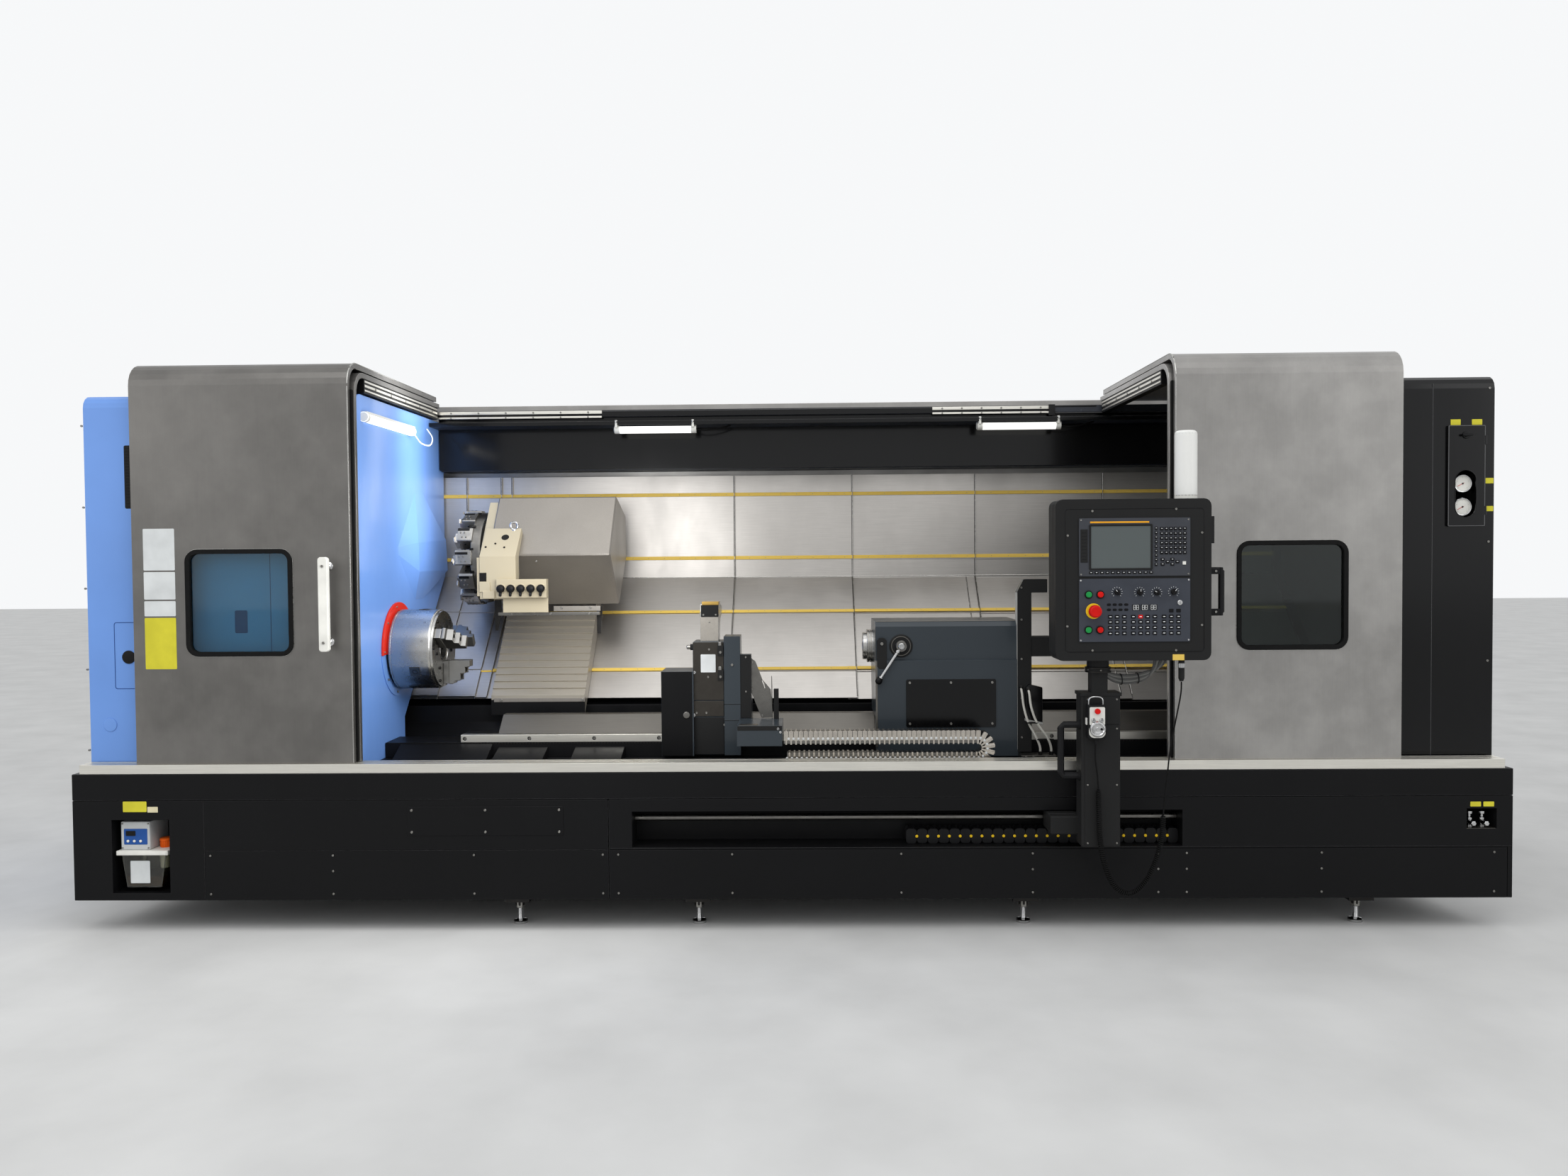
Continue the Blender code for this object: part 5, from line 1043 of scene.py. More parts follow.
signal_white = painted("signal lamp white", tone(226, 226, 222), 0.3, coat=0.2, dust=0.04, bright=1.02)
panel_box()

# %% [markdown]
# The cables leave the panel downwards through a screwed plug and a loose bundle that swings back to the post.
# Under the panel a round swivel and a tapered neck carry its weight.

# %% Plug, swivel and cable bundle
def plug_and_swivel():
    form = Form()
    plug = Vector((1.464, -0.172, 0.977))
    shell = mm(
        6.2, -1, 7.2, 6, 7.2, 20, 10.5, 24, 10.5, 36, 8.8, 40,
        8.8, 48, 12.5, 50, 12.5, 66, 10.5, 68, 10.5, 81, 0, 81,
    )
    form.spin(shell, plug, UP, 24, 0, 0.0004)
    for number in range(12):
        turn = 2 * math.pi * number / 12
        spot = plug + Vector((math.cos(turn) * 0.0125, math.sin(turn) * 0.0125, 0.058))
        form.spin(mm(1.2, -7, 1.2, 7, 0, 7), spot, UP, 8, 0)
    form.block((1.419, 1.461), (-0.2158, -0.2138), (1.0575, 1.079), 1, 0.0004)
    make(form, "panel_plug", [chrome, yellow_paint], "panel")

    swivel = Form()
    centre = Vector((1.172, -0.12, 1.0075))
    steps = mm(47, 0, 47, 6, 44, 8, 44, 12, 47, 14, 47, 19.5, 0, 19.5)
    swivel.spin(steps, centre, UP, 40, 0, 0.0005)
    for number in range(6):
        turn = 2 * math.pi * (number + 0.5) / 6
        spot = centre + Vector((math.cos(turn) * 0.0468, math.sin(turn) * 0.0468, 0.01))
        swivel.screw(spot, (math.cos(turn), math.sin(turn), 0), 0.003, 1)
    make(swivel, "panel_swivel", [black_steel, screw_steel], "panel")


def cable_bundle():
    ties = Form()
    for x, height in ((1.318, 0.984), (1.257, 0.98)):
        band = mm(21, -2, 21, 2, 18, 2, 18, -2)
        ties.spin(band, (x, -0.118, height), (1.0, 0.05, 0.1), 20, 0, hollow=True)
    tied = make(ties, "panel_cable_ties", [black_plastic], "panel")
    for number in range(5):
        spread = number - 2
        drop = spread * 0.0072
        route = [
            (1.402 + spread * 0.011, -0.135, 1.06), (1.386 + spread * 0.008, -0.128, 1.02 + drop * 0.5),
            (1.35 + spread * 0.003, -0.122, 0.994 + drop), (1.3, -0.118, 0.981 + drop),
            (1.25, -0.116, 0.981 + drop), (1.212, -0.118, 0.994 + drop * 0.7), (1.192, -0.12, 1.008 + drop * 0.3),
        ]
        width = 0.0084 + 0.0014 * (number % 2)
        finish = pale_cable if number % 2 else cable_grey
        loose_line(f"panel_cable_{number + 1}", route, width, finish, "panel")


cable_grey = moulded("grey cable", tone(84, 84, 83), 0.45)
pale_cable = moulded("pale cable", tone(112, 112, 109), 0.45)
plug_and_swivel()
cable_bundle()

# %% [markdown]
# The post runs on a bar inside the base and is pushed along by hand. It is folded from thick sheet, so its
# bends are soft, and its front cover is a separate plate with a visible fold. The travelling block, its bolts
# and the dark bar handle on its side are separate parts.

# %% Pendant post
def pendant_post():
    form = Form()
    x = (1.105, 1.248)
    front = -0.15
    height = (0.36, 0.925)
    for cover in ((height[0] + 0.004, height[1] - 0.112), (height[1] - 0.108, height[1] - 0.004)):
        form.block((x[0] + 0.012, x[1] - 0.004), (front - 0.0025, front + 0.001), cover, 0, 0.0012)
    form.screws(
        (x[0] + 0.022, x[1] - 0.014), front - 0.0025,
        (height[0] + 0.016, (height[0] + height[1]) / 2 - 0.05, height[1] - 0.124, height[1] - 0.016), 0.0035, 1,
    )
    for across in (x[0] + 0.03, x[1] - 0.03):
        form.screw((across, -0.1, height[1]), UP, 0.006, 1)
    carrier = (1.005, 1.11)
    form.screws((carrier[0] + 0.016, carrier[0] + 0.052), -0.04, (0.4055, 0.4465), 0.0055, 1)
    form.block((carrier[0] + 0.004, carrier[1] - 0.004), (-0.0425, -0.039), (0.3965, 0.4555), 0, 0.0015)
    make(form, "post_covers", [matte_black, screw_steel], "pendant")

    handle = Form()
    bar_x = 1.035
    ends = (0.622, 0.812)
    path = [
        (x[0] + 0.001, -0.12, ends[0]), (bar_x + 0.012, -0.12, ends[0]), (bar_x, -0.12, ends[0] + 0.012),
        (bar_x, -0.12, ends[1] - 0.012), (bar_x + 0.012, -0.12, ends[1]), (x[0] + 0.001, -0.12, ends[1]),
    ]
    handle.add(pipe(path, 0.0125, 8), 0)
    for up in ends:
        handle.spin(mm(18, -1, 18, 4, 15, 6, 0, 6), (x[0], -0.12, up), (-1, 0, 0), 24, 0)
    make(handle, "post_handle", [black_plastic], "pendant")


pendant_post()

# %% [markdown]
# The hand unit hangs in a bracket on the post. Its body is moulded black plastic with a white face, a red
# button, two small knobs and a chrome hand wheel with fine marks.

# %% Hand unit and its wheel
def hand_unit():
    x = (1.118, 1.186)
    height = (0.768, 0.894)
    face = -0.1943
    form = Form()
    form.plate(x, height, 0.009, (face - 0.0004, -0.156), 0, 0.003)
    panel = rounded((x[0] + 0.006, x[1] - 0.006), (height[0] + 0.052, height[1] - 0.008), 0.005)
    form.add(sheet_metal(panel, face - 0.0022, face, "y"), 1, 0.0006)
    wheel_bed = rounded((x[0] + 0.004, x[1] - 0.004), (height[0] + 0.005, height[0] + 0.054), 0.02)
    form.add(sheet_metal(wheel_bed, face - 0.0015, face, "y"), 1, 0.0005)
    button = mm(10.5, 0, 10.5, 10, 9, 12.5, 0, 13)
    form.spin(button, (1.152, face, 0.871), FORWARD, 24, 2, 0.0004)
    for across in (1.137, 1.167):
        form.spin(mm(7.2, 0, 7.2, 9, 6, 10.5, 0, 10.5), (across, face, 0.839), FORWARD, 20, 3, 0.0003)
        form.block((across - 0.001, across + 0.001), (face - 0.0112, face - 0.009), (0.836, 0.8465), 0, 0)
    form.block((x[0] - 0.004, x[0] + 0.001), (-0.186, -0.17), (0.82, 0.845), 1, 0.0015)
    loop = [
        (x[0] + 0.008, -0.172, height[1] - 0.004), (x[0] + 0.009, -0.172, height[1] + 0.016),
        (x[0] + 0.02, -0.172, height[1] + 0.026), (x[1] - 0.02, -0.172, height[1] + 0.026),
        (x[1] - 0.009, -0.172, height[1] + 0.016), (x[1] - 0.008, -0.172, height[1] - 0.004),
    ]
    form.add(pipe(eased(loop, 5), 0.003, 10), 3)
    relief = mm(8.8, 1, 8.8, -4, 7.2, -6, 7.2, -9, 6.4, -11, 6.4, -14, 5, -22, 0, -22)
    form.spin(relief, (1.152, -0.172, height[0]), UP, 20, 0)
    make(form, "hand_unit_body", [black_plastic, white_plastic, red_plastic, chrome], "pendant", "hand_unit")

    wheel = Form()
    centre = Vector((1.152, -0.1955, 0.806))
    rim = mm(0, 0, 28.5, 0, 29, 2, 29, 8, 26.5, 11.5, 22.5, 12.8, 19.5, 10, 8, 9, 6.5, 12.5, 0, 12.8)
    wheel.spin(rim, centre, FORWARD, 48, 0)
    for mark in range(25):
        turn = 2 * math.pi * mark / 25
        wheel.put(
            bar_stock((-0.0003, 0.0003), (-0.0114, -0.0092), (0.0155, 0.0185)),
            Matrix.Translation(centre) @ Matrix.Rotation(turn, 4, "Y"), 1,
        )
    wheel.spin(mm(3.5, 10, 4.2, 12.5, 0, 12.8), centre + Vector((0.0135, 0, 0.0)), FORWARD, 16, 1)
    make(wheel, "hand_wheel_dial", [chrome, black_plastic], "wheel", "hand_wheel")


hand_unit()

# %% [markdown]
# The chuck is one big turned steel body with three ways for its jaws. It is spun from a profile with many
# steps round, so that its rim reads as turned, and the ways, square sockets and bolts are cut or set in.
# Its guard is a painted ring in halves: red on top, so that a hand stays away, and black and blue below.

# %% Chuck, jaws and guard
AXIS_DEPTH = 0.53
AXIS_HEIGHT = 1.06
JAW_DIRECTIONS = [(-0.866, 0.5), (0.0, -1.0), (0.866, 0.5)]


def seat_on(place, outward):
    """A seat on a turned piece, with its third axis pointing outward from the spindle line."""
    return Matrix.Translation(Vector(place)) @ Matrix(
        (SIDEWAYS, outward.cross(SIDEWAYS), outward)
    ).transposed().to_4x4()


def half_ring(inner, outer, first, last, steps=40):
    """The outline of a part of a ring round the spindle, as depth and height."""
    outline = []
    for radius, start, end in ((outer, first, last), (inner, last, first)):
        for step in range(steps + 1):
            turn = math.radians(start + (end - start) * step / steps)
            outline.append((AXIS_DEPTH + radius * math.cos(turn), AXIS_HEIGHT + radius * math.sin(turn)))
    return outline


def guard():
    low, high = room("spindle_guard")
    flange_end = low.x + 0.022
    outer = (high.z - low.z) / 2
    inner = 0.1505
    neck = 0.158
    form = Form()
    form.add(sheet_metal(half_ring(inner, outer, -4, 184), low.x, flange_end - 0.014, "x"), 0, 0.0012)
    form.add(sheet_metal(half_ring(inner, neck, -4, 184), flange_end - 0.016, high.x, "x"), 0, 0.001)
    form.add(sheet_metal(half_ring(inner, outer, 184.4, 355.6), low.x, flange_end - 0.018, "x"), 1, 0.0008)
    form.add(sheet_metal(half_ring(inner, neck, 184.4, 355.6), flange_end - 0.02, high.x, "x"), 2, 0.001)
    for turn in range(20, 360, 40):
        spot = (
            flange_end - 0.014, AXIS_DEPTH + math.cos(math.radians(turn)) * 0.184,
            AXIS_HEIGHT + math.sin(math.radians(turn)) * 0.184,
        )
        form.screw(spot, SIDEWAYS, 0.0045, 3)
    make(form, "spindle_guard_rings", [red_paint, blue_paint, gloss_black, screw_steel], "frame", "spindle_guard")


def chuck():
    low, high = room("chuck")
    radius = (high.z - low.z) / 2
    back = low.x
    face = high.x - back
    centre = (back, AXIS_DEPTH, AXIS_HEIGHT)
    bore = 0.04
    form = Form()
    profile = [
        (bore, 0), (radius * 0.86, 0), (radius * 0.865, 0.012), (radius, 0.014), (radius, 0.02),
        (radius * 0.994, 0.021), (radius * 0.994, 0.024), (radius, 0.025), (radius, face - 0.02),
        (radius * 0.995, face - 0.014), (radius * 0.98, face - 0.01), (radius * 0.965, face - 0.009),
        (radius * 0.955, face), (bore * 1.5, face), (bore * 1.46, face - 0.006),
        (bore * 1.2, face - 0.006), (bore * 1.16, face - 0.001), (bore, face - 0.003),
    ]
    form.spin(profile, centre, SIDEWAYS, 96, 0, hollow=True)
    for depth_share, height_share in JAW_DIRECTIONS:
        outward = Vector((0, depth_share, height_share))
        middle = seat_on((high.x, AXIS_DEPTH, AXIS_HEIGHT), outward)
        for side in (-1, 1):
            form.put(
                bar_stock((-0.001, 0.0022), (side * 0.024, side * 0.0285), (bore * 1.55, radius * 0.94)),
                middle, 1, 0.0004,
            )
            for out in (0.078, 0.132):
                form.screw(middle @ Vector((0, side * 0.062, out)), SIDEWAYS, 0.0065, 2)
        opposite = -outward
        socket = Vector((back + face * 0.6, AXIS_DEPTH, AXIS_HEIGHT)) + opposite * (radius - 0.001)
        form.put(bar_stock((-0.021, 0.021), (-0.021, 0.021), (0.0, 0.0022)), seat_on(socket, opposite), 1, 0.001)
        form.spin(mm(12.5, 0, 12.5, 3, 10, 3, 10, 0.5, 0, 0.5), socket, opposite, 6, 3)
    for turn in range(15, 360, 30):
        outward = Vector((0, math.cos(math.radians(turn)), math.sin(math.radians(turn))))
        spot = Vector((back + face * 0.78, AXIS_DEPTH, AXIS_HEIGHT)) + outward * (radius - 0.0006)
        form.spin(mm(4.2, 0, 4.2, 0.8, 3.4, 0.9, 3.4, 0.4, 0, 0.4), spot, outward, 14, 3)
    make(form, "chuck_body", [chuck_steel, dark_steel, black_steel, black_plastic], "spindle", "chuck")


def jaws():
    back = room("chuck")[1].x
    for number, (depth_share, height_share) in enumerate(JAW_DIRECTIONS, 1):
        front = room(f"jaw_{number}")[1].x
        reach = front - back
        outward = Vector((0, depth_share, height_share))
        seat = seat_on((back, AXIS_DEPTH, AXIS_HEIGHT), outward)
        form = Form()
        form.put(sheet_metal(mm(0.5, 52, 0.5, 148, 26, 148, 30, 144, 30, 52), -0.022, 0.022), seat, 0, 0.0012)
        for tooth in range(22):
            up = 0.055 + tooth * 0.0042
            for side in (-1, 1):
                form.put(bar_stock((0.024, 0.0305), (side * 0.0215, side * 0.0226), (up, up + 0.0018)), seat, 1)
        steps = [
            (0.0305, 0.05), (reach, 0.05), (reach, 0.076), (reach - 0.02, 0.078), (reach - 0.02, 0.104),
            (reach - 0.04, 0.106), (reach - 0.04, 0.134), (0.05, 0.138), (0.044, 0.149), (0.0305, 0.149),
        ]
        form.put(sheet_metal(steps, -0.0255, 0.0255), seat, 0, 0.0018)
        for up, level in ((0.091, reach - 0.02), (0.12, reach - 0.04)):
            well = mm(9.2, 0, 9.2, 1.2, 7.6, 1.4, 7.6, 0.2, 4.8, 0.2, 4.8, -2, 0, -2)
            form.spin(well, seat @ Vector((level, 0, up)), SIDEWAYS, 20, 2)
        make(form, f"jaw_{number}_steps", [jaw_steel, dark_steel, black_steel], f"jaw_{number}", f"jaw_{number}")


guard()
chuck()
jaws()

# %% [markdown]
# The turret disc carries twelve stations. Each has a ground steel block with clamping screws, some with a
# bright insert in its slot. The disc behind them is turned with a tapered back. One station is drawn and then
# repeated round the disc, with small changes so that the tools differ as real ones do.

# %% Turret disc and tool blocks
STATIONS = 12


def turret():
    low, high = room("turret_disc")
    centre = Vector((low.x, (low.y + high.y) / 2, (low.z + high.z) / 2))
    tip = (high.z - low.z) / 2
    flat = tip * math.cos(math.pi / STATIONS)
    thick = high.x - low.x
    form = Form()
    rim = flat * 0.965
    disc = [
        (0, thick * 0.62), (flat * 0.62, thick * 0.62), (flat * 0.66, thick * 0.6), (rim * 0.97, thick * 0.6),
        (rim, thick * 0.63), (rim, thick * 0.86), (rim * 0.985, thick * 0.93), (rim * 0.9, thick), (0, thick),
    ]
    form.spin(disc, centre, SIDEWAYS, 96, 0)
    hub = [
        (0, 0.0), (0.055, 0.0), (0.062, 0.004), (0.066, 0.01),
        (0.066, 0.04), (0.086, 0.044), (0.112, 0.05), (0.128, thick * 0.62),
    ]
    form.spin(hub, centre, SIDEWAYS, 64, 1)
    for number in range(8):
        turn = 2 * math.pi * number / 8
        form.screw(centre + Vector((0.004, math.cos(turn) * 0.048, math.sin(turn) * 0.048)), (-1, 0, 0), 0.005, 2)
    for station in range(STATIONS):
        turn = 2 * math.pi * station / STATIONS
        outward = Vector((0, math.cos(turn), math.sin(turn)))
        seat = seat_on(centre, outward)
        front = (0.018, 0.03, 0.022)[station % 3]
        half = (0.033, 0.038, 0.036)[station % 3]
        outline = [
            (-half, flat * 0.62), (half, flat * 0.62), (half, flat - 0.008),
            (half - 0.008, flat), (-half + 0.004, flat), (-half, flat - 0.004),
        ]
        form.put(sheet_metal(outline, front, thick * 0.66, "x"), seat, 1, 0.0016)
        clamp = [(-half, flat * 0.66), (half * 0.3, flat * 0.66), (half * 0.3, flat * 0.93), (-half, flat * 0.93)]
        form.put(sheet_metal(clamp, front - 0.014, front + 0.002, "x"), seat, 1, 0.0014)
        form.put(
            bar_stock((front - 0.0008, thick * 0.55), (half * 0.42, half * 0.78), (flat - 0.001, flat + 0.0006)),
            seat, 3,
        )
        insert = [(-half * 0.9, flat * 0.93), (-half * 0.1, flat * 0.93), (-half * 0.5, flat * 0.99)]
        form.put(sheet_metal(insert, front - 0.018, front - 0.013, "x"), seat, 4, 0.0005)
        for along, side in ((0.045, -0.5), (0.062, -0.5), (0.053, 0.15), (0.036, 0.15)):
            form.screw(seat @ Vector((along, half * side, flat)), outward, 0.0042, 2)
        for side in (-1, 1):
            form.screw(seat @ Vector((0.055, side * half, flat * 0.86)), outward.cross(SIDEWAYS) * side, 0.0042, 3)
        form.put(
            bar_stock((thick * 0.6, thick * 0.72), (half * 1.02, half * 1.3), (rim * 0.9, rim + 0.0008)), seat, 3
        )
    make(
        form, "turret_stations", [dark_steel, bright_block_steel, screw_steel, black_steel, insert_steel],
        "turret", "turret_disc",
    )


bright_block_steel = machined("ground block steel", tone(168, 165, 159), 0.3)
insert_steel = machined("bright insert steel", tone(204, 197, 187), 0.2)
turret()

# %% [markdown]
# Behind the disc stands the cream turret casting with its stepped lower end, and the manifold with five coolant
# nozzles. The stainless housing around the drive is folded from sheet; its bent edges shine, and a few button
# screws and a lifting eye stand proud.

# %% Turret casting, nozzles and housing screws

def turret_casting():
    form = Form()
    for number in range(5):
        centre = Vector((-1.2253 + number * 0.0434, 0.556, 1.315))
        ball = mm(0, 26, 8, 25.5, 14, 22.5, 17.2, 17, 18, 10, 17.2, 3, 14.5, 0, 14.5, -8, 0, -8)
        form.spin(ball, centre, FORWARD, 24, 0)
        form.spin(
            mm(6.2, 0, 6.2, 22, 4.2, 26, 0, 26), centre + Vector((0, -0.008, -0.008)), (0, -0.35, -0.94), 16, 0
        )
        form.spin(mm(20.6, -6, 20.6, -0.5, 19, 1, 15, 1, 15, -6), centre, FORWARD, 28, 1, hollow=True)
    for x, z in ((-1.268, 1.51), (-1.225, 1.493), (-1.307, 1.495)):
        form.screw((x, 0.5852 + (z - 1.456) * 0.943, z), (0, -0.728, 0.686), 0.0045, 2)
    # A black disc and a black block stand for a hole and a slot in the casting: painted shade in place of their
    # hollows.
    hole = (-1.231, 0.585 + (1.538 - 1.456) * 0.943, 1.538)
    form.spin(mm(16.5, -1, 16.5, 0.8, 0, 0.8), hole, (0, -0.728, 0.686), 32, 2)
    form.block((-1.3262, -1.296), (0.5842, 0.587), (1.346, 1.384), 2, 0.0004)
    form.block((-1.3262, -1.28), (0.58, 0.586), (1.3, 1.344), 1, 0.0015)
    form.block((-1.312, -1.26), (0.577, 0.586), (1.272, 1.304), 1, 0.0015)
    make(form, "coolant_nozzles", [black_plastic, cream_paint, black_steel], "cross_slide")


turret_casting()


def housing_details():
    form = Form()
    for x, z in ((-1.093, 1.432), (-1.072, 1.345)):
        form.screw((x, 0.655, z), FORWARD, 0.0045, 1)
    eye = Vector((-1.2, 0.7, 1.589))
    bend = [eye + Vector((a, 0, b)) for a, b in ring((0, 0), 0.016, 32)]
    form.add(pipe(bend + [eye + Vector((0.016, 0, 0))], 0.0057, 12), 2)
    form.spin(mm(11, -14, 11, 0, 8, 2, 0, 2), eye + Vector((0, 0, -0.018)), UP, 24, 2)
    make(form, "housing_screws", [housing_steel, screw_steel, chrome], "cross_slide")


housing_details()

# %% [markdown]
# The way covers slide over each other like the joints of a telescope. Each has amber wiper strips held by a row
# of tiny screws, a bright line where the sheet is folded, and a thin bright edge where it ends.

# %% Wiper strips, folds and edges of the covers
CREASE_HEIGHT = 1.345
WALL_TOP = 1.84
SLOPE_FOOT = (0.725, 0.82)
WALL_SHARES = (0.814, 0.19)
SLOPE_SHARES = (0.31, 0.785)
SCREW_PITCH = 0.075


def cover_place(level, up_share=None, down_share=None):
    """A place on a cover's face: depth, height and the way the face looks."""
    wall = 1.25 + 0.009 * level
    if up_share is not None:
        return wall, CREASE_HEIGHT + up_share * (WALL_TOP - CREASE_HEIGHT), FORWARD
    reach = wall - (SLOPE_FOOT[0] + 0.009 * level)
    return wall - down_share * reach, CREASE_HEIGHT - down_share * (
        CREASE_HEIGHT - SLOPE_FOOT[1]
    ), Vector((0, -1, 1)).normalized()


def cover_trim(node, body, level):
    low, high = room(node)
    form = Form()
    tiny = 0.0017
    spots = [cover_place(level, up_share=share) for share in WALL_SHARES]
    spots += [cover_place(level, down_share=share) for share in SLOPE_SHARES]
    for depth, height, facing in spots:
        strip = bar_stock((low.x + 0.002, high.x - 0.002), (-0.0052, -0.001), (-0.0085, 0.0085))
        turn = Vector((0, -1, 0)).rotation_difference(facing).to_matrix().to_4x4()
        seat = Matrix.Translation((0, depth, height)) @ turn
        strip.transform(seat)
        form.add(strip, 0, 0.0012)
        count = max(2, int((high.x - low.x) / SCREW_PITCH))
        for number in range(count):
            x = low.x + (high.x - low.x) * (number + 0.5) / count
            form.spin(
                [(tiny, 0), (tiny, 0.0006), (tiny * 0.5, 0.001), (0, 0.001)],
                seat @ Vector((x, -0.0052, 0)), facing, 8, 1,
            )
    wall = 1.25 + 0.009 * level
    crease = [(x, wall - 0.0005, CREASE_HEIGHT) for x in (low.x + 0.001, high.x - 0.001)]
    form.add(pipe(crease, 0.0018, 8), 2)
    for x in (low.x, high.x):
        edge = [
            (x, wall - 0.0008, WALL_TOP - 0.002), (x, wall - 0.0008, CREASE_HEIGHT),
            (x, SLOPE_FOOT[0] + 0.009 * level - 0.0006, SLOPE_FOOT[1] + 0.001),
        ]
        form.add(pipe(edge, 0.0014, 6), 2)
        inward = 0.0036 if x == low.x else -0.0036
        form.add(pipe([(x + inward, depth, up) for _, depth, up in edge], 0.0012, 6), 3)
    make(form, node + "_trim", [yellow_paint, screw_steel, bright_steel, black_steel], body)


COVERS = [
    ("fixed_cover_left", "frame", -3), ("left_section_1", "left_cover_1", -1),
    ("left_section_2", "left_cover_2", -2), ("saddle_cover", "carriage", 0),
    ("right_section_1", "right_cover_1", 1), ("right_section_2", "right_cover_2", 2),
    ("right_section_3", "right_cover_3", 3), ("fixed_cover_right", "frame", 4),
]
for node, body, level in COVERS:
    cover_trim(node, body, level)

# %% [markdown]
# Below the housing a louvred apron covers the cross slide. Two dark gussets stand beside it, a screwed
# stainless strip closes the gap above it, and a bar with two screws holds its lower end.

# %% Louvre apron
LOUVRE_FOOT = 0.822


def louvre_details():
    form = Form()
    form.block((-1.019, -0.812), (0.648, 0.654), (1.212, 1.234), 0, 0.0012)
    form.screws((-0.983, -0.856), 0.648, (1.2265,), 0.0052, 1)
    form.block((-1.262, -0.815), (0.64, 0.662), (1.194, 1.209), 2, 0.0015)
    form.screws((-1.2, -1.03, -0.86), 0.64, (1.2015,), 0.0055, 1)
    left_gusset = mm(-1290, 1262, -1262, 1262, -1262, 1200, -1278, 1126, -1290, 1126)
    right_gusset = mm(-838, 1232, -810, 1232, -820, 1109, -834, 1109)
    for gusset in (left_gusset, right_gusset):
        form.add(sheet_metal(gusset, 0.69, 0.7, "y"), 3, 0.0012)
    make(form, "apron_strips", [housing_steel, screw_steel, dark_steel, black_steel], "cross_slide")

    low, high = room("louvre_cover")
    lower = Form()
    lower.block(
        (low.x - 0.001, high.x + 0.001), (low.y - 0.0012, low.y + 0.001), (low.z - 0.001, LOUVRE_FOOT), 2, 0.0005
    )
    bar = (LOUVRE_FOOT - 0.01, LOUVRE_FOOT + 0.008)
    lower.block((low.x + 0.012, high.x + 0.002), (low.y - 0.004, low.y + 0.01), bar, 0, 0.0015)
    for x in (low.x + 0.045, high.x - 0.01):
        lower.screw((x, low.y - 0.004, sum(bar) / 2), FORWARD, 0.0055, 1)
    make(lower, "apron_bar", [housing_steel, screw_steel, black_paint], "carriage")


louvre_details()

# %% [markdown]
# A sealed tube lamp hangs on the blue wall. Its white housing has rounded ends, the clear tube glows faintly,
# and a thin cable loops out of its rear end.

# %% Wall lamp
def wall_lamp():
    form = Form()
    x = -1.656
    height = 2.012
    start, end = 0.15, 0.72
    roof = [(start, height + 0.022), (end, height + 0.022), (end, height + 0.008), (start, height + 0.008)]
    form.add(sheet_metal(roof, x - 0.012, x + 0.016, "x"), 0, 0.003)
    tube = [(0, start - 0.0004), (0.0196, start - 0.0004), (0.0196, end + 0.0004), (0, end + 0.0004)]
    form.spin([(radius, place - start) for radius, place in tube], (x, start, height), (0, 1, 0), 28, 1)
    for place in (start - 0.001, end - 0.025):
        form.spin(mm(0, 0, 18, 0, 20.4, 3, 20.4, 24, 19.7, 26, 0, 26), (x, place, height), (0, 1, 0), 28, 2)
    loop = [
        (x, end - 0.006, height), (x + 0.004, end + 0.02, height - 0.01),
        (x + 0.02, end + 0.06, height - 0.045), (x + 0.04, end + 0.12, height - 0.05),
        (x + 0.03, end + 0.19, height - 0.01), (x - 0.004, end + 0.22, height + 0.035),
    ]
    loose_line("wall_lamp_cable", loop, 0.006, white_plastic, "frame")
    make(form, "wall_lamp_tube", [white_paint, lamp_white, white_plastic], "frame")


wall_lamp()

# %% [markdown]
# The doors are sheet, but their edges tell the story: a black seal where the leaf meets the opening, a bright
# rolled edge, and a channel under the roof that guides the leaf. The windows are panes in a black rubber
# profile, with a thin bright line where the sheet is cut. Through them the covers behind can be seen.

# %% Door windows, seals and roof channels
WINDOWS = {"left": (-2.3125, -1.899), "right": (1.7365, 2.151)}
WINDOW_HEIGHT = (1.077, 1.487)
WINDOW_CORNER = 0.045
DOOR_FACE = 0.02


def grown(pair, by):
    return pair[0] - by, pair[1] + by


def door_window(side):
    x = WINDOWS[side]
    lip = 0.0035
    pane_edge = -0.0145
    form = Form()
    outer = rounded(grown(x, lip), grown(WINDOW_HEIGHT, lip), WINDOW_CORNER + lip)
    middle = rounded(grown(x, -0.0002), grown(WINDOW_HEIGHT, -0.0002), WINDOW_CORNER)
    inner = rounded(grown(x, pane_edge), grown(WINDOW_HEIGHT, pane_edge), WINDOW_CORNER + pane_edge)
    form.add(sheet_metal(outer, DOOR_FACE - 0.0058, DOOR_FACE - 0.0002, "y", [inner]), 0, 0.0022, 3)
    form.add(sheet_metal(middle, DOOR_FACE - 0.001, DOOR_FACE + 0.018, "y", [inner]), 0, 0.001)
    trim = rounded(grown(x, lip + 0.0016), grown(WINDOW_HEIGHT, lip + 0.0016), WINDOW_CORNER + lip + 0.0016)
    form.add(sheet_metal(trim, DOOR_FACE - 0.0009, DOOR_FACE + 0.0002, "y", [outer]), 2)
    # The right pane takes the darker copy of the glass: painted shade.
    glass = window_glass if side == "left" else glass_painted_shade
    pane = rounded(grown(x, -0.006), grown(WINDOW_HEIGHT, -0.006), WINDOW_CORNER - 0.006)
    form.add(sheet_metal(pane, DOOR_FACE + 0.007, DOOR_FACE + 0.011, "y"), 1)
    make(form, f"{side}_window_pane", [black_rubber, glass, bright_steel], f"{side}_outer_leaf", f"{side}_window")


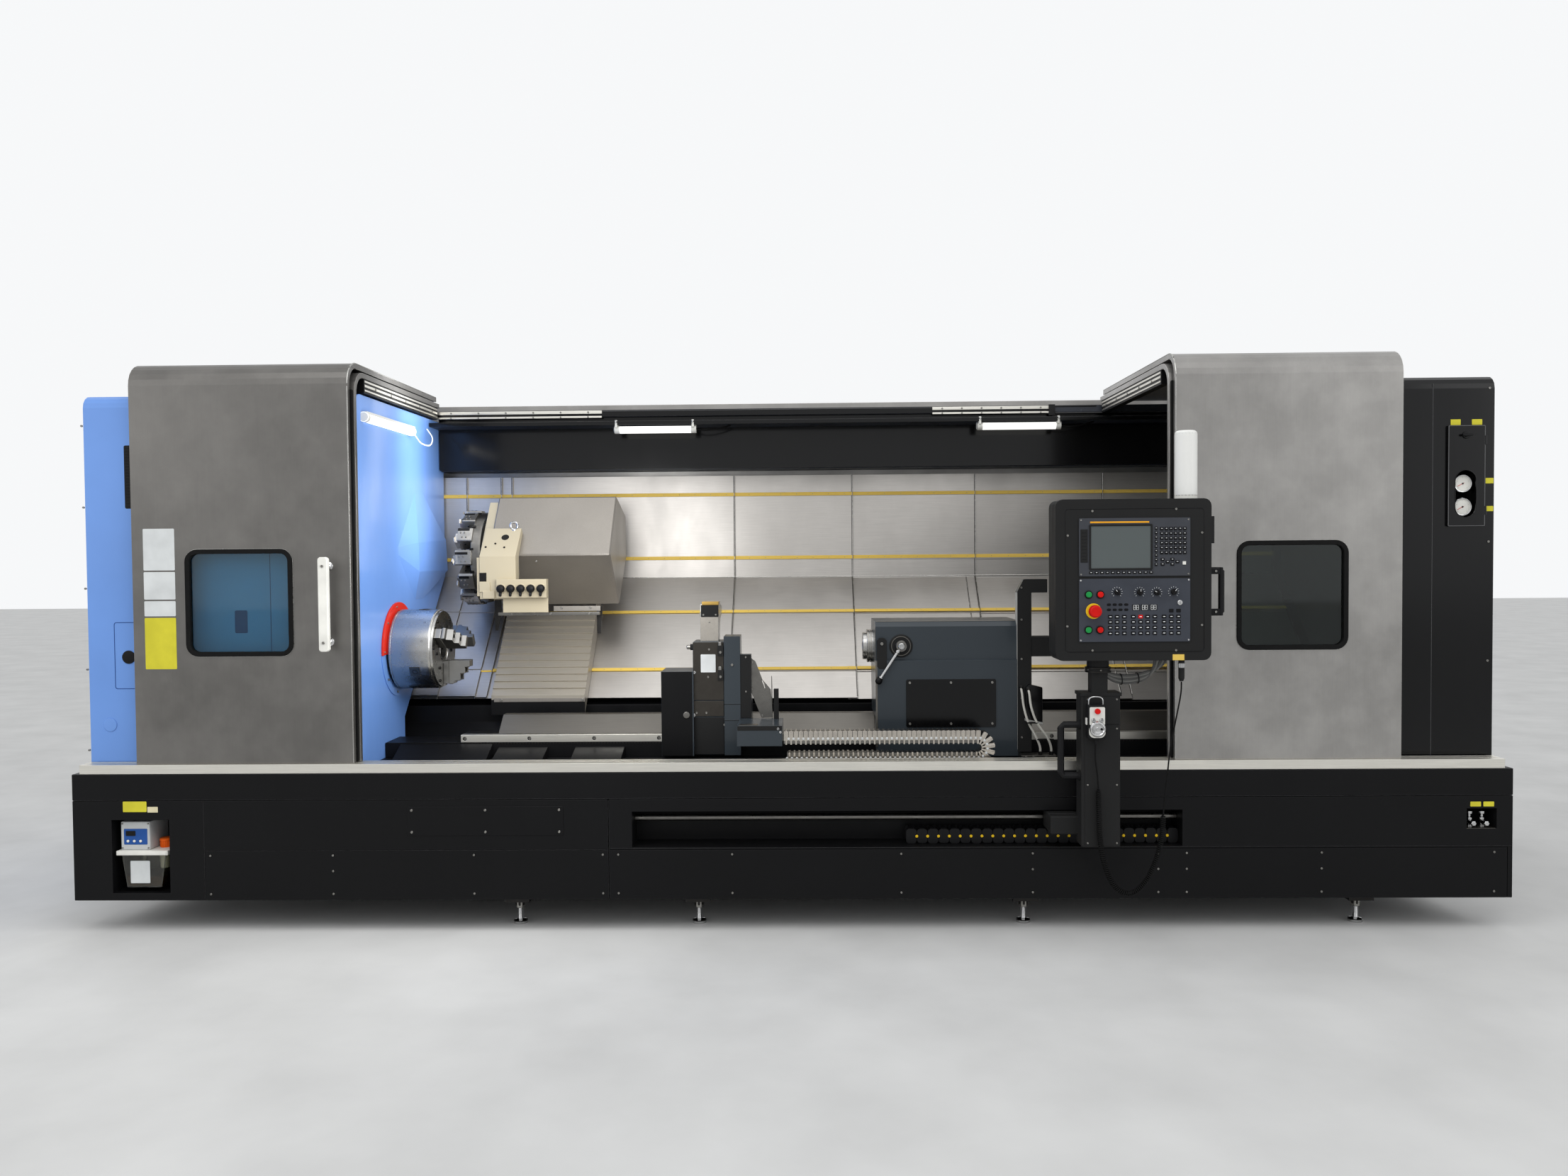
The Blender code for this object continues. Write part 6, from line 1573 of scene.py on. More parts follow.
def door_edges(side):
    low, high = room(f"{side}_outer_door")
    inward = 1 if side == "left" else -1
    edge = high.x if side == "left" else low.x
    seal = Form()
    near, far = sorted((edge - inward * 0.003, edge + inward * 0.009))
    seal.block((near, far), (0.0405, 0.0515), (low.z + 0.004, high.z - 0.11), 0, 0.003)
    make(seal, f"{side}_door_seal", [black_rubber], f"{side}_inner_leaf")

    rolled = Form()
    near, far = sorted((edge - inward * 0.0045, edge))
    rolled.block((near, far), (DOOR_FACE - 0.0012, DOOR_FACE + 0.001), (low.z + 0.002, high.z - 0.1), 0, 0.0009)
    shoulder = [
        (edge - inward * 0.002, DOOR_FACE + 0.0005 + 0.09 * (1 - math.cos(t)), high.z - 0.09 + 0.0902 * math.sin(t))
        for t in [i * math.pi / 24 for i in range(13)]
    ]
    shoulder += [(edge - inward * 0.002, high.y - 0.005, high.z - 0.0005)]
    rolled.add(pipe(shoulder, 0.0028, 8), 0)
    rolled.block((near, far), (DOOR_FACE + 0.02, high.y), (high.z - 0.021, high.z - 0.0195), 0, 0.0005)
    make(rolled, f"{side}_door_edge", [bright_steel], f"{side}_outer_leaf")

    leaf_low, leaf_high = room(f"{side}_inner_door")
    inner_edge = leaf_high.x if side == "left" else leaf_low.x
    roof = leaf_high.z - 0.02
    floor = 2.106
    channel = Form()
    near, far = sorted((inner_edge - inward * 0.002, inner_edge - inward * 0.034))
    channel.block((near, far), (0.16, leaf_high.y - 0.02), (floor, roof + 0.0005), 0, 0.002)
    face = inner_edge - inward * 0.002
    for level, tall in ((roof - 0.01, 0.008), (roof - 0.027, 0.01), (roof - 0.045, 0.007)):
        strip = sorted((face, face + inward * 0.002))
        channel.block(strip, (0.165, leaf_high.y - 0.03), (level - tall / 2, level + tall / 2), 1, 0.0008)
    for number in range(5):
        channel.screw((face, 0.28 + number * 0.18, roof - 0.027), (inward, 0, 0), 0.005, 2)
    make(channel, f"{side}_roof_channel", [black_paint, rail_steel, screw_steel], f"{side}_inner_leaf")


for side in WINDOWS:
    door_window(side)
    door_edges(side)

# %% [markdown]
# The left leaf is pulled by a white bar handle on two chrome studs; beside its window are bare sign plates:
# three white ones and a yellow one. They stay blank, with a printed gloss and thin raised edges.

# %% Door handle and sign plates
def door_handle():
    low, high = room("left_door_handle")
    middle = (low.x + high.x) / 2
    form = Form()
    bar = rounded((low.x + 0.001, high.x - 0.001), (low.z, high.z), 0.012)
    form.add(sheet_metal(bar, low.y, low.y + 0.024, "y"), 0, 0.005, 3)
    for height in (low.z + 0.035, high.z - 0.035):
        stud = mm(16.5, -0.5, 16.5, 4, 12, 6, 9.5, 8, 9.5, 45, 0, 45)
        form.spin(stud, (middle, DOOR_FACE, height), FORWARD, 24, 1, 0.0004)
        form.screw((middle, low.y, height), FORWARD, 0.0055, 2)
    make(form, "door_bar_handle", [white_plastic, chrome, screw_steel], "left_outer_leaf", "left_door_handle")


def sign_plates():
    form = Form()
    x = (-2.4785, -2.3555)
    for low, high, finish in ((1.41, 1.572, 0), (1.297, 1.404, 0), (1.232, 1.291, 0), (1.026, 1.226, 1)):
        form.plate(x, (low, high), 0.004, (DOOR_FACE - 0.0008, DOOR_FACE + 0.0003), finish, 0.0003)
    make(form, "door_sign_plates", [sign_white, sign_yellow], "left_outer_leaf")


sign_white = moulded("white sign film", tone(205, 208, 208), 0.35)
sign_yellow = moulded("yellow sign film", tone(205, 196, 60), 0.38)
door_handle()
sign_plates()

# %% [markdown]
# The blue headstock cover has a screwed access panel beside the door, an air grille higher up, and the motor
# cover on its end. Behind the left window a pull recess can be made out; it is drawn as a flat darker blue
# plate, painted shade in place of its hollow.

# %% Blue cover details
def blue_cover():
    low, high = room("headstock_cover")
    face = 0.09
    form = Form()
    x = (-2.642, -2.53)
    height = (0.942, 1.206)
    rim = 0.0022
    outer = rounded(x, height, 0.01)
    inner = rounded(grown(x, -rim), grown(height, -rim), 0.008)
    form.add(sheet_metal(outer, face - 0.0009, face + 0.0002, "y", [inner]), 0)
    bung = mm(26.2, -1, 26.2, 2.2, 24, 3.2, 0, 3.2)
    form.spin(bung, (-2.665, face, 0.8), FORWARD, 40, 1)
    form.spin(bung, (-2.585, face, 1.068), FORWARD, 40, 2)
    vent = (-2.58, -2.53)
    for number in range(20):
        level = 1.662 + number * 0.012
        form.block(vent, (face - 0.0022, face + 0.001), (level, level + 0.0062), 2, 0.0006)
    form.plate(grown(vent, 0.006), (1.654, 1.902), 0.006, (face - 0.0012, face + 0.0002), 2, 0.0004)
    # Painted shade: a flat darker blue plate stands for the pull recess.
    form.plate((-2.158, -2.108), (1.16, 1.25), 0.006, (face - 0.001, face + 0.0002), 3, 0.0004)
    form.block((-2.016, -2.0135), (face - 0.0007, face + 0.0002), (low.z + 0.01, high.z - 0.06), 3)
    for level in (0.7, 1.02, 1.34, 1.66, 1.98):
        form.screw((low.x + 0.018, face, level), FORWARD, 0.0042, 4)
    for depth, level in ((0.18, 0.68), (0.6, 0.68), (0.18, 0.962), (0.6, 0.962)):
        form.screw((-2.77, depth, level), (-1, 0, 0), 0.0042, 4)
    make(form, "blue_cover_details", [seam_and_shade_blue, blue_paint, black_plastic, seam_and_shade_blue, screw_steel], "frame")


# A darker blue for panel seams, and for the painted shade of the pull recess.
seam_and_shade_blue = painted("blue panel seam and painted recess shade", tone(44, 76, 140), 0.5, bright=1.1)
blue_cover()

# %% [markdown]
# Under the roof the beam carries two screwed rails for the inner leaves, a black ledge, and two sealed tube
# lamps on clips. Thin pale strips beside the rails are a painted highlight along the beam's edges. The dark
# fascia below keeps coolant in; it is dull and speckled where it has dried.

# %% Top beam rails and lamps
def beam_details():
    low, high = room("top_beam")
    rail_end = 1.25
    form = Form()
    front = 1.104
    form.block((low.x + 0.002, high.x - 0.002), (1.1265, 1.1305), (low.z + 0.002, 2.1495), 3, 0.001)
    form.block((low.x + 0.004, rail_end), (front - 0.0012, front + 0.001), (2.116, 2.1445), 3, 0.001)
    for start, end in ((low.x + 0.004, -0.874), (0.694, rail_end)):
        form.block((start, end), (front - 0.003, front + 0.001), (2.13, 2.1445), 0, 0.001)
        form.block((start, end), (front - 0.006, front + 0.001), (2.1095, 2.1185), 0, 0.001)
        for number in range(6):
            x = start + (end - start) * (number + 0.5) / 6
            form.screw((x, front - 0.003, 2.137), FORWARD, 0.0045, 1)
            form.screw((x, front - 0.006, 2.114), FORWARD, 0.0038, 1)
    # Painted highlight: a thin pale strip along the beam's edge between the rails.
    form.block((-0.874, 0.694), (front - 0.0022, front + 0.001), (2.14, 2.1424), 2, 0.0005)
    form.block((rail_end + 0.004, high.x - 0.9), (front - 0.002, front + 0.001), (2.138, 2.1445), 3, 0.001)
    form.block((rail_end + 0.004, high.x - 0.01), (front - 0.004, front + 0.001), (2.1095, 2.1125), 2, 0.0005)
    form.block((rail_end - 0.01, rail_end + 0.02), (front - 0.012, front + 0.001), (2.098, 2.15), 3, 0.001)
    form.block((low.x + 0.002, high.x - 0.002), (0.983, 0.9865), (2.0615, 2.0805), 3, 0.0015)
    make(form, "beam_rails", [rail_steel, screw_steel, beam_edge_highlight, gloss_black], "frame")

    lamps = Form()
    radius = 0.0192
    for start, end in ((-0.8, -0.417), (0.89, 1.277)):
        centre = (start, 1.01, 2.0435)
        reach = end - start
        lamps.spin(
            [(0, 0.012), (radius, 0.014), (radius, reach - 0.014), (0, reach - 0.012)], centre, SIDEWAYS, 28, 0
        )
        for place in (-0.001, reach - 0.026):
            cap = [
                (0, place), (radius * 0.8, place), (radius * 1.04, place + 0.004),
                (radius * 1.04, place + 0.025), (radius, place + 0.027), (0, place + 0.027),
            ]
            lamps.spin(cap, centre, SIDEWAYS, 28, 1)
            clip_x = start + place + 0.006
            lamps.block((clip_x, clip_x + 0.014), (0.992, 1.028), (2.055, 2.0635), 1, 0.001)
            lamps.block((clip_x + 0.002, clip_x + 0.012), (0.9815, 0.9935), (2.05, 2.084), 1, 0.001)
            lamps.spin(mm(5.5, 0, 5.5, 6, 4, 9, 0, 9), (clip_x + 0.007, 0.9815, 2.076), FORWARD, 12, 2)
        cable = [
            (end, 1.01, 2.042), (end + 0.04, 1.008, 2.036), (end + 0.1, 1.02, 2.044), (end + 0.16, 1.04, 2.061)
        ]
        cable_name = "left_beam_lamp_cable" if start < 0 else "right_beam_lamp_cable"
        loose_line(cable_name, cable, 0.0064, black_rubber, "frame")
    make(lamps, "beam_lamp_tubes", [lamp_white, white_plastic, chrome], "frame")


# A pale grey for the painted highlight strips along the beam.
beam_edge_highlight = painted("painted beam edge highlight", tone(92, 92, 93), 0.35, bright=1.2)
beam_details()

# %% [markdown]
# The front bed is a painted casting. Only its guide rail and the crown behind it are ground bright, so they are
# thin steel faces over the black casting. In front of it lies the chip tray with its raised stiffening panels.

# %% Front bed rails and chip tray
RAIL_LEFT = -1.348
CROWN_LEFT = -1.2


def front_bed():
    low, high = room("front_way")
    right = high.x - 0.003
    rail_front = low.y
    form = Form()
    skin = 0.0012
    rail = sheet_metal(
        [(RAIL_LEFT, 0.6825), (right, 0.6825), (right, 0.7122), (RAIL_LEFT, 0.7122)], rail_front - skin,
        rail_front + 0.0006, "y", [ring((RAIL_LEFT + 0.016 + 0.27 * n, 0.697), 0.0082, 16) for n in range(13)],
    )
    form.add(rail, 0)
    form.block((RAIL_LEFT, right), (rail_front, 0.3855), (0.7118, 0.713), 0, 0)
    crown = sheet_metal(
        mm(385.2, 712.2, 470.2, 780.2, 520.2, 780.2, 520.2, 781.2, 469.6, 781.2, 384.5, 713), CROWN_LEFT, right, "x"
    )
    form.add(crown, 1)
    form.block((CROWN_LEFT - 0.0012, CROWN_LEFT + 0.0005), (0.3865, 0.5195), (0.713, 0.713 + 0.001), 1, 0)
    for number in range(13):
        spot = (RAIL_LEFT + 0.016 + 0.27 * number, rail_front + 0.006, 0.697)
        form.spin(mm(6.2, -4, 6.2, 1, 3.4, 1, 3.4, -2, 0, -2), spot, FORWARD, 14, 2)
    teeth_top = 0.6822
    for number in range(int((right - RAIL_LEFT) / 0.0126)):
        x = RAIL_LEFT + 0.004 + number * 0.0126
        form.block((x, x + 0.0062), (rail_front - 0.0008, rail_front + 0.002), (teeth_top - 0.008, teeth_top), 3, 0)
    make(form, "bed_rails", [rail_steel, way_steel, screw_steel, black_steel], "frame")

    tray = Form()
    floor = 0.6193
    for start in (-1.188, -0.868):
        width = 0.205
        panel = sheet_metal(
            [
                (0.205, floor), (0.205, floor + 0.004), (0.335, floor + 0.044),
                (0.345, floor + 0.044), (0.345, floor),
            ],
            start, start + width, "x",
        )
        tray.add(panel, 0, 0.002)
        tray.block((start, start + width), (0.2015, 0.2055), (floor + 0.0002, floor + 0.0045), 1, 0.0008)
        for x in (start + 0.012, start + width - 0.012):
            tray.screw((x, 0.2015, floor + 0.012), (0, -0.6, 0.8), 0.003, 1)
    slope = sheet_metal([(0.22, floor), (0.345, floor + 0.058), (0.345, floor)], -1.6, -1.215, "x")
    tray.add(slope, 0, 0.002)
    make(tray, "chip_tray_panels", [black_paint, screw_steel], "frame")


front_bed()

# %% [markdown]
# The steady rest stands on the front bed. Its column is painted, the block beside it is machined all over and
# dark with oil, and it carries clamps, hose fittings and a bare rating plate. A bright chute leads chips away,
# and the light steel arm ends in a black pad with a brass edge.

# %% Steady rest
def fitting(form, centre, axis, radius, steel=0, dark=1):
    """A hose fitting: a hexagon with a round end."""
    form.spin([(radius, -0.004), (radius, 0.01), (0, 0.01)], centre, axis, 6, dark, 0.0008)
    form.spin(
        [(radius * 0.7, 0.008), (radius * 0.7, 0.022), (radius * 0.5, 0.025), (0, 0.025)], centre, axis, 18, steel
    )


def steady():
    form = Form()
    column = mm(-246.5, 632, -179.5, 632, -179.5, 1119, -246.5, 1119)
    form.add(sheet_metal(column, 0.2975, 0.3005, "y"), 0, 0.0015)
    for level in (0.842, 0.775):
        form.block((-0.247, -0.179), (0.2967, 0.2985), (level - 0.0012, level + 0.0012), 6, 0.0004)
    form.screw((-0.213, 0.2975, 1.003), FORWARD, 0.0055, 5)
    form.plate((-0.3735, -0.2485), (0.858, 1.0955), 0.003, (0.3065, 0.3105), 1, 0.0015)
    form.plate((-0.3755, -0.2485), (0.792, 0.855), 0.002, (0.3025, 0.3105), 1, 0.002)
    form.plate((-0.3725, -0.2485), (0.635, 0.786), 0.002, (0.3055, 0.3105), 2, 0.0015)
    form.plate((-0.342, -0.281), (0.972, 1.046), 0.003, (0.3055, 0.307), 3, 0.0002)
    for x, level in ((-0.307, 1.066), (-0.312, 0.953), (-0.32, 0.806), (-0.36, 0.806)):
        form.screw((x, 0.3065 if level > 0.85 else 0.3025, level), FORWARD, 0.0045, 5)
    for level in (1.065, 0.965):
        form.block((-0.272, -0.2485), (0.292, 0.3075), (level - 0.026, level + 0.018), 2, 0.002)
        form.screw((-0.26, 0.292, level - 0.01), FORWARD, 0.0055, 5)
        form.spin(mm(8, 0, 8, 12, 6.5, 14, 6.5, 2, 0, 2), (-0.262, 0.3, level + 0.018), UP, 16, 5)
    form.screw((-0.368, 0.3065, 0.972), FORWARD, 0.0062, 7)
    fitting(form, Vector((-0.376, 0.325, 1.075)), (-1, 0, 0), 0.013, 5, 2)
    fitting(form, Vector((-0.386, 0.3, 0.885)), (-1, 0, 0), 0.011, 5, 2)
    low_front = 0.2825
    form.plate((-0.5025, -0.3765), (0.632, 0.9775), 0.004, (low_front, 0.2855), 4, 0.002)
    form.spin(mm(13.5, -1, 13.5, 3, 11.5, 4, 0, 4), (-0.4, low_front, 0.8), FORWARD, 28, 8, 0.0003)
    form.screw((-0.372, 0.302, 0.797), FORWARD, 0.0075, 7)
    form.screw((-0.246, 0.302, 0.757), FORWARD, 0.005, 5)
    form.add(sheet_metal(mm(-181.5, 785, -135, 785, -135, 1044, -181.5, 1044), 0.3005, 0.3055, "y"), 2, 0.0012)
    for level in (0.893, 1.034):
        form.screw((-0.157, 0.3005, level), FORWARD, 0.0038, 5)
    chute = mm(-136.5, 1030, -118, 1015, -90, 940, -56, 900, -48, 785, -95, 783, -136.5, 890)
    slot = mm(-90, 937, -83, 923, -79, 905, -81.5, 904, -86, 920, -92.5, 935)
    form.add(sheet_metal(chute, 0.316, 0.319, "y", [slot]), 9, 0)
    form.add(sheet_metal(mm(318, 783, 318, 955, 360, 900, 372, 783), -0.0535, -0.0505, "x"), 9, 0.0006)
    form.block((-0.044, -0.024), (0.3, 0.33), (0.7795, 0.902), 2, 0.002)
    for spot in ((-0.131, 1.01), (-0.133, 0.9), (-0.092, 0.792)):
        form.screw((spot[0], 0.316, spot[1]), FORWARD, 0.0042, 5)
    form.block((-0.176, -0.102), (0.112, 0.15), (0.7795, 0.7825), 8, 0.0006)
    for x in (-0.022, -0.013):
        form.screw((x, 0.105, 0.768 if x < -0.02 else 0.755), FORWARD, 0.005, 7)
    form.block((-0.182, -0.007), (0.1035, 0.1055), (0.762, 0.7795), 2, 0.0006)
    finishes = [
        casting_paint, oily_steel, matte_black, sign_white, black_paint,
        screw_steel, gloss_black, chrome, dark_steel, dark_steel,
    ]
    make(form, "steady_details", finishes, "steady")

    arm = Form()
    low, high = room("steady_arm")
    face = low.y
    arm.block((low.x + 0.001, high.x - 0.001), (face - 0.0015, face + 0.0005), (1.1, 1.198), 0, 0.0004)
    arm.block((low.x + 0.004, high.x + 0.001), (face - 0.01, face + 0.001), (1.1985, 1.247), 1, 0.0012)
    arm.block((low.x + 0.008, high.x + 0.002), (face - 0.008, face + 0.06), (1.2472, 1.2615), 2, 0.0015)
    arm.screws((low.x + 0.014, high.x - 0.01), face - 0.01, (1.2075,), 0.0038, 3)
    arm.screw(((low.x + high.x) / 2, face - 0.0015, 1.176), FORWARD, 0.0035, 3)
    make(arm, "steady_arm_pad", [insert_steel, matte_black, brass, screw_steel], "steady_finger")


oily_steel = machined("oily machined steel", tone(74, 71, 67), 0.34)
steady()

# %% [markdown]
# The metal conduit chain of the steady rest is made of bright ribs on a flat strip. Rib, gap and rivet repeat
# along its line: a straight upper run, a half turn, and a lower run on the base.

# %% Metal conduit chain
def conduit_chain():
    low, high = room("drag_chain")
    thickness = 0.055
    outer = (high.z - low.z) / 2
    mean = outer - thickness / 2
    bend_x = high.x - outer
    centre_z = (low.z + high.z) / 2
    straight = bend_x - low.x
    turn_length = math.pi * mean
    pitch = 0.0193
    form = Form()
    count = int((straight * 2 + turn_length) / pitch)
    for number in range(count):
        walked = (number + 0.5) * pitch
        if walked < straight:
            spot, turn = Vector((low.x + walked, 0, centre_z + mean)), 0.0
        elif walked < straight + turn_length:
            turn = (walked - straight) / mean
            spot = Vector((bend_x + mean * math.sin(turn), 0, centre_z + mean * math.cos(turn)))
        else:
            spot, turn = Vector((bend_x - (walked - straight - turn_length), 0, centre_z - mean)), math.pi
        seat = Matrix.Translation(spot) @ Matrix.Rotation(turn, 4, "Y")
        half = thickness / 2
        rib = bar_stock((-0.0034, 0.0034), (low.y + 0.0005, high.y - 0.0005), (-half + 0.0006, half - 0.0006))
        core = bar_stock((-pitch / 2, pitch / 2), (low.y + 0.004, high.y - 0.004), (-half + 0.004, half - 0.004))
        link = sheet_metal(
            [
                (-pitch * 0.45, -0.012), (pitch * 0.45, -0.012),
                (pitch * 0.45, half - 0.002), (-pitch * 0.45, half - 0.002),
            ],
            low.y + 0.0022, low.y + 0.0045, "y",
        )
        for part, finish, edge in ((rib, 0, 0.0009), (core, 1, 0), (link, 0, 0.0006)):
            part.transform(seat)
            form.add(part, finish, edge)
        form.put(
            turned(mm(5.2, -1, 5.2, 1.5, 3.6, 3, 0, 3.2), (0, 0, 0), FORWARD, 12),
            seat @ Matrix.Translation((pitch / 2, low.y + 0.0022, -0.004)), 2,
        )
    make(form, "conduit_chain", [insert_steel, dark_steel, sign_white], "frame", "drag_chain")


conduit_chain()

# %% [markdown]
# The tailstock casting is satin slate paint with a glossy access plate. Its clamp lever turns on a round seat and
# ends in a black knob, and the quill shows as stepped rings with a bright middle.

# %% Tailstock, quill and clamp lever
TAIL_X = (0.374, 0.961)
SPINDLE_PLACE = (0.53, 1.06)


def tailstock_details():
    form = Form()
    plate_x = (0.4965, 0.8615)
    plate_z = (0.7435, 0.9395)
    form.plate(plate_x, plate_z, 0.008, (0.295, 0.2965), 0, 0.0007)
    form.screws(
        (plate_x[0] + 0.015, sum(plate_x) / 2, plate_x[1] - 0.015),
        0.295, (plate_z[0] + 0.014, plate_z[1] - 0.014), 0.0052, 1,
    )
    form.block((TAIL_X[0] - 0.0008, TAIL_X[0] + 0.007), (0.299, 0.3005), (0.662, 1.014), 2, 0.0006)
    form.block((TAIL_X[0] - 0.0012, TAIL_X[0] + 0.0005), (0.316, 0.33), (1.03, 1.15), 2, 0.0006)
    form.add(pipe([(TAIL_X[0] + 0.003, 0.3345, 1.1742), (0.948, 0.3345, 1.1742)], 0.0016, 8), 2)
    clamp = mm(379, 992, 389, 982, 409, 982, 419, 992, 419, 1098, 409, 1108, 389, 1108, 379, 1098)
    form.add(sheet_metal(clamp, 0.2985, 0.3165, "y"), 3, 0.0015)
    form.screw((0.399, 0.2985, 1.085), FORWARD, 0.0065, 1)
    seat = mm(47.5, -1, 47.5, 3.5, 44, 5.5, 26, 5.5, 0, 5.5)
    form.spin(seat, (0.478, 0.315, 1.075), FORWARD, 48, 3, 0)
    form.spin(mm(40, 0, 40, 6.8, 37, 6.8, 37, 0), (0.478, 0.315, 1.075), FORWARD, 48, 2, hollow=True)
    column = mm(
        949.5, 640.5, 1006.5, 640.5, 1006.5, 1289.5, 1070.5, 1289.5, 1070.5, 1344.5, 975, 1344.5, 949.5, 1294
    )
    form.add(sheet_metal(column, 0.296, 0.2985, "y"), 3, 0.0018)
    for z in (0.7, 0.86, 1.02, 1.18, 1.31):
        form.screw((0.966, 0.296, z), FORWARD, 0.0042, 1)
    form.block((0.9488, 0.9502), (0.299, 0.343), (0.65, 1.29), 4, 0.0005)
    form.block((1.001, 1.1005), (0.2985, 0.3645), (1.0295, 1.1105), 3, 0.003)
    slanted = mm(978, 776, 1046, 762, 1046, 906, 992, 919, 978, 905)
    form.add(sheet_metal(slanted, 0.27, 0.3, "y"), 0, 0.003)
    form.add(sheet_metal(mm(977.5, 770, 1046.5, 756, 1046.5, 764, 977.5, 778), 0.269, 0.3, "y"), 4, 0.0008)
    form.block((0.952, 1.092), (0.228, 0.2985), (0.6225, 0.638), 5, 0.0015)
    form.screws((0.972, 1.002, 1.052), 0.228, (0.63,), 0.0048, 6)
    finishes = [gloss_black, screw_steel, way_steel, matte_black, pale_grey_paint, way_steel, dark_steel]
    make(form, "tailstock_details", finishes, "tailstock")

    quill = Form()
    rings = mm(
        0, 200, 50, 200, 50, 0, 70, -0.2, 70, -13, 69, -14, 69, -16, 70, -17, 70, -25,
        68.5, -26.5, 58, -26.5, 58, -42, 56, -44, 24, -44, 22, -42, 11, 100, 0, 100,
    )
    quill.spin(rings, (TAIL_X[0], *SPINDLE_PLACE), SIDEWAYS, 64, 0, 0.0)
    for radius, start in ((0.0704, -0.0125), (0.0704, -0.024)):
        band = [
            (radius, start), (radius, start + 0.0065), (radius - 0.004, start + 0.0065), (radius - 0.004, start)
        ]
        quill.spin(band, (TAIL_X[0], *SPINDLE_PLACE), SIDEWAYS, 64, 1, hollow=True)
    make(quill, "quill_rings", [chuck_steel, bright_block_steel], "quill", "quill")

    lever = Form()
    pivot = Vector((0.478, 0.315, 1.075))
    hub = mm(24, 0.2, 24, 29, 21, 33.5, 15, 34, 0, 34)
    lever.spin(hub, pivot, FORWARD, 40, 0)
    cap = mm(13.5, 30, 13.5, 37.5, 11.5, 39.5, 5, 39.5, 4.5, 37, 0, 37)
    lever.spin(cap, pivot, FORWARD, 32, 1)
    start = pivot + Vector((0, -0.024, 0))
    end = start + Vector((-0.093, -0.0065, -0.14))
    reach = (end - start).length
    bar = [
        (0.0095, 0.016), (0.0095, 0.03), (0.007, 0.034), (0.0058, reach - 0.022),
        (0.0085, reach - 0.019), (0.0085, reach - 0.012), (0, reach - 0.012),
    ]
    lever.spin(bar, start, end - start, 20, 1)
    knob = mm(6.8, -15.5, 10, -12.5, 13.5, -6, 14.7, 1, 13.8, 6.5, 10.5, 11.2, 5.5, 13.8, 0, 14.4)
    lever.spin(knob, end, end - start, 32, 2)
    make(lever, "clamp_lever_parts", [dark_steel, chrome, gloss_plastic], "lever", "clamp_lever")


gloss_plastic = moulded("glossy black plastic", tone(20, 20, 21), 0.16)
tailstock_details()

# %% [markdown]
# Two pale hoses hang from the column behind the tailstock. They drop past a slanted box and end in fittings on a
# small steel block at its foot.

# %% Tailstock hoses
HOSE_WIDTH = 0.0095
HOSES = {
    "tailstock_hose_left": [
        (0.963, 0.2985, 0.905), (0.963, 0.27, 0.88), (0.966, 0.252, 0.832),
        (0.982, 0.243, 0.77), (1.012, 0.24, 0.712), (1.028, 0.24, 0.672), (1.03, 0.24, 0.639),
    ],
    "tailstock_hose_right": [
        (0.988, 0.272, 0.9), (0.989, 0.25, 0.88), (0.993, 0.236, 0.832), (1.014, 0.229, 0.77),
        (1.054, 0.23, 0.712), (1.072, 0.239, 0.672), (1.074, 0.24, 0.639),
    ],
}


def tailstock_hoses():
    for name, route in HOSES.items():
        loose_line(name, route, HOSE_WIDTH, hose_plastic, "tailstock")
    form = Form()
    for x, depth, level in ((0.963, 0.3, 0.9065), (0.988, 0.2735, 0.9015)):
        nut = mm(8.5, -1, 8.5, 10, 6.5, 12, 0, 12)
        form.spin(nut, (x, depth, level), (0, -0.75, -0.66), 6, 0, 0.0006)
    for x in (1.03, 1.074):
        form.spin(mm(8.5, 0, 8.5, 14, 6.5, 16, 0, 16), (x, 0.24, 0.6365), UP, 6, 0, 0.0006)
    for (x, depth, z), across in (((0.999, 0.236, 0.768), (0.022, 0.024)), ((1.05, 0.24, 0.7), (0.034, 0.02))):
        foot = rounded((x - across[0], x + across[0]), (depth - across[1] / 2, depth + across[1] / 2), 0.006)
        form.add(sheet_metal(foot, z - 0.002, z + 0.002, "z"), 1, 0.0008)
    make(form, "hose_fittings", [black_steel, black_rubber], "tailstock")


hose_plastic = moulded("pale hose plastic", tone(190, 188, 180), 0.42)
tailstock_hoses()

# %% [markdown]
# The right cabinet is glossy black. Two pressure gauges look through the oval opening of its small hinged
# door, which has a chrome T-latch. Bare dark tags sit above and beside the gauges.

# %% Cabinet, gauges and hatch
GAUGES = (1.705, 1.615)
GAUGE_X = 2.632


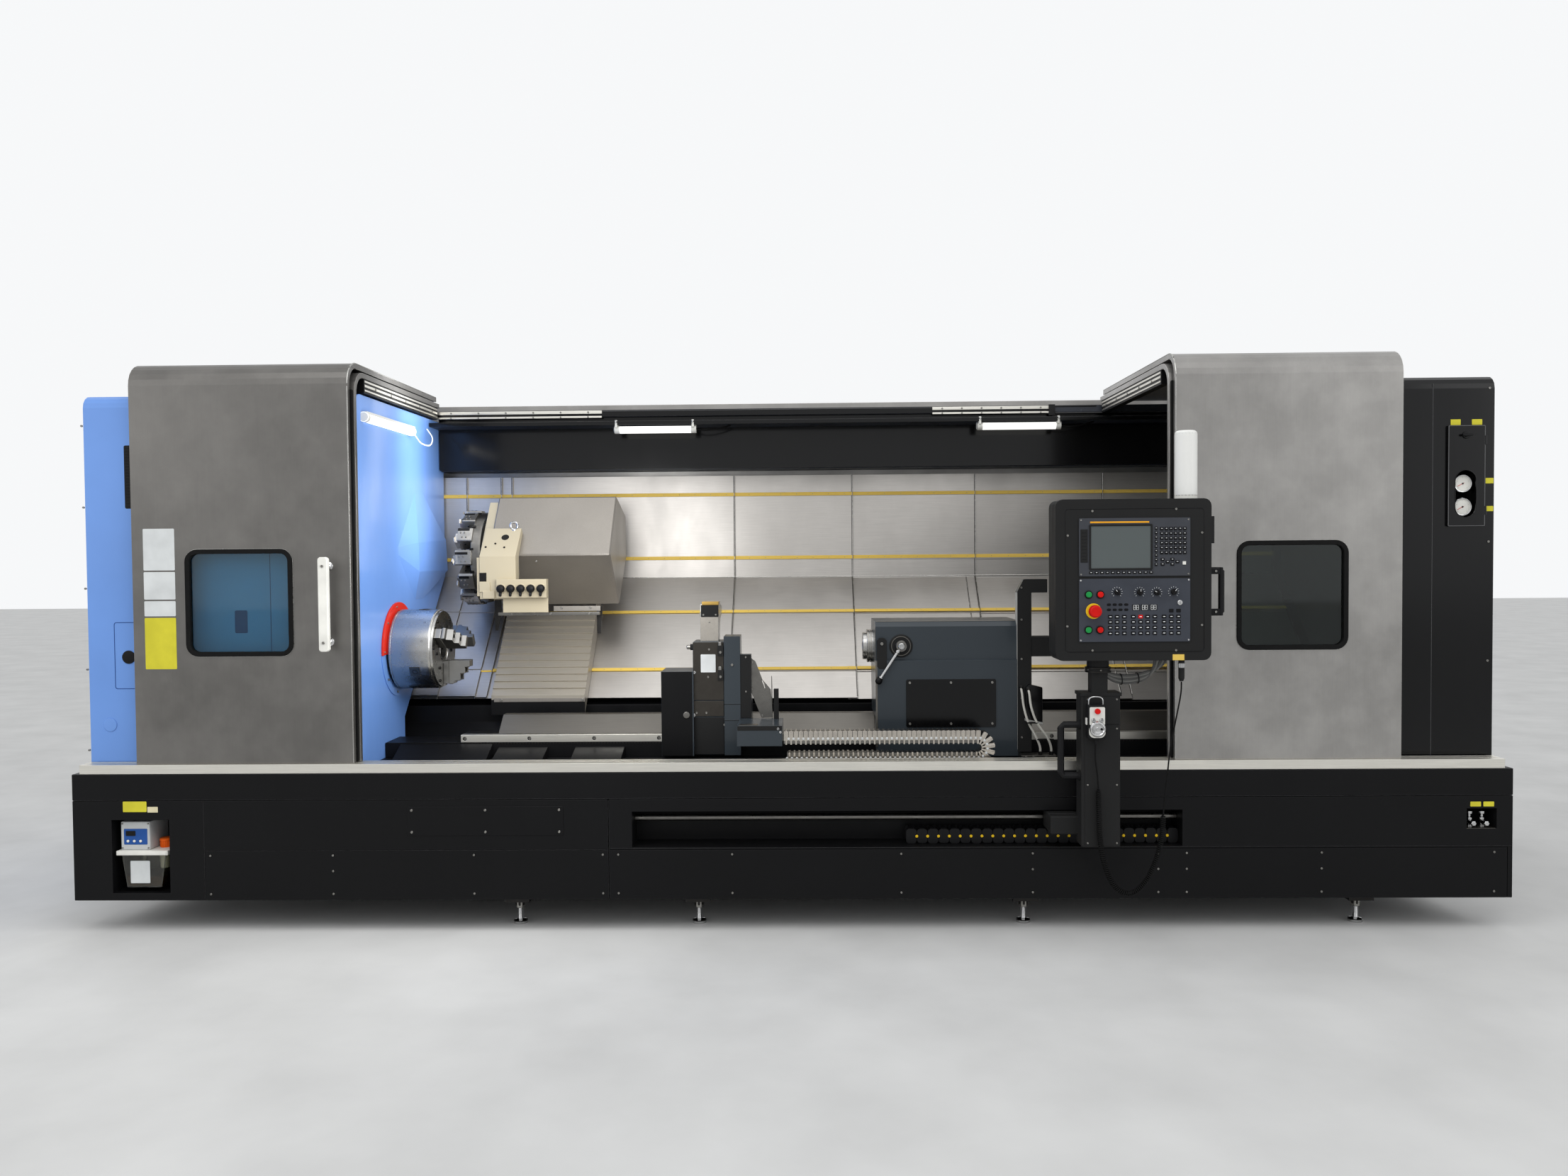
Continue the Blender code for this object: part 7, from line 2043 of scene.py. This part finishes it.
def cabinet_details():
    form = Form()
    for height in GAUGES:
        centre = Vector((GAUGE_X, 0.112, height))
        bezel = mm(35.2, -6, 35.2, 2, 33, 4.2, 30.5, 3.6, 29.5, 1, 29.5, -6)
        form.spin(bezel, centre, FORWARD, 48, 0, hollow=True)
        form.spin(mm(30, -3, 30, 0.8, 0, 0.8), centre, FORWARD, 40, 1)
        for mark in range(21):
            turn = math.radians(225 - mark * 13.5)
            tall = 0.0046 if mark % 5 == 0 else 0.0024
            form.put(
                bar_stock((-0.0004, 0.0004), (-0.0011, -0.0006), (0.0268 - tall, 0.0268)),
                Matrix.Translation(centre) @ Matrix.Rotation(turn - math.pi / 2, 4, (0, -1, 0)), 2,
            )
        form.put(
            bar_stock((-0.0007, 0.0007), (-0.0022, -0.0014), (-0.006, 0.0225)),
            Matrix.Translation(centre) @ Matrix.Rotation(math.radians(-118), 4, (0, 1, 0)), 3,
        )
        form.spin(mm(3, 0, 3, 3, 0, 3.4), centre, FORWARD, 20, 2)
    low, high = room("right_cabinet")
    face = low.y
    for x, z in (
        ((2.578, 2.616), (1.929, 1.951)), ((2.659, 2.698), (1.929, 1.951)),
        ((2.7105, 2.7425), (1.704, 1.725)), ((2.7105, 2.7425), (1.597, 1.617)),
    ):
        form.plate(x, z, 0.002, (face - 0.001, face + 0.0002), 4, 0.0002)
    # Painted highlight: thin pale strips along the cabinet's left edge and a fold beside it.
    form.block(
        (low.x - 0.0004, low.x + 0.003), (face - 0.0006, face + 0.0005), (low.z + 0.004, high.z - 0.012), 6, 0.0004
    )
    form.block(
        (low.x + 0.14, low.x + 0.1415), (face - 0.0005, face + 0.0003), (low.z + 0.004, high.z - 0.03), 6, 0.0002
    )
    form.screws((low.x + 0.022, high.x - 0.02), face, (low.z + 0.03, 1.02, 1.48, high.z - 0.05), 0.0045, 7)
    make(
        form, "cabinet_gauges",
        [chrome, white_plastic, black_plastic, red_plastic, sign_yellow, black_plastic, edge_highlight_grey, screw_steel],
        "frame",
    )

    hatch_low, hatch_high = room("gauge_hatch")
    front = 0.0897
    hatch = Form()
    x = (hatch_low.x, hatch_high.x)
    z = (hatch_low.z, hatch_high.z)
    # The hatch's pale rim is a painted highlight along its edge.
    outline = rounded(grown(x, -0.001), grown(z, -0.001), 0.004)
    inside = rounded(grown(x, -0.004), grown(z, -0.004), 0.003)
    hatch.add(sheet_metal(outline, front - 0.0006, front + 0.0008, "y", [inside]), 0, 0.0003)
    opening = rounded((2.5925, 2.6715), (1.5755, 1.7545), 0.0395, 10)
    lip = rounded((2.59, 2.674), (1.573, 1.757), 0.042, 10)
    hatch.add(sheet_metal(lip, front - 0.0018, front + 0.001, "y", [opening]), 1, 0.0008)
    latch = Vector((GAUGE_X, front, 1.89))
    hatch.spin(mm(14.5, -1, 14.5, 3, 12.5, 4.5, 7, 5, 7, 11, 0, 11), latch, FORWARD, 32, 2)
    hatch.plate(
        (GAUGE_X - 0.02, GAUGE_X + 0.02), (1.8855, 1.8945), 0.0044, (front - 0.016, front - 0.009), 2, 0.0015
    )
    for level in (1.6, 1.87):
        hatch.spin(mm(0, 0, 4.5, 0, 4.5, 34, 0, 34), (x[1] + 0.0005, front + 0.001, level - 0.017), UP, 16, 1)
    make(hatch, "hatch_latch_and_lip", [edge_highlight_grey, gloss_black, black_plastic], "hatch")


# A pale grey for thin strips of painted highlight along black edges and seams.
edge_highlight_grey = painted("painted edge highlight grey", tone(92, 92, 93), 0.35, bright=1.2)
cabinet_details()

# %% [markdown]
# The automatic lubricator stands in its recess: a pale pump box with a blue key field, a white flange, an orange
# filler cap, and a clear tank with a filter basket and dark oil in the bottom.

# %% Lubricator and valves
def lubricator():
    form = Form()
    left, right = -2.605, -2.402
    form.block((left, right), (0.006, 0.157), (0.3, 0.3182), 0, 0.0025)
    form.block((left + 0.006, right - 0.006), (0.0035, 0.0065), (0.303, 0.315), 0, 0.001)
    form.block((-2.593, -2.478), (0.02, 0.157), (0.318, 0.43), 1, 0.005)
    form.plate((-2.58, -2.488), (0.34, 0.402), 0.003, (0.0188, 0.0204), 2, 0.0004)
    form.plate((-2.572, -2.534), (0.374, 0.394), 0.002, (0.0178, 0.019), 3, 0.0003)
    for number in range(3):
        form.spin(mm(5.2, 0, 5.2, 1.6, 4.2, 2.4, 0, 2.4), (-2.564 + number * 0.025, 0.0188, 0.354), FORWARD, 20, 4)
    form.screws((-2.586, -2.484), 0.02, (0.327, 0.422), 0.0032, 5)
    centre = Vector((-2.446, 0.08, 0.318))
    cap = mm(22, -1, 22, 24, 24.5, 26, 24.5, 33, 21.5, 36, 0, 37)
    form.spin(cap, centre, UP, 40, 6)
    for number in range(20):
        turn = 2 * math.pi * number / 20
        spot = centre + Vector((math.cos(turn) * 0.0222, math.sin(turn) * 0.0222, 0.003))
        form.spin(mm(1.2, 0, 1.2, 20, 0, 20), spot, UP, 6, 6)
    tank = mm(-2591, 300.2, -2571, 172, -2436, 172, -2416, 300.2)
    hollow = mm(-2588, 300, -2568.3, 175, -2438.7, 175, -2419, 300)
    form.add(sheet_metal(tank, 0.02, 0.0225, "y"), 7, 0.0008)
    form.add(sheet_metal(tank, 0.14, 0.143, "y"), 7, 0.0008)
    for a, b, c, d in (
        (tank[0], tank[1], hollow[1], hollow[0]), (tank[3], tank[2], hollow[2], hollow[3]),
        (tank[1], tank[2], hollow[2], hollow[1]),
    ):
        form.add(sheet_metal([a, b, c, d], 0.0226, 0.1399, "y"), 7)
    fill = mm(-2574.5, 214, -2568.5, 175.2, -2438.5, 175.2, -2432.5, 214)
    form.add(sheet_metal(fill, 0.0235, 0.139, "y"), 8, 0.001)
    basket = mm(0, -62, 15, -62, 16, -60, 18.5, 0, 0, 0)
    form.spin(basket, (-2.45, 0.075, 0.2995), UP, 28, 9)
    form.spin(mm(0, -105, 7, -105, 7, 0, 0, 0), (-2.535, 0.085, 0.2995), UP, 16, 5)
    form.plate((-2.557, -2.48), (0.188, 0.276), 0.003, (0.019, 0.02), 10, 0.0003)
    finishes = [
        white_plastic, pump_grey, blue_plastic, black_plastic, white_plastic,
        screw_steel, orange_plastic, tank_plastic, oil_dark, basket_white, sign_white,
    ]
    make(form, "lubricator_parts", finishes, "frame", "lubricator")

    face = room("left_skirt")[0].y
    tags = Form()
    tags.plate((-2.57, -2.477), (0.472, 0.513), 0.003, (face - 0.001, face + 0.0002), 0, 0.0003)
    tags.plate((-2.474, -2.433), (0.47, 0.492), 0.002, (face - 0.001, face + 0.0002), 1, 0.0003)
    tags.plate((-2.428, -2.396), (0.324, 0.356), 0.002, (0.07, 0.0712), 2, 0.0003)
    make(tags, "lubricator_tags", [sign_yellow, tag_cream, orange_plastic], "frame")


pump_grey = moulded("pump box grey", tone(188, 190, 190), 0.45)
tank_plastic = clear("tank plastic", tone(226, 226, 212), 0.18)
oil_dark = moulded("dark oil in the tank", tone(58, 40, 20), 0.12)
basket_white = moulded("filter basket", tone(215, 214, 204), 0.5)
tag_cream = moulded("cream tag film", tone(212, 202, 168), 0.4)
lubricator()


def recess_valves():
    face = room("right_skirt")[0].y
    form = Form()
    form.block((2.5965, 2.7085), (0.003, 0.0985), (0.389, 0.3905), 0, 0.0004)
    for x in (2.629, 2.678):
        base = Vector((x, 0.046, 0.39))
        stem = mm(13, 0, 13, 5, 8.5, 8, 8.5, 22, 12, 26, 12, 34, 7, 38, 7, 46, 13.5, 49, 13.5, 58, 11.5, 61, 0, 61)
        form.spin(stem, base, UP, 24, 1)
        form.spin(
            mm(8.5, 0, 8.5, 26, 10.5, 27, 10.5, 36, 8, 38, 0, 38),
            base + Vector((0, 0, 0.016)), FORWARD, 6, 1, 0.0006,
        )
        form.plate((x - 0.02, x + 0.02), (0.474, 0.4925), 0.002, (face - 0.001, face + 0.0002), 2, 0.0003)
    make(form, "recess_valves", [way_steel, chrome, sign_yellow], "frame")


recess_valves()

# %% [markdown]
# Below, the base stands on six levelling feet with threaded chrome studs. The skirts are screwed plates whose thin
# edges catch the light; a pale line of painted highlight is laid along their seams and along the top and bottom
# edges of the front band. A guide rod and a plastic cable chain with yellow joint pins run in the long slot.

# %% Feet, skirts, rod and cable chain
FEET = mm(-1051, 119, -340, 119, 937, 119, 2232, 119, -2300, 1731, 2232, 1731)


def levelling_studs():
    form = Form()
    for x, depth in FEET:
        pad = mm(0, 0, 27.8, 0, 28, 2, 28, 9, 25, 12.5, 15, 15, 10.5, 17, 0, 17)
        form.spin(pad, (x, depth, 0), UP, 40, 0)
        thread = [(0, 0.014)]
        for turn_number in range(26):
            thread += [(0.0106, 0.015 + turn_number * 0.003), (0.01, 0.0165 + turn_number * 0.003)]
        form.spin(thread + mm(10, 94, 0, 94), (x, depth, 0), UP, 16, 0)
        for foot in (0.078, 0.063):
            form.spin(mm(19.8, 0, 19.8, 15, 0, 15), (x, depth, foot), UP, 6, 1, 0.0012)
    make(form, "levelling_studs", [chrome, screw_steel], "frame")


def skirt_details():
    left_low, left_high = room("left_skirt")
    right_low, right_high = room("right_skirt")
    band_low, band_high = room("front_band")
    face = left_low.y
    form = Form()
    thin = 0.0014
    # Painted highlight: thin pale strips along the skirt seams and the front band's edges.
    lines = [((-2.254, left_high.x - 0.004), 0.319), ((right_low.x + 0.004, right_high.x - 0.004), 0.3245)]
    for x, z in lines:
        form.block(x, (face - 0.0005, face + 0.0002), (z - thin / 2, z + thin / 2), 0)
    for x in (-2.254, left_high.x - 0.0007, right_low.x + 0.0007):
        form.block(
            (x - thin / 2, x + thin / 2), (face - 0.0005, face + 0.0002),
            (left_low.z + 0.004, left_high.z - 0.003), 0,
        )
    form.block(
        (band_low.x + 0.003, band_high.x - 0.003), (band_low.y - 0.0004, band_low.y + 0.0002),
        (band_high.z - 0.0022, band_high.z - 0.0005), 0,
    )
    form.block(
        (band_low.x + 0.003, band_high.x - 0.003), (band_low.y - 0.0004, band_low.y + 0.0002),
        (band_low.z + 0.0003, band_low.z + 0.0016), 0,
    )
    plate_x = (-1.456, -0.851)
    plate_z = (0.376, 0.489)
    form.plate(plate_x, plate_z, 0.006, (face - 0.0022, face + 0.0002), 1, 0.0008)
    form.screws(
        (plate_x[0] + 0.016, sum(plate_x) / 2, plate_x[1] - 0.016),
        face - 0.0022, (plate_z[0] + 0.014, plate_z[1] - 0.014), 0.0048, 2,
    )
    for x in (-2.23, -1.75, -1.2, -0.7, -0.64, -0.2, 0.45, 0.953, 1.431, 1.539, 2.05, 2.7):
        for z in (0.15, 0.239, 0.3):
            if z != 0.239 or x in (0.953, 1.431, 1.539, -1.75, 2.05):
                form.screw((x, face, z), FORWARD, 0.0042, 2)
    make(form, "skirt_lines_and_screws", [edge_highlight_grey, black_paint, screw_steel], "frame")


def rod_and_chain():
    low, high = room("guide_rod")
    rod = Form()
    reach = high.x - low.x
    line = [(0, 0), (0.0125, 0), (0.0132, 0.001), (0.0132, reach - 0.001), (0.0125, reach), (0, reach)]
    rod.spin(line, (low.x, (low.y + high.y) / 2, (low.z + high.z) / 2), SIDEWAYS, 32, 0)
    make(rod, "pendant_guide_rod", [dark_steel], "frame", "guide_rod")

    chain_low, chain_high = room("cable_chain")
    pitch = 0.042
    count = round((chain_high.x - chain_low.x) / pitch)
    middle = (chain_low.z + chain_high.z) / 2
    chain = Form()
    for number in range(count):
        x = chain_low.x + number * pitch
        inset = 0.0012 if number % 2 else 0.0
        for depth in ((chain_low.y + inset, chain_low.y + 0.005), (chain_high.y - 0.005, chain_high.y - inset)):
            link = rounded((x + 0.0006, x + pitch - 0.0006), (chain_low.z + inset, chain_high.z - inset), 0.012, 5)
            chain.add(sheet_metal(link, *depth, "y"), 0, 0.0012)
        for level in ((chain_low.z + 0.0005, chain_low.z + 0.0035), (chain_high.z - 0.0035, chain_high.z - 0.0005)):
            chain.block((x + 0.011, x + 0.031), (chain_low.y + 0.004, chain_high.y - 0.004), level, 0, 0.001)
        if number:
            chain.spin(mm(5.6, -1, 5.6, 1, 4.4, 1.8, 0, 1.8), (x, chain_low.y, middle), FORWARD, 20, 1)
    make(chain, "pendant_cable_chain", [black_plastic, yellow_plastic], "frame", "cable_chain")


levelling_studs()
skirt_details()
rod_and_chain()
